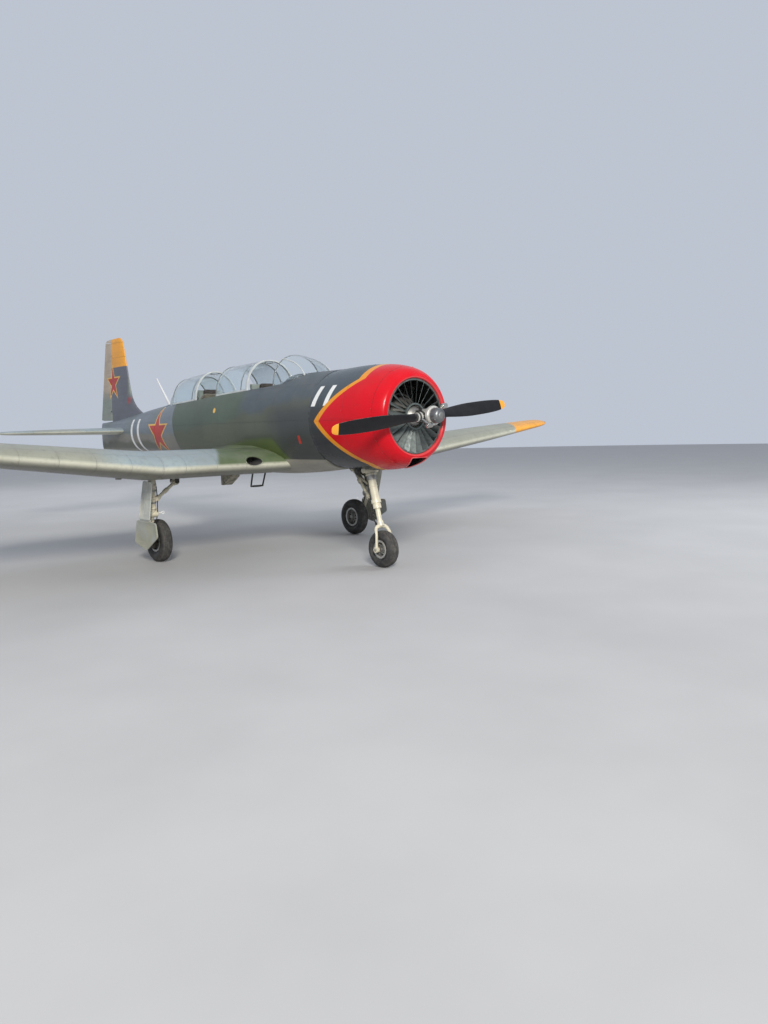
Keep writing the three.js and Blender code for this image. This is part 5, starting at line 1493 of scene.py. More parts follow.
# %% Fin and rudder
FIN = [
    # height, leading edge, trailing edge of fin and rudder together, thickness share
    (1.690, 6.250, 8.222, 0.050),
    (1.800, 6.440, 8.196, 0.056),
    (1.880, 6.620, 8.176, 0.066),
    (1.950, 6.750, 8.157, 0.078),
    (2.120, 6.900, 8.100, 0.088),
    (2.650, 7.040, 7.960, 0.088),
    (2.980, 7.120, 7.885, 0.085),
    (3.060, 7.165, 7.850, 0.080),
    (3.100, 7.240, 7.790, 0.060),
]
RUDDER = {"foot": (0, 7.733, 1.700), "head": (0, 7.583, 3.030), "nose": (0.040, 0.021), "chord": (0.490, 0.268)}
rudder_at = hinged(
    RUDDER["foot"], RUDDER["head"], (0, 1, 0), RUDDER["nose"], RUDDER["chord"],
    room=(0.3, RUN_GAP), knuckles=(0.14, 0.84), ribs=8, sag=0.0022,
)
fin_places = np.r_[stations(1.69, 2.98, 0.05), [3.01, 3.035, 3.06, 3.075, 3.088, 3.096, 3.10]]
fin = mesh_object("fin_skin", skin([tail_row(z, *through(FIN, z)[0], upright=True) for z in fin_places]))
carve(fin, rudder_at["slot"], smooth=30)
finish_piece(fin, "airframe", FIN_PAINT, ["fin"])
rudder = mesh_object("rudder_fabric", rudder_at["surface"])
carve(rudder, *rudder_at["notches"], block((-0.2, 7.4, 1.5), (0.2, 8.4, 1.738)))
finish_piece(rudder, "rudder", RUDDER_FABRIC, ["rudder"])
piece("rudder_lugs", rudder_at["lugs"], "airframe", CAST_METAL)
print("the tail is on")

# %% [markdown]
# ## The cowling
# The cowling is spun: one profile turned about the thrust line gives the smooth nose, the rolled lip and the
# inside at once. A smooth curve through the few profile points replaces the facets of the measured model.
# Cowl panels meet at flush joints with quarter-turn fasteners, so those sit on top as small discs.

# %% The cowling, its chin inlet and its fasteners
COWL_BACK = 1.2494
COWL_LIP = [(0.380, 0.164), (0.386, 0.146), (0.404, 0.140)]
COWL_OUTSIDE = [
    COWL_LIP[-1], (0.446, 0.162), (0.492, 0.235), (0.532, 0.390), (0.551, 0.600), (0.556, 0.850), (0.542, COWL_BACK),
]
COWL_INSIDE = [(0.526, COWL_BACK), (0.540, 0.850), (0.516, 0.400), (0.452, 0.222), (0.388, 0.200), COWL_LIP[0]]
CHIN = [(-0.085, 1.190), (0.165, 1.190), (0.140, 1.118), (0.070, 1.078), (0.010, 1.078), (-0.060, 1.118)]
THRUST = (0, 0, THRUST_Z)


def cowl_radius(y):
    return float(through([(along, radius) for radius, along in COWL_OUTSIDE], y)[0][0])


outside, inside = smooth_profile(COWL_OUTSIDE, 46), smooth_profile(COWL_INSIDE, 26)
lip = smooth_profile(COWL_LIP, 7)[1:-1]
cowl = mesh_object("cowling_skin", ring_body(outside + inside + lip, THRUST, "Y", 144))
chin_line = rounded(CHIN, 0.03, 6)
carve(cowl, plate(chin_line, -0.2, 0.56, "Y"), smooth=34)
COWL_INNER = finish("cowling inside", (0.10, 0.11, 0.10), (0.05, 0.052, 0.048), 0.55, 0.2)
finish_piece(cowl, "airframe", [COWL_PAINT, COWL_INNER], ["cowling"])


def in_cowl(x, y, z, way):
    reach = math.hypot(x, z - THRUST_Z)
    return y > 0.205 and reach < cowl_radius(y) - 0.006


face_material(cowl, 1, in_cowl)
rim_path = []
for x, z in chin_line + chin_line[:1]:
    reach = math.hypot(x, z - THRUST_Z)
    low_y, high_y = 0.14, 0.85
    for _ in range(30):
        middle_y = (low_y + high_y) / 2
        low_y, high_y = (middle_y, high_y) if cowl_radius(middle_y) < reach else (low_y, middle_y)
    rim_path.append((x, max(low_y, 0.142), z))
piece("chin_inlet_lip", tube(rim_path, 0.006, 8), "airframe", LIP_HIGHLIGHT_PAINT)
mesh_rows = [block((-0.08, 0.43, 1.085 + k * 0.012), (0.16, 0.434, 1.0865 + k * 0.012)) for k in range(9)]
mesh_rows += [block((-0.08 + k * 0.012, 0.434, 1.08), (-0.0785 + k * 0.012, 0.438, 1.19)) for k in range(20)]
piece("chin_inlet_mesh", together(*mesh_rows), "airframe", CAST_METAL)
studs = []
for y, count in ((0.275, 20), (0.68, 24), (1.20, 28)):
    for k in range(count):
        turn = (k + 0.5) / count * FULL
        way = Vector((math.cos(turn), 0, math.sin(turn)))
        if way.z < -0.93 and y < 0.7:
            continue
        studs.append(turned([(0.0, 0.003), (0.006, 0.0028), (0.009, 0.001), (0.009, -0.003)],
                            Vector((0, y, THRUST_Z)) + way * cowl_radius(y), way, 10))
piece("cowling_fasteners", together(*studs), "airframe", COWL_PAINT)
print("the cowling has", len(studs), "fasteners")

# %% [markdown]
# ## The radial engine
# Nine cylinders stand round a crankcase. What one sees between the shutter vanes is fins, so each cylinder is
# a stack of thin discs with a finned head, rocker boxes and push rods, made once and turned nine times.

# %% One cylinder, then nine of them on the crankcase
CYLINDERS, CYLINDER_Y = 9, 0.560


def one_cylinder():
    """A cylinder that points along +Z from the thrust line."""
    shapes = [turned([(0.062, 0.18), (0.062, 0.30), (0.058, 0.31), (0.058, 0.40), (0.05, 0.42)], (0, 0, 0), "Z", 20)]
    for k in range(11):
        z = 0.215 + k * 0.011
        shapes.append(turned([(0.05, z), (0.077, z), (0.077, z + 0.003), (0.05, z + 0.003)], (0, 0, 0), "Z", 24))
    for k in range(9):
        z = 0.345 + k * 0.013
        wide = 0.080 - 0.0032 * max(0, k - 4)
        shapes.append(turned([(0.04, z), (wide, z), (wide, z + 0.003), (0.04, z + 0.003)], (0, 0, 0), "Z", 24))
    for side in (-1, 1):
        box_low, box_high = sorted((side * 0.018, side * 0.062))
        shapes.append(block((box_low, -0.055, 0.425), (box_high, 0.055, 0.482)))
        shapes.append(bar((side * 0.045, -0.075, 0.185), (side * 0.042, -0.052, 0.43), 0.009, sides=10))
        shapes.append(bar((side * 0.045, -0.075, 0.185), (side * 0.045, -0.075, 0.215), 0.015, sides=12))
    shapes.append(turned([(0.012, 0.0), (0.012, 0.03), (0.007, 0.04)], (0, -0.085, 0.40), (0, -1, 0.2), 10))
    return together(*shapes)


def about_thrust(shape, turn):
    """Turns a shape, made upright on the thrust line, about that line."""
    spin = np.array(Matrix.Rotation(turn, 3, "Y"))
    return np.asarray(shape[0]) @ spin.T + (0, 0, THRUST_Z), shape[1]


cylinder = moved(one_cylinder(), (0, CYLINDER_Y, 0))
all_nine = together(*[about_thrust(cylinder, k * FULL / CYLINDERS) for k in range(CYLINDERS)])
piece("cylinders", all_nine, "airframe", ENGINE_BLACK, ["engine"], smooth=30)
nose_case = [(0.0, 0.063), (0.046, 0.063), (0.046, 0.13), (0.075, 0.15), (0.105, 0.19), (0.150, 0.26), (0.176, 0.31)]
middle_case = [(0.190, 0.33), (0.196, 0.36), (0.190, 0.39), (0.205, 0.42), (0.212, 0.70)]
case = nose_case + middle_case + [(0.300, 0.82), (0.300, 0.90), (0.18, 1.24), (0.0, 1.24)]
case_parts = [turned(case, THRUST, "Y", 60)]
bolt = turned([(0.0, -0.012), (0.009, -0.012), (0.009, 0.01), (0.0, 0.01)], (0, 0.355, 0.186), "Y", 6)
lead = tube(spline([(0, 0.40, 0.235), (0.01, 0.44, 0.29), (0.005, 0.465, 0.40)], 10), 0.005, 8)
case_parts += [about_thrust(bolt, (k + 0.5) * FULL / 18) for k in range(18)]
case_parts += [about_thrust(lead, k * FULL / CYLINDERS + 0.1) for k in range(CYLINDERS)]
case_parts.append(ring_body([(0.228, 0.392), (0.240, 0.392), (0.240, 0.408), (0.228, 0.408)], THRUST, "Y", 60))
piece("crankcase", together(*case_parts), "airframe", CAST_METAL, smooth=30)

# %% [markdown]
# In front of the cylinders stands a ring of shutter vanes, like a camera's iris. All lean alike, so from the
# photograph's side the upper ones show a thin bright edge and the lower ones their full grey width.

# %% The cooling shutters
SHUTTER = {"vanes": 24, "y": 0.176, "inner": 0.126, "outer": 0.368, "lean": -48}


def shutter_vane(turn):
    """One vane, thickest along its middle, between a pin on the inner hoop and a pin on the outer one."""
    lean, edge = math.radians(SHUTTER["lean"]), 0.0006
    rows = []
    for radius, wide in ((SHUTTER["inner"], 0.016), (0.25, 0.0303), (SHUTTER["outer"], 0.044)):
        row = []
        for a, b in ((-wide, -edge), (-wide * 0.1, -0.0016), (wide, -edge), (wide, edge), (0, 0.0012), (-wide, edge)):
            across = a * math.cos(lean) - b * math.sin(lean)
            deep = a * math.sin(lean) + b * math.cos(lean)
            x = radius * math.cos(turn) - across * math.sin(turn)
            row.append((x, SHUTTER["y"] + deep, THRUST_Z + radius * math.sin(turn) + across * math.cos(turn)))
        rows.append(row)
    middle, way = Vector((0, SHUTTER["y"], THRUST_Z)), Vector((math.cos(turn), 0, math.sin(turn)))
    pins = [bar(middle + way * a, middle + way * b, 0.003, sides=8) for a, b in ((0.118, 0.130), (0.362, 0.374))]
    return together(skin(rows), *pins)


vanes = [shutter_vane((k + 0.5) / SHUTTER["vanes"] * FULL) for k in range(SHUTTER["vanes"])]
hoops = [ring_body(rounded([(a, c), (b, c), (b, d), (a, d)], 0.003, 3), THRUST, "Y", 96)
         for a, b, c, d in ((0.360, 0.3778, 0.160, 0.182), (0.116, 0.134, 0.158, 0.186))]
piece("cooling_shutter_vanes", together(*vanes, *hoops), "airframe", SHUTTER_METAL,
      ["cooling_shutters"], smooth=30)
print("the engine and its shutters are in")

# %% [markdown]
# ## The propeller
# A blade is a section that widens, thins and untwists towards its tip. The hub is a stack of turned parts: the
# pitch cylinder with its domed cap, the clamp ring, the barrel, and two bright counterweights on arms.

# %% Blades
BLADE = [
    # distance from the axis, chord, thickness, twist in degrees from the plane of turning
    (0.150, 0.084, 0.076, 44),
    (0.240, 0.096, 0.062, 40),
    (0.400, 0.130, 0.036, 33),
    (0.620, 0.150, 0.024, 26),
    (0.860, 0.144, 0.017, 20),
    (1.050, 0.124, 0.012, 16),
    (1.150, 0.096, 0.009, 14),
    (1.190, 0.064, 0.007, 14),
    (1.200, 0.036, 0.005, 14),
]
BLADE_POINTS = 28
PROP_TURN = math.radians(5.7)
prop_spin = np.array(Matrix.Rotation(-PROP_TURN, 3, "Y"))


def on_propeller(shape):
    """Stands a shape made about the propeller's own axis as the propeller stands."""
    return np.asarray(shape[0]) @ prop_spin.T + (0, 0, THRUST_Z), shape[1]


def blade(side):
    """A round shank that turns into a section with a blunt leading and a thin trailing edge."""
    rows = []
    for radius in np.r_[stations(0.150, 1.15, 0.04), [1.165, 1.18, 1.19, 1.196, 1.2]]:
        chord, thick, twist = through(BLADE, radius)[0]
        lean = math.radians(twist) * side
        flat = np.clip((radius - 0.18) / 0.25, 0, 1)
        turn = np.linspace(0, FULL, BLADE_POINTS, endpoint=False)
        a = chord / 2 * np.cos(turn)
        point = 1 - 0.55 * flat * np.clip(-np.cos(turn), 0, 1) ** 2
        b = thick / 2 * np.sin(turn) * point
        y, z = a * math.sin(lean) + b * math.cos(lean), a * math.cos(lean) - b * math.sin(lean)
        rows.append(np.column_stack([np.full(BLADE_POINTS, side * radius), y, z]))
    return skin(rows)


for name, side in SIDES:
    stands_for = [f"propeller_blade_{name}"]
    piece(f"blade_{name}", on_propeller(blade(side)), "propeller", PROP_PAINT, stands_for)

# %% Hub, counterweights and clamps
AXIS = (0, 0, 0)
WEIGHT = {"inner": 0.080, "outer": 0.145, "arm": 0.112, "y": -0.135, "z": 0.082, "radius": 0.026, "arm radius": 0.015}
clamp_ring = rounded([(0.066, -0.062), (0.096, -0.070), (0.096, -0.104), (0.078, -0.112), (0.066, -0.112)], 0.005, 4)
barrel = [(0.058, 0.0612), (0.066, 0.05), (0.070, 0.040), (0.070, -0.066)]
hub_parts = [turned(barrel, AXIS, "Y", 56), ring_body(clamp_ring, AXIS, "Y", 64)]
dome_line = [(0.0, -0.205), (0.034, -0.204), (0.062, -0.192), (0.074, -0.168), (0.077, -0.120), (0.077, -0.100)]
dome = rounded(dome_line + [(0.0, -0.100)], 0.016, 5)
ring_bolts = []
for k in range(12):
    turn = k * FULL / 12
    spot = (0.0875 * math.cos(turn), -0.104, 0.0875 * math.sin(turn))
    ring_bolts.append(turned([(0.0, -0.007), (0.0045, -0.007), (0.0045, 0.002)], spot, "Y", 6))
weights, clamps = [], []
long = WEIGHT["outer"] - WEIGHT["inner"]
slug = rounded([(0.0, 0.0), (WEIGHT["radius"], 0.0), (WEIGHT["radius"], long), (0.0, long)], 0.004, 4)
socket = [(0.055, 0.04), (0.052, 0.06), (0.049, 0.11), (0.046, 0.1496)]
for side in (1, -1):
    near, arm = (Vector((side * WEIGHT[key], WEIGHT["y"], side * WEIGHT["z"])) for key in ("inner", "arm"))
    weights.append(bar(Vector((arm.x, -0.010, 0)), arm, WEIGHT["arm radius"]))
    weights.append(turned(slug, near, (side, 0, 0), 32))
    hub_parts.append(turned(socket, AXIS, (side, 0, 0), 40))
    for x0, x1, radius in ((0.070, 0.094, 0.060), (0.118, 0.136, 0.055)):
        line = rounded([(0.044, x0), (radius, x0), (radius, x1), (0.044, x1)], 0.003, 3)
        clamps.append(ring_body(line, AXIS, (side, 0, 0), 40))
        ends = [(side * (x0 + x1) / 2, y, radius + 0.006) for y in (-0.02, 0.02)]
        clamps.append(bar(*ends, 0.006, sides=8))
hub = on_propeller(together(*hub_parts, *ring_bolts))
piece("hub_barrel", hub, "propeller", HUB_METAL, ["propeller_hub"], smooth=35)
piece("pitch_dome", on_propeller(turned(dome, AXIS, "Y", 64)), "propeller", DOME_METAL, smooth=50)
cap = turned(rounded([(0.0, -0.2062), (0.030, -0.2058), (0.036, -0.200), (0.0, -0.198)], 0.002, 3), AXIS, "Y", 40)
piece("dome_cap", on_propeller(cap), "propeller", CAST_METAL)
piece("counterweights", on_propeller(together(*weights)), "propeller", BRIGHT_STEEL, edge=0.0006)
piece("blade_clamps", on_propeller(together(*clamps)), "propeller", DARK_STEEL, smooth=35)
print("the propeller is on")

# %% [markdown]
# ## The canopy
# Five blown glasses: a bubble windscreen, two sliding hoods and the fixed stretches between and behind them.
# Each is a thin shell made from two readings of one table, outside and inside. A hood has a stout pale bow at
# its front edge. The fixed glass that it slides over is the hood's own rear section, a little smaller and
# carried along the rail, so there is room for it everywhere.

# %% Sections of the canopy, and shells between them
CANOPY = [
    # station, half width, foot, crown
    (1.655, 0.060, 2.060, 2.150),
    (1.720, 0.175, 2.050, 2.212),
    (1.850, 0.270, 2.030, 2.292),
    (2.020, 0.335, 2.010, 2.350),
    (2.186, 0.355, 1.990, 2.384),
    (2.750, 0.352, 1.965, 2.372),
    (3.600, 0.338, 1.930, 2.346),
    (4.330, 0.318, 1.895, 2.312),
    (4.870, 0.292, 1.870, 2.268),
    (5.090, 0.245, 1.860, 2.180),
    (5.240, 0.180, 1.855, 2.070),
    (5.345, 0.090, 1.850, 1.945),
]
SHEET = 0.005
HOODS = {"front": (2.750, 3.545), "rear": (4.110, 4.870)}
BOW = {"front": 0.038, "back": 0.016, "proud": 0.004, "deep": 0.008}
CARRIED = 0.025
ARCH_POWER, ARCH_FOOT = 0.92, 0.06


def arch(y, inset=0.0, count=49):
    half, foot, crown = through(CANOPY, y)[0]
    turn = np.linspace(0, math.pi, count)
    across = np.sign(np.cos(turn)) * np.abs(np.cos(turn)) ** ARCH_POWER * (half - inset)
    up = foot + (crown - foot - inset) * np.clip(np.sin(turn), 0, 1) ** ARCH_POWER
    row = np.column_stack([across, np.full(count, y), up])
    first, last = ((x, y, foot - ARCH_FOOT) for x in (half - inset, inset - half))
    return np.vstack([first, row, last])


def carried_arch(start, end, inset):
    return arch(start, inset) + (0, end - start, (start - end) * RAIL_SLOPE)


def shell(outer, inner):
    """A sheet between two strips of rows, closed along both feet and both ends."""
    rows = [np.vstack([a, b[::-1]]) for a, b in zip(outer, inner)]
    return skin(rows)


def below_sill(start, end, lift=SEAT_GAP):
    """A thick slab whose top follows the sill line."""
    return plate([(start, 1.6), (end, 1.6), (end, sill_z(end) + lift), (start, sill_z(start) + lift)], -0.8, 0.8)


def seated(obj):
    """Trims a glass or its frame to stand on the sill line."""
    return carve(obj, below_sill(1.0, 5.6))


def hoop(rows):
    """An arch of solid section, from the arches along its edges."""
    return skin(np.array(rows).transpose(1, 0, 2))


def bow(y0, y1, proud, deep):
    """An arch of rounded section that stands a little proud of the glass."""
    chamfer, shoulder = 0.003, -proud * 0.4
    lines = [(y0, shoulder), (y0 + chamfer, -proud), (y1 - chamfer, -proud), (y1, shoulder), (y1, deep), (y0, deep)]
    return hoop([arch(y, inset) for y, inset in lines])


RUNNER = {"low": 0.0006, "high": 0.022, "proud": 0.0015, "deep": 0.009}
for name, (y0, y1) in HOODS.items():
    places = stations(y0 + 0.004, y1 - 0.004, 0.06)
    sheet = shell([arch(y) for y in places], [arch(y, SHEET) for y in places])
    glass = seated(mesh_object(f"hood_{name}_glass", sheet))
    finish_piece(glass, f"{name}_hood", CANOPY_GLASS, [f"hood_{name}"])
    front_bow, back_frame = (y0, y0 + BOW["front"]), (y1 - BOW["back"], y1)
    for part, ends, paint in (("bow", front_bow, FRAME_GREY), ("back_frame", back_frame, GLASS_EDGE)):
        frame_piece = seated(mesh_object(f"hood_{name}_{part}", bow(*ends, BOW["proud"], BOW["deep"] + SHEET)))
        finish_piece(frame_piece, f"{name}_hood", paint)
    runners = []
    for side in (1, -1):
        rows = []
        for y in stations(y0 + 0.01, y1 - 0.01, 0.08):
            half, z = through(CANOPY, y)[0][0], sill_z(y)
            outer, inner = side * (half + RUNNER["proud"]), side * (half - RUNNER["deep"])
            low, high = z + RUNNER["low"], z + RUNNER["high"]
            rows.append([(outer, y, low), (inner, y, low), (inner, y, high), (outer, y, high)])
        runners.append(skin(rows))
    grip = [(-0.05, y0 + 0.02, 0), (-0.05, y0 + 0.055, -0.012), (0.05, y0 + 0.055, -0.012), (0.05, y0 + 0.02, 0)]
    crown = through(CANOPY, y0)[0][2] - 0.022
    runners.append(moved(tube(spline(grip, 16), 0.005, 10), (0, 0, crown)))
    piece(f"hood_{name}_runners", together(*runners), f"{name}_hood", FRAME_GREY)

# %% Fixed glasses: windscreen, middle and tail
screen_places = np.r_[[1.655, 1.668, 1.685, 1.705], stations(1.73, 2.186, 0.045)]
screen = shell([arch(y) for y in screen_places], [arch(max(y, 1.668), SHEET) for y in screen_places])
deck_tool = skin([oval(y, -SEAT_GAP) for y in stations(1.30, 2.5, 0.05)])
glass = mesh_object("windscreen_glass", screen)
carve(glass, deck_tool, below_sill(1.9, 2.3, 0.0))
finish_piece(glass, "airframe", CANOPY_GLASS, ["windscreen"])
rim = carve(mesh_object("windscreen_frame", bow(2.170, 2.186, 0.002, 0.010)), deck_tool)
finish_piece(rim, "airframe", GLASS_EDGE)
inner = SHEET + CARRIED
middle_rows = [(carried_arch(3.6, y, CARRIED), carried_arch(3.6, y, inner)) for y in stations(2.96, 3.6, 0.08)]
glass = seated(mesh_object("middle_glass", shell(*zip(*middle_rows))))
finish_piece(glass, "airframe", CANOPY_GLASS, ["canopy_middle"])
tail_rows = [(carried_arch(4.87, y, CARRIED), carried_arch(4.87, y, inner)) for y in stations(4.33, 4.79, 0.08)]
tail_rows += [(arch(y, CARRIED), arch(y, inner)) for y in np.r_[stations(4.87, 5.32, 0.045), 5.335]]
tail_glass = mesh_object("tail_glass", shell(*zip(*tail_rows)))
carve(tail_glass, below_sill(4.0, 5.35))
finish_piece(tail_glass, "airframe", CANOPY_GLASS, ["canopy_tail"])
strip_edges = ((0, -0.002), (0.012, -0.002), (0.012, 0.008), (0, 0.008))
for name, start, y in (("middle", 3.6, 2.96), ("rear", 4.87, 4.33)):
    rows = [carried_arch(start, y + along, CARRIED + deep) for along, deep in strip_edges]
    strip = seated(mesh_object(f"{name}_glass_frame", hoop(rows)))
    finish_piece(strip, "airframe", GLASS_EDGE)

# %% A pale bead round the windscreen's foot, and the rails of the hoods
bead = []
for y in screen_places:
    half = through(CANOPY, y)[0][0]
    low, high = 0.2, half
    for _ in range(24):
        x = (low + high) / 2
        across, _, up = arch(y, 0, 201)[1:-1].T
        z = float(np.interp(x, across[:101][::-1], up[:101][::-1]))
        low, high = (x, high) if side_at(y, z) > x and z > 2.0 else (low, x)
    bead.append((low + 0.002, y, z + 0.001))
deck_path = [p for p in bead if p[1] > 1.66]
piece("windscreen_bead", both_sides(tube(deck_path, 0.008, 10)), "airframe", FRAME_GREY)
rail_section = ((0, -0.03), (-0.026, -0.03), (-0.026, -0.004), (-0.022, -0.0008), (-0.004, -0.0008), (0, -0.004))
rails = []
for y0, y1 in ((2.20, 2.94), (3.61, 4.32)):
    rows = []
    for y in stations(y0, y1, 0.08):
        x, z = side_at(y, sill_z(y)) - 0.028, sill_z(y)
        rows.append([(x + inward, y, z + drop) for inward, drop in rail_section])
    rails.append(skin(rows))
piece("hood_rails", both_sides(together(*rails)), "airframe", FRAME_GREY, smooth=50)
print("the canopy is on")

# %% [markdown]
# ## Both cockpits
# Two cockpits of one pattern, so one function furnishes each: a bucket seat with cushions and harness, a
# crackle-black panel of dials, a stick with a grip, side consoles and a lever quadrant. The dials carry only
# plain tick marks. The cushions are soft, so they are crowned closed forms.

# %% Cushions
CUSHION_STEPS, WEBBING_THICK = 26, 0.003


def cushion(size, crown, seams=3):
    """A crowned pad about the origin: width, depth and thickness, with sewn channels across its top."""
    wide, deep, thick = size
    rows = []
    for v in np.linspace(-1, 1, CUSHION_STEPS):
        row = []
        for turn in np.linspace(0, FULL, 4 * CUSHION_STEPS, endpoint=False):
            a, b = math.cos(turn), math.sin(turn)
            reach = 1 / max(abs(a) ** 5 + abs(b) ** 5, 1e-9) ** 0.2
            shrink = (1 - abs(v) ** 6) ** (1 / 6)
            pull = 1 - 0.035 * (1 - abs(v)) * math.cos(2 * turn) ** 2
            row.append((wide / 2 * a * reach * shrink * pull, deep / 2 * b * reach * shrink * pull, v))
        rows.append(row)
    rows = np.array(rows)
    x, y, v = rows[..., 0], rows[..., 1], rows[..., 2]
    dome = (1 - (2 * x / wide) ** 2).clip(0, 1) * (1 - (2 * y / deep) ** 2).clip(0, 1)
    channel = sum(np.exp(-(((y / deep + 0.5) * (seams + 1) - k) / 0.09) ** 2) for k in range(1, seams + 1))
    rows[..., 2] = v * thick / 2 + np.where(v > 0, crown * dome * v - 0.007 * channel * v * dome.clip(0.25, 1), 0)
    return skin(rows)


def laid(shape, lean, at):
    """Leans a shape about X, in degrees, and sets it down."""
    spin = np.array(Matrix.Rotation(math.radians(lean), 3, "X"))
    return np.asarray(shape[0]) @ spin.T + at, shape[1]


def strap(path, wide, way=(1, 0, 0)):
    """Flat webbing along a path; way points across it."""
    path, way = np.asarray(path, float), np.array(way, float)
    ahead = np.gradient(path, axis=0)
    ahead /= np.linalg.norm(ahead, axis=1)[:, None]
    rows = []
    for point, go in zip(path, ahead):
        across = way - go * way.dot(go)
        across /= np.linalg.norm(across)
        up = np.cross(across, go) * WEBBING_THICK / 2
        one, other = point + across * wide / 2, point - across * wide / 2
        rows.append([one + up, other + up, other - up, one - up])
    return skin(rows)


# %% Instruments
TICKS, DIAL_SWEEP = 12, 270


def dial(x, z, y, radius):
    """One dial: bezel, sunk face, tick marks, a needle and its glass."""
    at = np.array([x, y, z])
    rim = [(0.84, 0.004), (0.88, -0.006), (1.0, -0.005), (1.04, 0.0), (1.04, 0.004)]
    bezel = ring_body([(radius * share, along) for share, along in rim], at, "Y", 28)
    face = turned([(0.0, 0.001), (radius * 0.9, 0.001), (radius * 0.9, 0.003), (0.0, 0.003)], at, "Y", 24)
    marks = []
    for k in range(TICKS):
        turn = math.radians(k * DIAL_SWEEP / (TICKS - 1) - DIAL_SWEEP / 2)
        way = np.array([math.sin(turn), 0, math.cos(turn)])
        inner = radius * (0.62 if k % 3 == 0 else 0.70)
        marks.append(bar(at + way * inner, at + way * radius * 0.8, 0.0009, sides=4))
    # Each needle rests at an angle of its own, read off its place on the board.
    lean = math.radians(37 * (1 + round(x * 40)) % DIAL_SWEEP - DIAL_SWEEP / 2)
    way = np.array([math.sin(lean), 0, math.cos(lean)])
    marks.append(bar(at - way * radius * 0.15, at + way * radius * 0.66, 0.0016, 0.0006, sides=6))
    glass = turned([(0.0, -0.003), (radius * 0.86, -0.0015)], at, "Y", 24)
    return bezel, face, together(*marks), glass


DIALS = [
    # across, height under the brow, radius
    (-0.225, 0.085, 0.032), (-0.225, 0.165, 0.032), (-0.135, 0.075, 0.040), (-0.135, 0.170, 0.040),
    (-0.040, 0.075, 0.042), (-0.040, 0.175, 0.042), (0.055, 0.075, 0.040), (0.055, 0.170, 0.040),
    (0.145, 0.070, 0.034), (0.145, 0.150, 0.034), (0.225, 0.085, 0.030), (0.225, 0.160, 0.030),
    (-0.090, 0.255, 0.028), (0.000, 0.262, 0.028), (0.090, 0.255, 0.028), (0.165, 0.225, 0.024),
]


# %% One cockpit, furnished twice
def room_row(y, low, high, inset):
    """The room's outline between two heights, as a closed row."""
    right = [(side_at(y, z) - inset, y, z) for z in np.linspace(low, high, 24)]
    return right + [(-x, y, z) for x, y, z in right[::-1]]


def furnish(name, seat_y, panel_y, thick):
    furnish_board(name, panel_y, thick)
    furnish_seat(name, seat_y)
    furnish_harness(name, seat_y)
    furnish_stick(name, seat_y - 0.56, FLOOR_Z + SEAT_GAP)
    furnish_sides(name, seat_y, panel_y + thick)


def furnish_board(name, panel_y, thick):
    """The instrument panel on its foot, its dials and the leather brow over them."""
    brow, board_face = sill_z(panel_y) - 0.012, panel_y + thick
    ends = ((panel_y, brow - 0.006), (board_face - 0.002, brow))
    rows = [room_row(y, 1.64, top, WALL + 0.002) for y, top in ends]
    foot = block((-0.06, panel_y, FLOOR_Z + SEAT_GAP), (0.06, panel_y + 0.06, 1.66))
    board = mesh_object(f"panel_{name}", together(skin(rows), foot))
    finish_piece(board, "airframe", CRACKLE_BLACK, [f"instrument_panel_{name}"])
    groups = {"bezels": [], "faces": [], "marks": [], "glasses": []}
    for x, drop, radius in DIALS:
        for group, (points, faces) in zip(groups.values(), dial(x, brow - drop, board_face, radius)):
            group.append(([(px, 2 * board_face - py, pz) for px, py, pz in points], faces))
    for (label, group), paint in zip(groups.items(), (CRACKLE_BLACK, DIAL_FACE, MARK_WHITE, DIAL_GLASS)):
        piece(f"dial_{label}_{name}", together(*group), "airframe", paint)
    hood_rows = []
    for y, drop in ((panel_y + 0.01, 0.0), (board_face + 0.05, 0.004), (board_face + 0.085, 0.022)):
        half = side_at(y, brow) - WALL - 0.006
        turn = np.linspace(0, math.pi, 26)
        up = [(half * math.cos(t), y, brow - 0.004 - drop + 0.055 * math.sin(t) ** 1.3) for t in turn]
        down = [(x * 0.985, y, z - 0.008) for x, y, z in up[::-1]]
        hood_rows.append(up + down)
    piece(f"coaming_{name}", skin(hood_rows), "airframe", LEATHER, smooth=50)


SEAT_PAN = [(-0.43, 1.545), (-0.43, 1.40), (0.05, 1.40), (0.128, 2.075), (0.088, 2.082), (0.02, 1.60), (-0.01, 1.550)]
SEAT_SIDE = [(-0.42, 1.55), (0.0, 1.55), (0.085, 2.03), (0.02, 1.98), (-0.10, 1.72), (-0.40, 1.63)]


def furnish_seat(name, seat_y):
    """The bucket, with its two raised sides, and the three pads in it."""
    pan, seat_side = ([(seat_y + aft, z) for aft, z in line] for line in (SEAT_PAN, SEAT_SIDE))
    bucket = [plate(rounded(pan, 0.02, 4), -0.208, 0.208)]
    for ends in ((0.196, 0.208), (-0.208, -0.196)):
        bucket.append(plate(rounded(seat_side, 0.03, 4), *ends))
    piece(f"seat_bucket_{name}", together(*bucket), "airframe", COCKPIT_GREEN, [f"seat_{name}"])
    pads = [("seat_cushion", laid(cushion((0.375, 0.385, 0.075), 0.022), -2, (0, seat_y - 0.215, 1.592))),
            ("back_cushion", laid(cushion((0.365, 0.40, 0.062), 0.018, 4), 98, (0, seat_y + 0.012, 1.830))),
            ("head_rest", laid(cushion((0.215, 0.105, 0.050), 0.014, 0), 98, (0, seat_y + 0.052, 2.036)))]
    for label, shape in pads:
        cover = LEATHER if label == "head_rest" else SEAT_CLOTH
        pad = piece(f"{label}_{name}", shape, "airframe", cover, smooth=60)


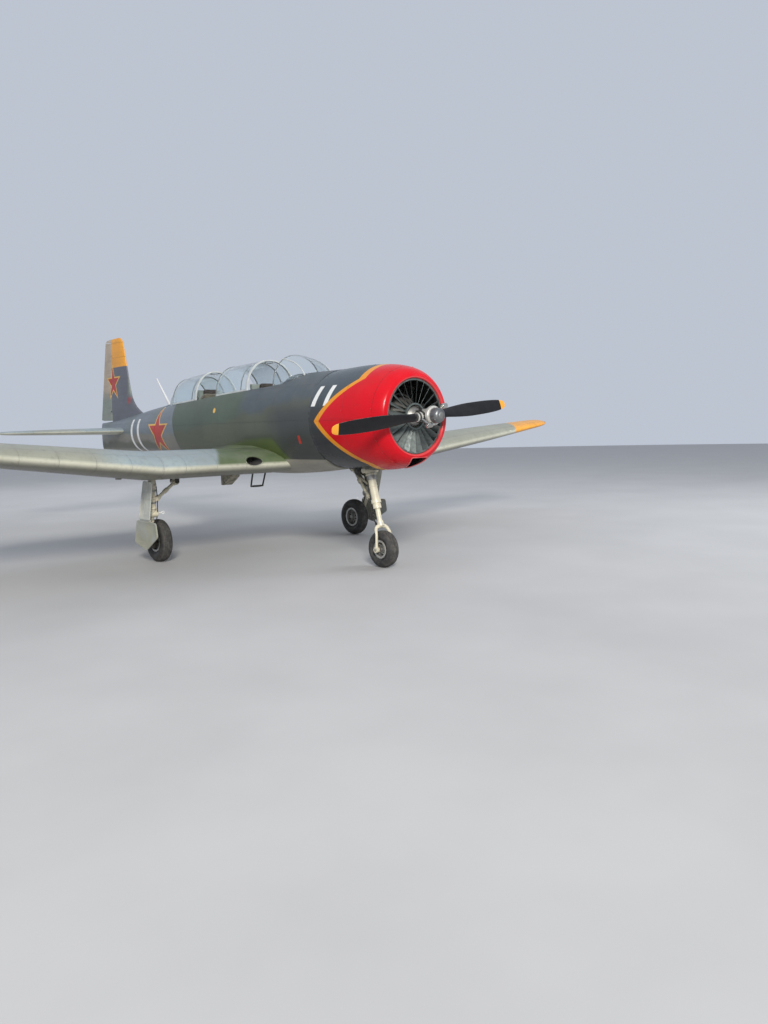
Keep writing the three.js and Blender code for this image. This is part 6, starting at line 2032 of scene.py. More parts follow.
OVER_SHOULDER = [
    # out, aft of the seat's place, height
    (0.07, 0.10, 2.02),
    (0.08, 0.045, 2.005),
    (0.09, -0.018, 1.90),
    (0.08, -0.042, 1.78),
    (0.06, -0.055, 1.70),
    (0.05, -0.10, 1.662),
]
OVER_LAP = [(0.19, -0.05, 1.60), (0.15, -0.09, 1.655), (0.08, -0.15, 1.662), (0.03, -0.20, 1.660)]
BELT_WIDTH = 0.045


def furnish_harness(name, seat_y):
    belts, buckles = [], []
    for side in (1, -1):
        over, lap = ([(side * out, seat_y + aft, z) for out, aft, z in line] for line in (OVER_SHOULDER, OVER_LAP))
        belts.append(strap(spline(over, 26), BELT_WIDTH))
        belts.append(strap(spline(lap, 18), BELT_WIDTH, way=(0, 1, 0.2)))
        over_x, lap_x = side * 0.082, side * 0.03
        buckles.append(block((over_x - 0.026, seat_y - 0.050, 1.815), (over_x + 0.026, seat_y - 0.034, 1.845)))
        buckles.append(block((lap_x - 0.02, seat_y - 0.225, 1.660), (lap_x + 0.02, seat_y - 0.178, 1.668)))
    piece(f"harness_{name}", together(*belts), "airframe", WEBBING)
    piece(f"buckles_{name}", together(*buckles), "airframe", BRIGHT_STEEL, edge=0.002)


STICK_BOOT = [(0.0, 0.0), (0.052, 0.0), (0.054, 0.010), (0.045, 0.018), (0.048, 0.026), (0.038, 0.034)]
STICK_BOOT += [(0.041, 0.042), (0.030, 0.050), (0.032, 0.056), (0.016, 0.066), (0.0, 0.066)]


def furnish_stick(name, foot, floor):
    """The control stick, its grip with a brake lever, and the rubber boot at its foot."""
    column = spline([(0, foot, floor + 0.04), (0, foot - 0.015, 1.60), (0, foot + 0.02, 1.73)], 20)
    held = [(0, foot + aft, z) for aft, z in ((0.016, 1.715), (0.024, 1.76), (0.012, 1.80), (0.005, 1.829))]
    grip_path = spline(held, 14)
    grip_sizes = 0.0165 + 0.0022 * np.sin(np.linspace(0, 5 * math.pi, 14))
    piece(f"stick_column_{name}", tube(column, 0.0115, 16), "airframe", DARK_STEEL, [f"stick_{name}"])
    lever = tube([(0, foot - 0.022, 1.74), (0, foot - 0.028, 1.775), (0, foot - 0.018, 1.81)], 0.004, 8)
    rubber = together(tube(grip_path, grip_sizes, 20), turned(STICK_BOOT, (0, foot, floor), "Z", 28), lever)
    piece(f"stick_grip_{name}", rubber, "airframe", BLACK_RUBBER, smooth=50)


def furnish_sides(name, seat_y, board_face):
    """Side consoles, the quadrant with its three levers, and the pedals."""
    side_parts, knobs = [], []
    console = ((0, 1.70), (0.085, 1.70), (0.085, 1.755), (0.07, 1.77), (0, 1.77))
    for side in (1, -1):
        rows = []
        for y in stations(board_face + 0.06, seat_y + 0.10, 0.10):
            x = side_at(y, 1.72) - WALL
            rows.append([(side * (x - inward), y, z) for inward, z in console])
        side_parts.append(skin(rows))
    quadrant_y = seat_y - 0.42
    x = side_at(quadrant_y, 1.75) - WALL - 0.05
    knob = rounded([(0.0, 0.0), (0.011, 0.0), (0.013, 0.018), (0.0, 0.026)], 0.004, 4)
    for k, (lean, long) in enumerate(((0.05, 0.10), (0.0, 0.085), (-0.04, 0.075))):
        pivot = (x + 0.018 * (k - 1), quadrant_y, 1.765)
        top = (pivot[0], quadrant_y + lean, 1.765 + long)
        side_parts.append(bar(pivot, top, 0.0035, sides=8))
        knobs.append(turned(knob, top, "Z", 16))
    piece(f"side_consoles_{name}", together(*side_parts), "airframe", COCKPIT_GREEN)
    piece(f"lever_knobs_{name}", together(*knobs), "airframe", RED_KNOB)
    pads, posts = [], []
    for x in (0.15, -0.15):
        pads.append(block((x - 0.045, seat_y - 0.80, 1.47), (x + 0.045, seat_y - 0.785, 1.56)))
        posts.append(bar((x, seat_y - 0.79, 1.50), (x, seat_y - 0.80, FLOOR_Z), 0.010, sides=10))
    piece(f"pedals_{name}", together(*pads, *posts), "airframe", DARK_STEEL, edge=0.002)


PLACES = {"front": (2.790, ROOM_FRONT + SEAT_GAP, 0.110), "rear": (4.230, 3.330, 0.250)}
for name, place in PLACES.items():
    furnish(name, *place)
case = rounded([(0.0, -0.03), (0.034, -0.03), (0.036, 0.03), (0.0, 0.03)], 0.008, 4)
compass = together(turned(case, (0, 2.02, 2.105), "Y", 28), block((-0.012, 2.0, 2.03), (0.012, 2.04, 2.09)))
piece("standby_compass", compass, "airframe", CRACKLE_BLACK)
print("both cockpits are furnished")

# %% [markdown]
# ## Wheels
# Tyres and wheels are turned bodies, so one function makes all three tyres from a width and two radii, and
# another the castings. Tread grooves run round the tyre as dips in its profile; the castings get a ring of
# slots and one of bolts.

# %% A tyre and a wheel
MAIN = {"wheel": 1.485, "leg": 1.622, "y": 3.000, "radius": 0.250, "width": 0.150, "rim": 0.132}
NOSE = {"y": 0.700, "radius": 0.200, "width": 0.150, "rim": 0.102, "top": 0.905, "top z": 1.100, "rake": 0.2615}


def tyre(centre, radius, width, rim):
    half = width / 2
    bead = [(rim, -half * 0.62), (rim + 0.010, -half * 0.74), (rim + 0.016, -half * 0.78)]
    wall = [(rim + (radius - rim) * 0.42, -half), (radius - 0.030, -half * 0.88), (radius - 0.012, -half * 0.68)]
    outer = smooth_profile(bead + wall, 26)
    crown = []
    for a in np.linspace(-half * 0.64, half * 0.64, 47):
        dip = 0.005 * sum(math.exp(-((a - g * half) / 0.0022) ** 4) for g in (-0.46, -0.16, 0.16, 0.46))
        crown.append((radius - 0.010 * (a / (half * 0.64)) ** 2 - dip, a))
    profile = outer + crown + [(r, -a) for r, a in outer[::-1]]
    return ring_body(profile, centre, "X", 96)


def cast_wheel(centre, width, rim, slots):
    """A wheel with slots round it. Its profile is given as radius and share of the half width."""
    half, edge = width / 2, rim - SEAT_GAP
    boss = [(0.0206, 0.5), (0.030, 0.52), (0.044, 0.50), (0.050, 0.40)]
    web = [(edge - 0.036, 0.24), (edge - 0.026, 0.24), (edge - 0.016, 0.60), (edge - 0.010, 0.66), (edge, 0.66)]
    line = rounded([(r, -half * share) for r, share in boss + web], 0.004, 3)
    body = mesh_object("wheel", ring_body(line + [(r, -a) for r, a in line[::-1]], centre, "X", 72))
    tools, slot_half, through_wheel = [], 0.0105, Vector((0.1, 0, 0))
    for k in range(slots):
        turn = (k + 0.5) * FULL / slots
        way = Vector((0, math.cos(turn), math.sin(turn)))
        inner, outer = (Vector(centre) + way * r for r in (0.062, edge - 0.042))
        rounds = [Vector(centre) + way * (p - Vector(centre)).length for p in (inner, outer)]
        tools += [bar(p - through_wheel, p + through_wheel, slot_half, sides=16) for p in rounds]
        across = Vector((0, -way.z, way.y)) * slot_half
        corners = [inner + across, outer + across, outer - across, inner - across]
        tools.append(skin([[tuple(p + depth) for p in corners] for depth in (-through_wheel, through_wheel)]))
    carve(body, *tools, smooth=34)
    return body


def bolt_ring(centre, reach, along, count, size):
    bolt = [(0.0, -0.006), (size, -0.006), (size, 0.006), (size * 0.6, 0.008), (0.0, 0.008)]
    bolts = []
    for k in range(count):
        turn = k * FULL / count
        for side in (1, -1):
            spot = (centre[0] + side * along, centre[1] + reach * math.cos(turn), centre[2] + reach * math.sin(turn))
            bolts.append(turned(bolt, spot, (side, 0, 0), 6))
    return together(*bolts)


WHEELS = {
    "nose": ((0, NOSE["y"], NOSE["radius"]), NOSE, 6),
    "left": ((MAIN["wheel"], MAIN["y"], MAIN["radius"]), MAIN, 8),
    "right": ((-MAIN["wheel"], MAIN["y"], MAIN["radius"]), MAIN, 8),
}
for name, (centre, size, slots) in WHEELS.items():
    rubber = tyre_rubber(f"tyre rubber {name}", centre, size["radius"])
    tread = tyre(centre, size["radius"], size["width"], size["rim"])
    piece(f"tyre_{name}_tread", tread, f"{name}_wheel", rubber, [f"tyre_{name}"])
    casting = cast_wheel(centre, size["width"], size["rim"], slots)
    casting.name = f"wheel_{name}_casting"
    finish_piece(casting, f"{name}_wheel", WHEEL_METAL, [f"wheel_{name}"])
    half = size["width"] / 2
    parts = [bolt_ring(centre, 0.056, half * 0.36, 6, 0.0055)]
    ring = [(size["rim"] - inward, along) for inward, along in ((0.026, 0), (0.003, 0), (0.001, 0.006), (0.024, 0.006))]
    ring = rounded(ring, 0.002, 3)
    for side in (1, -1):
        at = (centre[0] + side * half * 0.64, centre[1], centre[2])
        parts.append(ring_body(ring, at, (side, 0, 0), 72))
    piece(f"wheel_{name}_rims", together(*parts), f"{name}_wheel", RIM_METAL)
print("three wheels are on")

# %% [markdown]
# ## The main gear
# Each main leg is a cream casting that hangs from a trunnion in the wing. A lever turns on its lower knuckle
# and carries the axle, and a side brace with its own jack folds the leg inwards.

# %% Main legs, levers and braces
TRUNNION = {"y": 2.790, "z": 1.070, "top": 1.088, "radius": 0.034}
KNEE = {"y": 2.855, "z": 0.588, "half": 0.062, "radius": 0.046}
BRACE = {"x": 1.345, "y": 2.800, "z": 0.932, "foot y": 2.830, "foot z": 0.755}


def fat_bar(start, end, radius, end_radius, collars=()):
    """A turned bar with collars: each collar is (share along, radius, length)."""
    start, end = Vector(start), Vector(end)
    length = (end - start).length
    shapes = [tube([start, end], [radius, end_radius], 36)]
    for share, size, long in collars:
        line = rounded([(size - 0.012, 0.0), (size, 0.0), (size, long), (size - 0.012, long)], 0.004, 4)
        shapes.append(ring_body(line, start + (end - start) * share, (end - start), 36))
    return together(*shapes)


LEG_COLLARS = ((0.10, 0.054, 0.030), (0.34, 0.052, 0.018), (0.62, 0.050, 0.030), (0.86, 0.050, 0.024))
LEG_WEB = [
    (TRUNNION["y"] + 0.02, 0.98), (TRUNNION["y"] + 0.085, 0.90),
    (KNEE["y"] + 0.06, 0.72), (KNEE["y"] + 0.045, 0.60), (KNEE["y"] - 0.01, 0.60),
]
LEG_FLANK = [(0.030, 0.735), (0.061, 0.630), (0.061, 0.600), (0.0, 0.600), (0.0, 0.735)]
BRAKE_HOSE = [
    # inwards from the leg, station, height
    (0.050, 2.840, 1.020),
    (0.056, 2.815, 0.860),
    (0.050, 2.800, 0.660),
    (0.060, 2.860, 0.520),
    (0.046, 2.930, 0.400),
    (0.040, 2.965, 0.315),
]


def main_leg(name, side, x):
    """The leg's casting, its bolts and hose, and the white ground lock pin on the right."""
    level = TRUNNION["y"], TRUNNION["z"]
    knee = KNEE["y"], KNEE["z"]
    ends = (x, TRUNNION["y"], TRUNNION["top"]), (x, KNEE["y"] - 0.005, KNEE["z"] + 0.012)
    leg = [fat_bar(*ends, 0.044, 0.040, LEG_COLLARS)]
    leg.append(bar((x - side * 0.090, *level), (side * (LEG_SLOT["end"] - 2 * SEAT_GAP), *level), TRUNNION["radius"]))
    leg.append(bar(*[(x + end * KNEE["half"], *knee) for end in (-1, 1)], KNEE["radius"], sides=36))
    leg.append(plate(rounded(LEG_WEB, 0.02, 4), x - 0.009, x + 0.009))
    leg.append(plate(rounded([(x - side * inward, z) for inward, z in LEG_FLANK], 0.008, 4), 2.836, 2.864, "Y"))
    front, back = BRACE["foot y"] - 0.035, BRACE["foot y"] + 0.035
    lug = rounded([(front, 0.725), (back, 0.725), (back, 0.785), (front, 0.785)], 0.014, 4)
    leg.append(plate(lug, *sorted((x - side * 0.03, x - side * 0.075))))
    piece(f"leg_{name}", together(*leg), "airframe", CREAM_PAINT, [f"main_leg_{name}"], edge=0.0015)

    bolt = [(0.0, -0.01), (0.026, -0.01), (0.028, 0.0), (0.016, 0.010), (0.0, 0.010)]
    bolts = [turned(bolt, (x + end * (KNEE["half"] + 0.006), *knee), (end, 0, 0), 24) for end in (-1, 1)]
    clip = [(0.044, -0.008), (0.050, -0.008), (0.050, 0.008), (0.044, 0.008)]
    clip_spots = [(x, 2.79 + 0.06 * s, TRUNNION["top"] - 0.488 * s) for s in (0.48, 0.76)]
    clips = [ring_body(clip, spot, (0, 0.12, -1), 24) for spot in clip_spots]
    piece(f"leg_{name}_fittings", together(*bolts, *clips), "airframe", CAST_METAL)
    hose = tube(spline([(x - side * inward, y, z) for inward, y, z in BRAKE_HOSE], 40), 0.0055, 10)
    piece(f"brake_hose_{name}", hose, "airframe", BLACK_RUBBER)
    if side < 0:
        tab = x - side * (KNEE["half"] + 0.075)
        pin = bar((x - side * KNEE["half"], *knee), (tab + side * 0.016, *knee), 0.008, sides=12)
        eye = ring_body([(0.010, -0.004), (0.018, -0.004), (0.018, 0.004), (0.010, 0.004)], (tab, *knee), "Y", 20)
        piece("ground_lock_pin", together(pin, eye), "airframe", WHITE_PAINT)


def main_lever(name, side, x):
    """The trailing lever with its axle, the brake plate on it and the cap of the hub."""
    axle = MAIN["y"], MAIN["radius"]
    ends = (x, KNEE["y"] + 0.013, KNEE["z"] - 0.013), (x, MAIN["y"], MAIN["radius"] + 0.020)
    arm = [fat_bar(*ends, 0.036, 0.030, ((0.22, 0.043, 0.020), (0.72, 0.038, 0.030)))]
    arm.append(bar((side * (MAIN["wheel"] - 0.046), *axle), (x + side * 0.030, *axle), 0.020))
    arm.append(bar((x - side * 0.036, *axle), (x + side * 0.034, *axle), 0.040, sides=36))
    web = rounded([(2.87, 0.56), (2.905, 0.565), (3.03, 0.29), (2.99, 0.26)], 0.015, 4)
    arm.append(plate(web, x - 0.012, x + 0.012))
    lever = mesh_object(f"lever_{name}", together(*arm), 34)
    finish_piece(lever, "airframe", CREAM_PAINT, [f"main_lever_{name}"])
    drum_x = side * (MAIN["wheel"] + 0.060) + (0.006 if side > 0 else -0.028)
    drum = rounded([(0.0, 0.0), (0.088, 0.0), (0.094, 0.012), (0.094, 0.022), (0.0, 0.022)], 0.004, 4)
    drum = turned(drum, (drum_x, *axle), "X", 56)
    piece(f"brake_plate_{name}", drum, "airframe", BRAKE_METAL)
    cap = rounded([(0.0, 0.0), (0.034, 0.0), (0.030, 0.016), (0.0, 0.020)], 0.005, 4)
    cap = turned(cap, (side * (MAIN["wheel"] - 0.040), *axle), (-side, 0, 0), 28)
    piece(f"hub_cap_{name}", cap, f"{name}_wheel", CAST_METAL)


def main_brace(name, side, x):
    """The side brace, its jack and the fork that holds its head under the wing."""
    head = Vector((side * BRACE["x"], BRACE["y"], BRACE["z"]))
    foot = Vector((x - side * 0.060, BRACE["foot y"], BRACE["foot z"]))
    brace = [fat_bar(foot, head, 0.019, 0.019, ((0.02, 0.030, 0.034), (0.40, 0.026, 0.05), (0.90, 0.030, 0.030)))]
    brace.append(bar(head - Vector((0, 0.05, 0)), head + Vector((0, 0.05, 0)), 0.030))
    brace.append(bar(head, (head.x, head.y, LEG_SLOT["roof"] - SEAT_GAP), 0.022))
    piece(f"brace_{name}", together(*brace), "airframe", CREAM_PAINT, [f"main_brace_{name}"], edge=0.001)
    rod_end, sleeve_end = (side * 1.13, BRACE["y"], 1.12), (side * 1.22, BRACE["y"], 1.045)
    jack = together(bar(head + Vector((side * -0.01, 0, 0.02)), rod_end, 0.014), bar(sleeve_end, rod_end, 0.024))
    piece(f"brace_jack_{name}", jack, "airframe", BRIGHT_STEEL)
    fork = []
    for end in (head.y - 0.062, head.y + 0.062):
        fork.append(block((head.x - 0.026, end - 0.007, head.z - 0.004), (head.x + 0.026, end + 0.007, 1.02)))
    pin = bar(head - Vector((0, 0.078, 0)), head + Vector((0, 0.078, 0)), 0.014)
    piece(f"brace_fork_{name}", together(*fork, pin), "airframe", DARK_STEEL)


for name, side in SIDES:
    for make in (main_leg, main_lever, main_brace):
        make(name, side, side * MAIN["leg"])

# %% Leg doors: pressed panels with a folded rim, beads and rivets
UPPER_DOOR = [(2.612, 0.965), (2.846, 0.965), (3.010, 0.520), (2.735, 0.520)]
LOWER_DOOR = [(2.575, 0.505), (3.075, 0.505), (3.165, 0.240), (2.850, 0.170), (2.545, 0.345)]
DOOR_X = 1.700
DOOR_STEPS = ((0.0, 0.985), (0.002, 1.0), (0.008, 1.0), (0.012, 0.975))
DOOR_STEPS += ((0.012, 0.93), (0.0085, 0.90), (0.0085, 0.5), (0.0095, 0.45))


def shrunk(outline, share):
    middle = np.mean(np.array(outline), axis=0)
    return [tuple(middle + (np.array(p) - middle) * share) for p in outline]


for name, side in SIDES:
    panels = []
    for outline, radius in ((UPPER_DOOR, 0.02), (LOWER_DOOR, 0.035)):
        rows = []
        for depth, share in DOOR_STEPS:
            rows.append([(side * (DOOR_X + depth), y, z) for y, z in shrunk(rounded(outline, radius, 6), share)])
        panels.append(skin(rows))
    for y0, y1 in ((2.70, 2.83), (2.76, 2.89)):
        stiffener = [(side * (DOOR_X + 0.0085), y, z) for y, z in ((y0, 0.94), (y1, 0.58))]
        panels.append(tube(stiffener, 0.008, 12, flat=0.5))
    for y, z in ((2.812, 0.900), (2.838, 0.690), (2.925, 0.440)):
        panels.append(bar((side * (MAIN["leg"] + 0.042), y, z), (side * (DOOR_X + 0.002), y, z), 0.012))
    panels.append(block_between((side * (DOOR_X - 0.008), 2.740, 0.495), (side * DOOR_X, 3.000, 0.530)))
    for outline in (UPPER_DOOR, LOWER_DOOR):
        ring = shrunk(outline, 0.95)
        for (y0, z0), (y1, z1) in zip(ring, ring[1:] + ring[:1]):
            count = max(2, int(math.hypot(y1 - y0, z1 - z0) / 0.045))
            for k in range(count):
                share = k / count
                spot = (side * (DOOR_X + 0.0112), y0 + (y1 - y0) * share, z0 + (z1 - z0) * share)
                panels.append(turned([(0.0045, 0.0), (0.0038, 0.0014), (0.0, 0.0020)], spot, (side, 0, 0), 8))
    piece(f"leg_door_{name}", together(*panels), "airframe", DOOR_PAINT, [f"main_door_{name}"], smooth=35)

# %% [markdown]
# ## The nose gear
# A stout cream cylinder leans back from under the cowling; below its collar a thin piston carries the fork.
# Grimy drag struts brace it, and a folded pair of torque links keeps the fork in line with its collar.

# %% Nose leg, drag struts, fork and links
COLLAR_Z = 0.668


def nose_axis(z):
    return Vector((0, NOSE["top"] + (z - NOSE["top z"]) * NOSE["rake"], z))


trim_belly = fuselage_loft(FIREWALL, 3.0, step=0.1)
core_line = [(0.0, COWL_LIP[-1][1])] + [(r + SEAT_GAP, y) for r, y in outside] + [(0.0, COWL_BACK)]
cowl_core = turned(core_line, THRUST, "Y", 96)
leg_parts = [fat_bar(nose_axis(1.180), nose_axis(COLLAR_Z), 0.044, 0.044, ((0.34, 0.060, 0.020), (0.60, 0.049, 0.012)))]
leg_parts.append(bar(nose_axis(1.180), nose_axis(1.010), 0.058, sides=40))
leg_parts.append(bar(nose_axis(0.730), nose_axis(0.690), 0.054, sides=40))
for side in (1, -1):
    leg_parts.append(bar(*[nose_axis(1.045) + Vector((side * out, 0, 0)) for out in (0.04, 0.100)], 0.030))
leg = mesh_object("nose_leg_cylinder", together(*leg_parts), 34)
carve(leg, cowl_core, crossing=True, smooth=34)
finish_piece(leg, "airframe", CREAM_PAINT, ["nose_leg"])
struts = []
strut_foot = (nose_axis(0.742).y + 0.056, 0.748)
for side in (1, -1):
    foot = (side * 0.052, nose_axis(0.742).y + 0.046, 0.742)
    struts.append(fat_bar((side * 0.052, 1.135, 1.100), foot, 0.017, 0.015, ((0.42, 0.026, 0.05), (0.90, 0.022, 0.03))))
    struts.append(bar((side * 0.035, 1.12, 1.02), (side * 0.052, nose_axis(0.90).y + 0.03, 0.90), 0.010))
struts.append(bar((-0.090, 1.128, 1.075), (0.090, 1.128, 1.075), 0.022))
struts.append(bar((-0.070, *strut_foot), (0.070, *strut_foot), 0.014))
strut = mesh_object("drag_struts", together(*struts), 34)
carve(strut, cowl_core, crossing=True)
finish_piece(strut, "airframe", GRIMY_PAINT, ["nose_drag_strut"])
# A dark drum on a pair of short arms behind the leg's head.
DRUM_AT = (-0.090, 0.985, 1.040)
hub = Vector(DRUM_AT)
drum_line = rounded([(0.020, -0.014), (0.050, -0.014), (0.050, 0.014), (0.020, 0.014)], 0.006, 4)
drum = [ring_body(drum_line, hub, "X", 40)]
drum.append(bar(hub - Vector((0.016, 0, 0)), hub + Vector((0.130, 0, 0)), 0.0205, sides=20))
drum += [bar((side * 0.035, *DRUM_AT[1:]), (side * 0.035, 0.905, DRUM_AT[2]), 0.014) for side in (1, -1)]
drum = mesh_object("drag_strut_drum", together(*drum), 34)
finish_piece(carve(drum, cowl_core, crossing=True, smooth=34), "airframe", DARK_STEEL)
head_line = rounded([(0.0445, 0.0), (0.053, 0.0), (0.053, 0.070), (0.0445, 0.070)], 0.002, 3)
head_ring = ring_body(head_line, nose_axis(1.006), nose_axis(0.9) - nose_axis(1.0), 36)
piece("nose_leg_head_ring", head_ring, "airframe", CAST_METAL)
sleeve = bar((0, 1.12, 1.03), (0, nose_axis(0.80).y + 0.075, 0.80), 0.020)
rod = bar((0, nose_axis(0.80).y + 0.077, 0.805), (0, *strut_foot), 0.010)
piece("nose_jack", together(sleeve, rod), "airframe", CAST_METAL)
lines = []
for out in (0.040, -0.0416):
    path = []
    for z in (1.06, 0.98, 0.90, 0.82, 0.75, 0.71):
        path.append(nose_axis(z) + Vector((out, 0.034 + 0.006 * math.sin(z * 40), 0)))
    lines.append(tube(spline(path, 30), 0.0045, 8))
piece("nose_leg_lines", together(*lines), "airframe", BLACK_RUBBER)

crown = nose_axis(0.455)
half = NOSE["width"] / 2 + 0.022
nose_hub = NOSE["y"], NOSE["radius"]
under_collar = nose_axis(COLLAR_Z - SEAT_GAP)
fork = [bar(under_collar, nose_axis(0.440), 0.027, sides=36)]
fork.append(fat_bar(under_collar, nose_axis(COLLAR_Z - 0.034), 0.046, 0.046))
sizes = np.interp(np.linspace(0, 1, 30), (0, 0.25, 0.6, 0.9, 1), (0.026, 0.021, 0.017, 0.018, 0.024))
for side in (1, -1):
    path = [tuple(crown), (side * half * 0.75, crown.y - 0.008, 0.428)]
    path += [(side * half, NOSE["y"] - 0.004, 0.350), (side * half, *nose_hub)]
    fork.append(tube(spline(path, 30), sizes, 24, flat=0.8))
    fork.append(bar((side * (half - 0.017), *nose_hub), (side * (half + 0.020), *nose_hub), 0.031))
fork.append(fat_bar(nose_axis(0.50), nose_axis(0.445), 0.034, 0.040))
piece("fork", together(*fork), "nose_fork", CREAM_PAINT, ["nose_fork"], smooth=34)
axle = bar((-half - 0.022, *nose_hub), (half + 0.022, *nose_hub), 0.016)
piece("nose_axle", axle, "nose_fork", BRIGHT_STEEL)
knee = Vector((0, nose_axis(0.560).y + 0.118, 0.552))
LINK_HALF = 0.034
links = []
for z, behind in ((0.650, 0.030), (0.470, 0.024)):
    start = Vector((0, nose_axis(z).y + behind, z))
    for side in (1, -1):
        ends = start + Vector((side * LINK_HALF, 0, 0)), knee + Vector((side * 0.014, 0, 0))
        links.append(bar(*ends, 0.009, 0.007, sides=12))
    links.append(bar(*[start + Vector((out, 0, 0)) for out in (-LINK_HALF - 0.012, LINK_HALF + 0.012)], 0.013))
links.append(bar(knee - Vector((0.026, 0, 0)), knee + Vector((0.026, 0, 0)), 0.014))
piece("torque_links", together(*links), "nose_fork", DARK_STEEL)
cap = rounded([(0.0, 0.0), (0.030, 0.0), (0.026, 0.008), (0.0, 0.010)], 0.003, 4)
caps = [turned(cap, (side * 0.040, *nose_hub), (side, 0, 0), 24) for side in (1, -1)]
piece("nose_hub_caps", together(*caps), "nose_wheel", CAST_METAL)
print("the gear is down and locked")

# %% [markdown]
# ## Small pieces
# The exhaust, the cooler's outlet, the step, the mast, the pitot tube, jacking pads and tip lamps. Most are one
# tube along a short path, but each is hollow or rounded where the real one is.

# %% Exhaust, outlet and step
EXHAUST = [(0.180, 1.140, 1.140), (0.180, 1.200, 1.082), (0.182, 1.275, 1.058), (0.184, 1.370, 1.048)]
BORE = EXHAUST[1:] + [(0.186, 1.450, 1.040)]
pipe = mesh_object("exhaust_pipe", tube(spline(EXHAUST, 30), 0.042, 36), 40)
carve(pipe, tube(spline(BORE, 24), 0.038, 36), cowl_core, moved(trim_belly, (0, 0, -SEAT_GAP)), smooth=40)
finish_piece(pipe, "airframe", BURNT_STEEL, ["exhaust"])
core_places = (-KINK_X, -CENTRE_WING[0][0], CENTRE_WING[0][0], KINK_X)
wing_core = skin([wing_row(x, *straight(CENTRE_WING, abs(x)), grow=SEAT_GAP) for x in core_places])
STIRRUP = [
    (-0.348, 2.388, 1.090),
    (-0.388, 2.425, 0.868),
    (-0.405, 2.430, 0.843),
    (-0.535, 2.430, 0.843),
    (-0.552, 2.425, 0.868),
    (-0.528, 2.388, 1.090),
]
step = carve(mesh_object("stirrup_step", tube(spline(STIRRUP, 60), 0.010, 16), 40), wing_core)
finish_piece(step, "airframe", DARK_STEEL, ["step"])
band = [(0.0102, -0.003), (0.0125, -0.003), (0.0125, 0.003), (0.0102, 0.003)]
tread = [ring_body(band, (-0.420 - 0.020 * k, 2.430, 0.843), "X", 20) for k in range(6)]
piece("step_grip", together(*tread), "airframe", BLACK_RUBBER)
OUTLET = [(2.330, 1.090), (2.570, 1.090), (2.570, 0.874), (2.530, 0.874), (2.350, 0.980)]
OUTLET_BORE = [(2.370, 1.20), (2.59, 1.20), (2.59, 0.882), (2.534, 0.882), (2.370, 0.980)]
OUTLET_X, OUTLET_WALL = (-0.870, -0.750), 0.006
scoop = mesh_object("outlet_scoop", plate(rounded(OUTLET, 0.015, 5), *OUTLET_X), 30)
bore = plate(OUTLET_BORE, OUTLET_X[0] + OUTLET_WALL, OUTLET_X[1] - OUTLET_WALL)
carve(scoop, wing_core, bore, smooth=30)
finish_piece(scoop, "airframe", GRIMY_PAINT, ["cooler_outlet"])
louvres = []
for z in (0.905, 0.935, 0.965):
    louvres.append(block((OUTLET_X[0] + 0.004, 2.49, z), (OUTLET_X[1] - 0.004, 2.56, z + 0.003)))
piece("outlet_louvres", together(*louvres), "airframe", DARK_STEEL)

# %% Mast, pitot tube, jacking pads and tip lamps
mast_rows = []
for t in np.linspace(0, 1, 14):
    y, z, wide, long = 5.520 + 0.435 * t, 1.880 + 0.465 * t, 0.015 - 0.008 * t, 0.042 - 0.022 * t
    turn = np.linspace(0, FULL, 24, endpoint=False)
    point = 1 - 0.4 * np.clip(np.sin(turn), 0, 1)
    mast_rows.append(np.column_stack([wide * np.cos(turn) * point, y + long * np.sin(turn), np.full(24, z)]))
mast = carve(mesh_object("mast", skin(mast_rows), 50), fuselage_loft(JOIN, 6.4, step=0.1))
finish_piece(mast, "airframe", WHITE_PAINT, ["antenna_mast"])
foot_turns = np.linspace(0, FULL, 28, endpoint=False)
foot_line = [(0.026 * math.cos(t), 5.562 + 0.062 * math.sin(t)) for t in foot_turns]
piece("mast_foot", plate(foot_line, 1.895, 1.921, "Z"), "airframe", WHITE_PAINT)
PITOT_X = -3.6
shank = [(PITOT_X, y, z) for y, z in ((2.300, 1.322), (2.16, 1.310), (2.020, 1.302))]
nozzle = [(PITOT_X, y, z) for y, z in ((2.020, 1.302), (1.86, 1.2984), (1.80, 1.297))]
hole = [(PITOT_X, y, z) for y, z in ((1.79, 1.2968), (1.85, 1.2982))]
pitot_shape = together(tube(spline(shank, 12), 0.014, 24), tube(nozzle, [0.012, 0.010, 0.009], 24))
pitot = mesh_object("pitot", pitot_shape)
core_rows = [wing_row(x, *straight(OUTER_WING, x), grow=SEAT_GAP) for x in (KINK_X + SEAT_GAP, 3.3, 4.75)]
outer_core = skin([row * (-1, 1, 1) for row in core_rows])
carve(pitot, outer_core, bar(*hole, 0.005, sides=16), crossing=True)
finish_piece(pitot, "airframe", BRIGHT_STEEL, ["pitot_tube"])
JACK_PAD = {"x": 2.050, "y": 2.700, "radius": 0.032, "depth": 0.014}
middle, half_there = wing_at(OUTER_WING, JACK_PAD["x"], JACK_PAD["y"])
foot_z = middle - half_there - JACK_PAD["depth"]
pad_line = [(0.0, 0.0), (0.030, 0.0), (JACK_PAD["radius"], 0.004), (JACK_PAD["radius"], 0.05), (0.0, 0.05)]
pad = turned(rounded(pad_line, 0.002, 3), (JACK_PAD["x"], JACK_PAD["y"], foot_z), "Z", 36)
piece("jacking_pads", both_sides(pad), "airframe", CAST_METAL)
TIP_LAMP_X = 5.045
lens_line = rounded([(0.0, -0.055), (0.016, -0.04), (0.022, -0.01), (0.022, 0.02), (0.0, 0.02)], 0.01, 5)
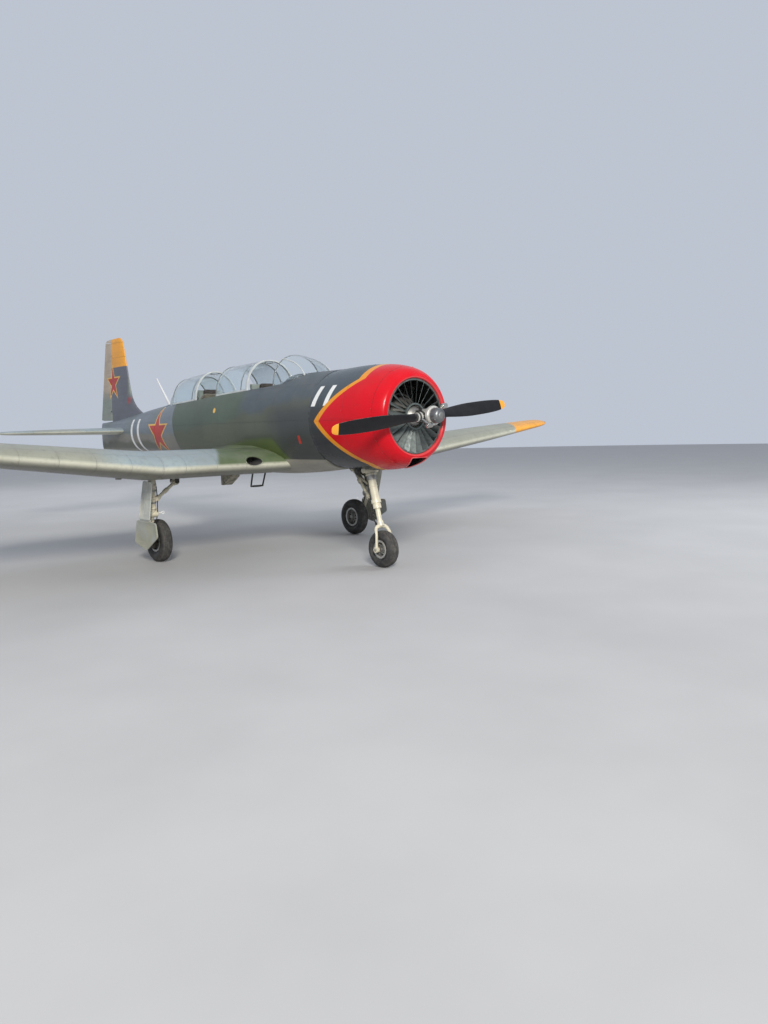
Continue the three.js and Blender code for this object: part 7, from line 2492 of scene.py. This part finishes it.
for (name, side), paint in zip(SIDES, (RED_LENS, GREEN_LENS)):
    at = (side * TIP_LAMP_X, 2.385, wing_z(TIP_LAMP_X) + 0.004)
    lens = turned(lens_line, at, (side * -0.35, 1, 0), 28)
    piece(f"tip_lamp_{name}", lens, "airframe", paint)
tail_lamp = turned([(0.016, 0.0), (0.015, 0.008), (0.009, 0.014), (0.0, 0.016)], (0, TAIL_END + 0.010, 1.46), "Y", 24)
piece("tail_lamp", tail_lamp, "airframe", DIAL_GLASS)
print("pieces so far:", len(PIECES))

# %% [markdown]
# ## Floor, light and camera
# The aircraft stands in a plain pale studio that is large enough for its shadow: one wide disc, a soft sky and
# a broad key light high on its right, where the sun stood. The camera repeats the photograph's view from eye
# height off the right wing tip.

# %% The stage
FLOOR_RADIUS, FLOOR_DEPTH = 45.0, 0.05
edge_turns = np.linspace(0, FULL, 128, endpoint=False)
disc = [(FLOOR_RADIUS * math.cos(t), FLOOR_RADIUS * math.sin(t)) for t in edge_turns]
ground = mesh_object("studio_floor", plate(disc, -FLOOR_DEPTH, 0.0, "Z"))
floor_paint, tree, shader = new_material("studio floor")
tone = noise(tree, use_group(tree, STATION)["Place"], 0.8, 4.0)
colour = blend_colour(tree, shift_range(tree, tone, 0.35, 0.65), (0.44, 0.435, 0.43), (0.47, 0.465, 0.46))
set_shader(tree, shader, Base_Color=colour, Roughness=shift_range(tree, tone, 0.3, 0.7, 0.7, 0.8))
ground.data.materials.append(floor_paint)

world = bpy.data.worlds.new("studio sky")
bpy.context.scene.world = world
world.use_nodes = True
sky = world.node_tree.nodes["Background"]
SKY_COLOUR, SKY_STRENGTH = (0.80, 0.87, 1.0, 1), 0.64
sky.inputs["Color"].default_value = SKY_COLOUR
sky.inputs["Strength"].default_value = SKY_STRENGTH


def area_light(name, at, towards, size, power, colour, mirrored_in_gloss=True):
    lamp = bpy.data.lights.new(name, "AREA")
    lamp.shape, lamp.size, lamp.energy, lamp.color = "DISK", size, power, colour
    obj = bpy.data.objects.new(name, lamp)
    bpy.context.scene.collection.objects.link(obj)
    obj.location = at
    obj.rotation_euler = (Vector(towards) - Vector(at)).to_track_quat("-Z", "Y").to_euler()
    obj.visible_glossy = obj.visible_transmission = mirrored_in_gloss


area_light("key", (-16.0, -26.0, 14.5), (0, -1.0, 1.2), 6.0, 9300, (1.0, 0.965, 0.90))
area_light("fill", (9.0, -8.0, 7.0), (0, 0, 1.2), 7.0, 500, (0.90, 0.95, 1.0), False)
area_light("rear", (3.0, 12.0, 9.0), (0, 1.0, 1.4), 6.0, 400, (0.95, 0.97, 1.0), False)

# %% The camera
PICTURE_HEIGHT, SENSOR = 1024, 36.0
EYE = (-5.4238, -5.4738, 1.4959)
YAW, PITCH, ROLL, FOCAL_PIXELS = 0.7226, -0.1087, -0.0245, 770.24
ahead = Vector((math.sin(YAW) * math.cos(PITCH), math.cos(YAW) * math.cos(PITCH), math.sin(PITCH)))
right = Vector((math.cos(YAW), -math.sin(YAW), 0))
upward = right.cross(ahead)
turned_right = right * math.cos(ROLL) + upward * math.sin(ROLL)
turned_up = upward * math.cos(ROLL) - right * math.sin(ROLL)
view = bpy.data.cameras.new("photograph")
view.sensor_fit, view.sensor_width = "AUTO", SENSOR
view.lens = SENSOR * FOCAL_PIXELS / PICTURE_HEIGHT
view.clip_end = 200
camera = bpy.data.objects.new("photograph", view)
bpy.context.scene.collection.objects.link(camera)
turn = Matrix((turned_right, turned_up, -ahead)).transposed().to_4x4()
camera.matrix_world = Matrix.Translation((EYE[0], EYE[1] + PROP_Y, EYE[2])) @ turn
bpy.context.scene.camera = camera
bpy.context.scene.view_settings.view_transform = "Standard"
print("camera at", [round(part, 3) for part in camera.matrix_world.translation])
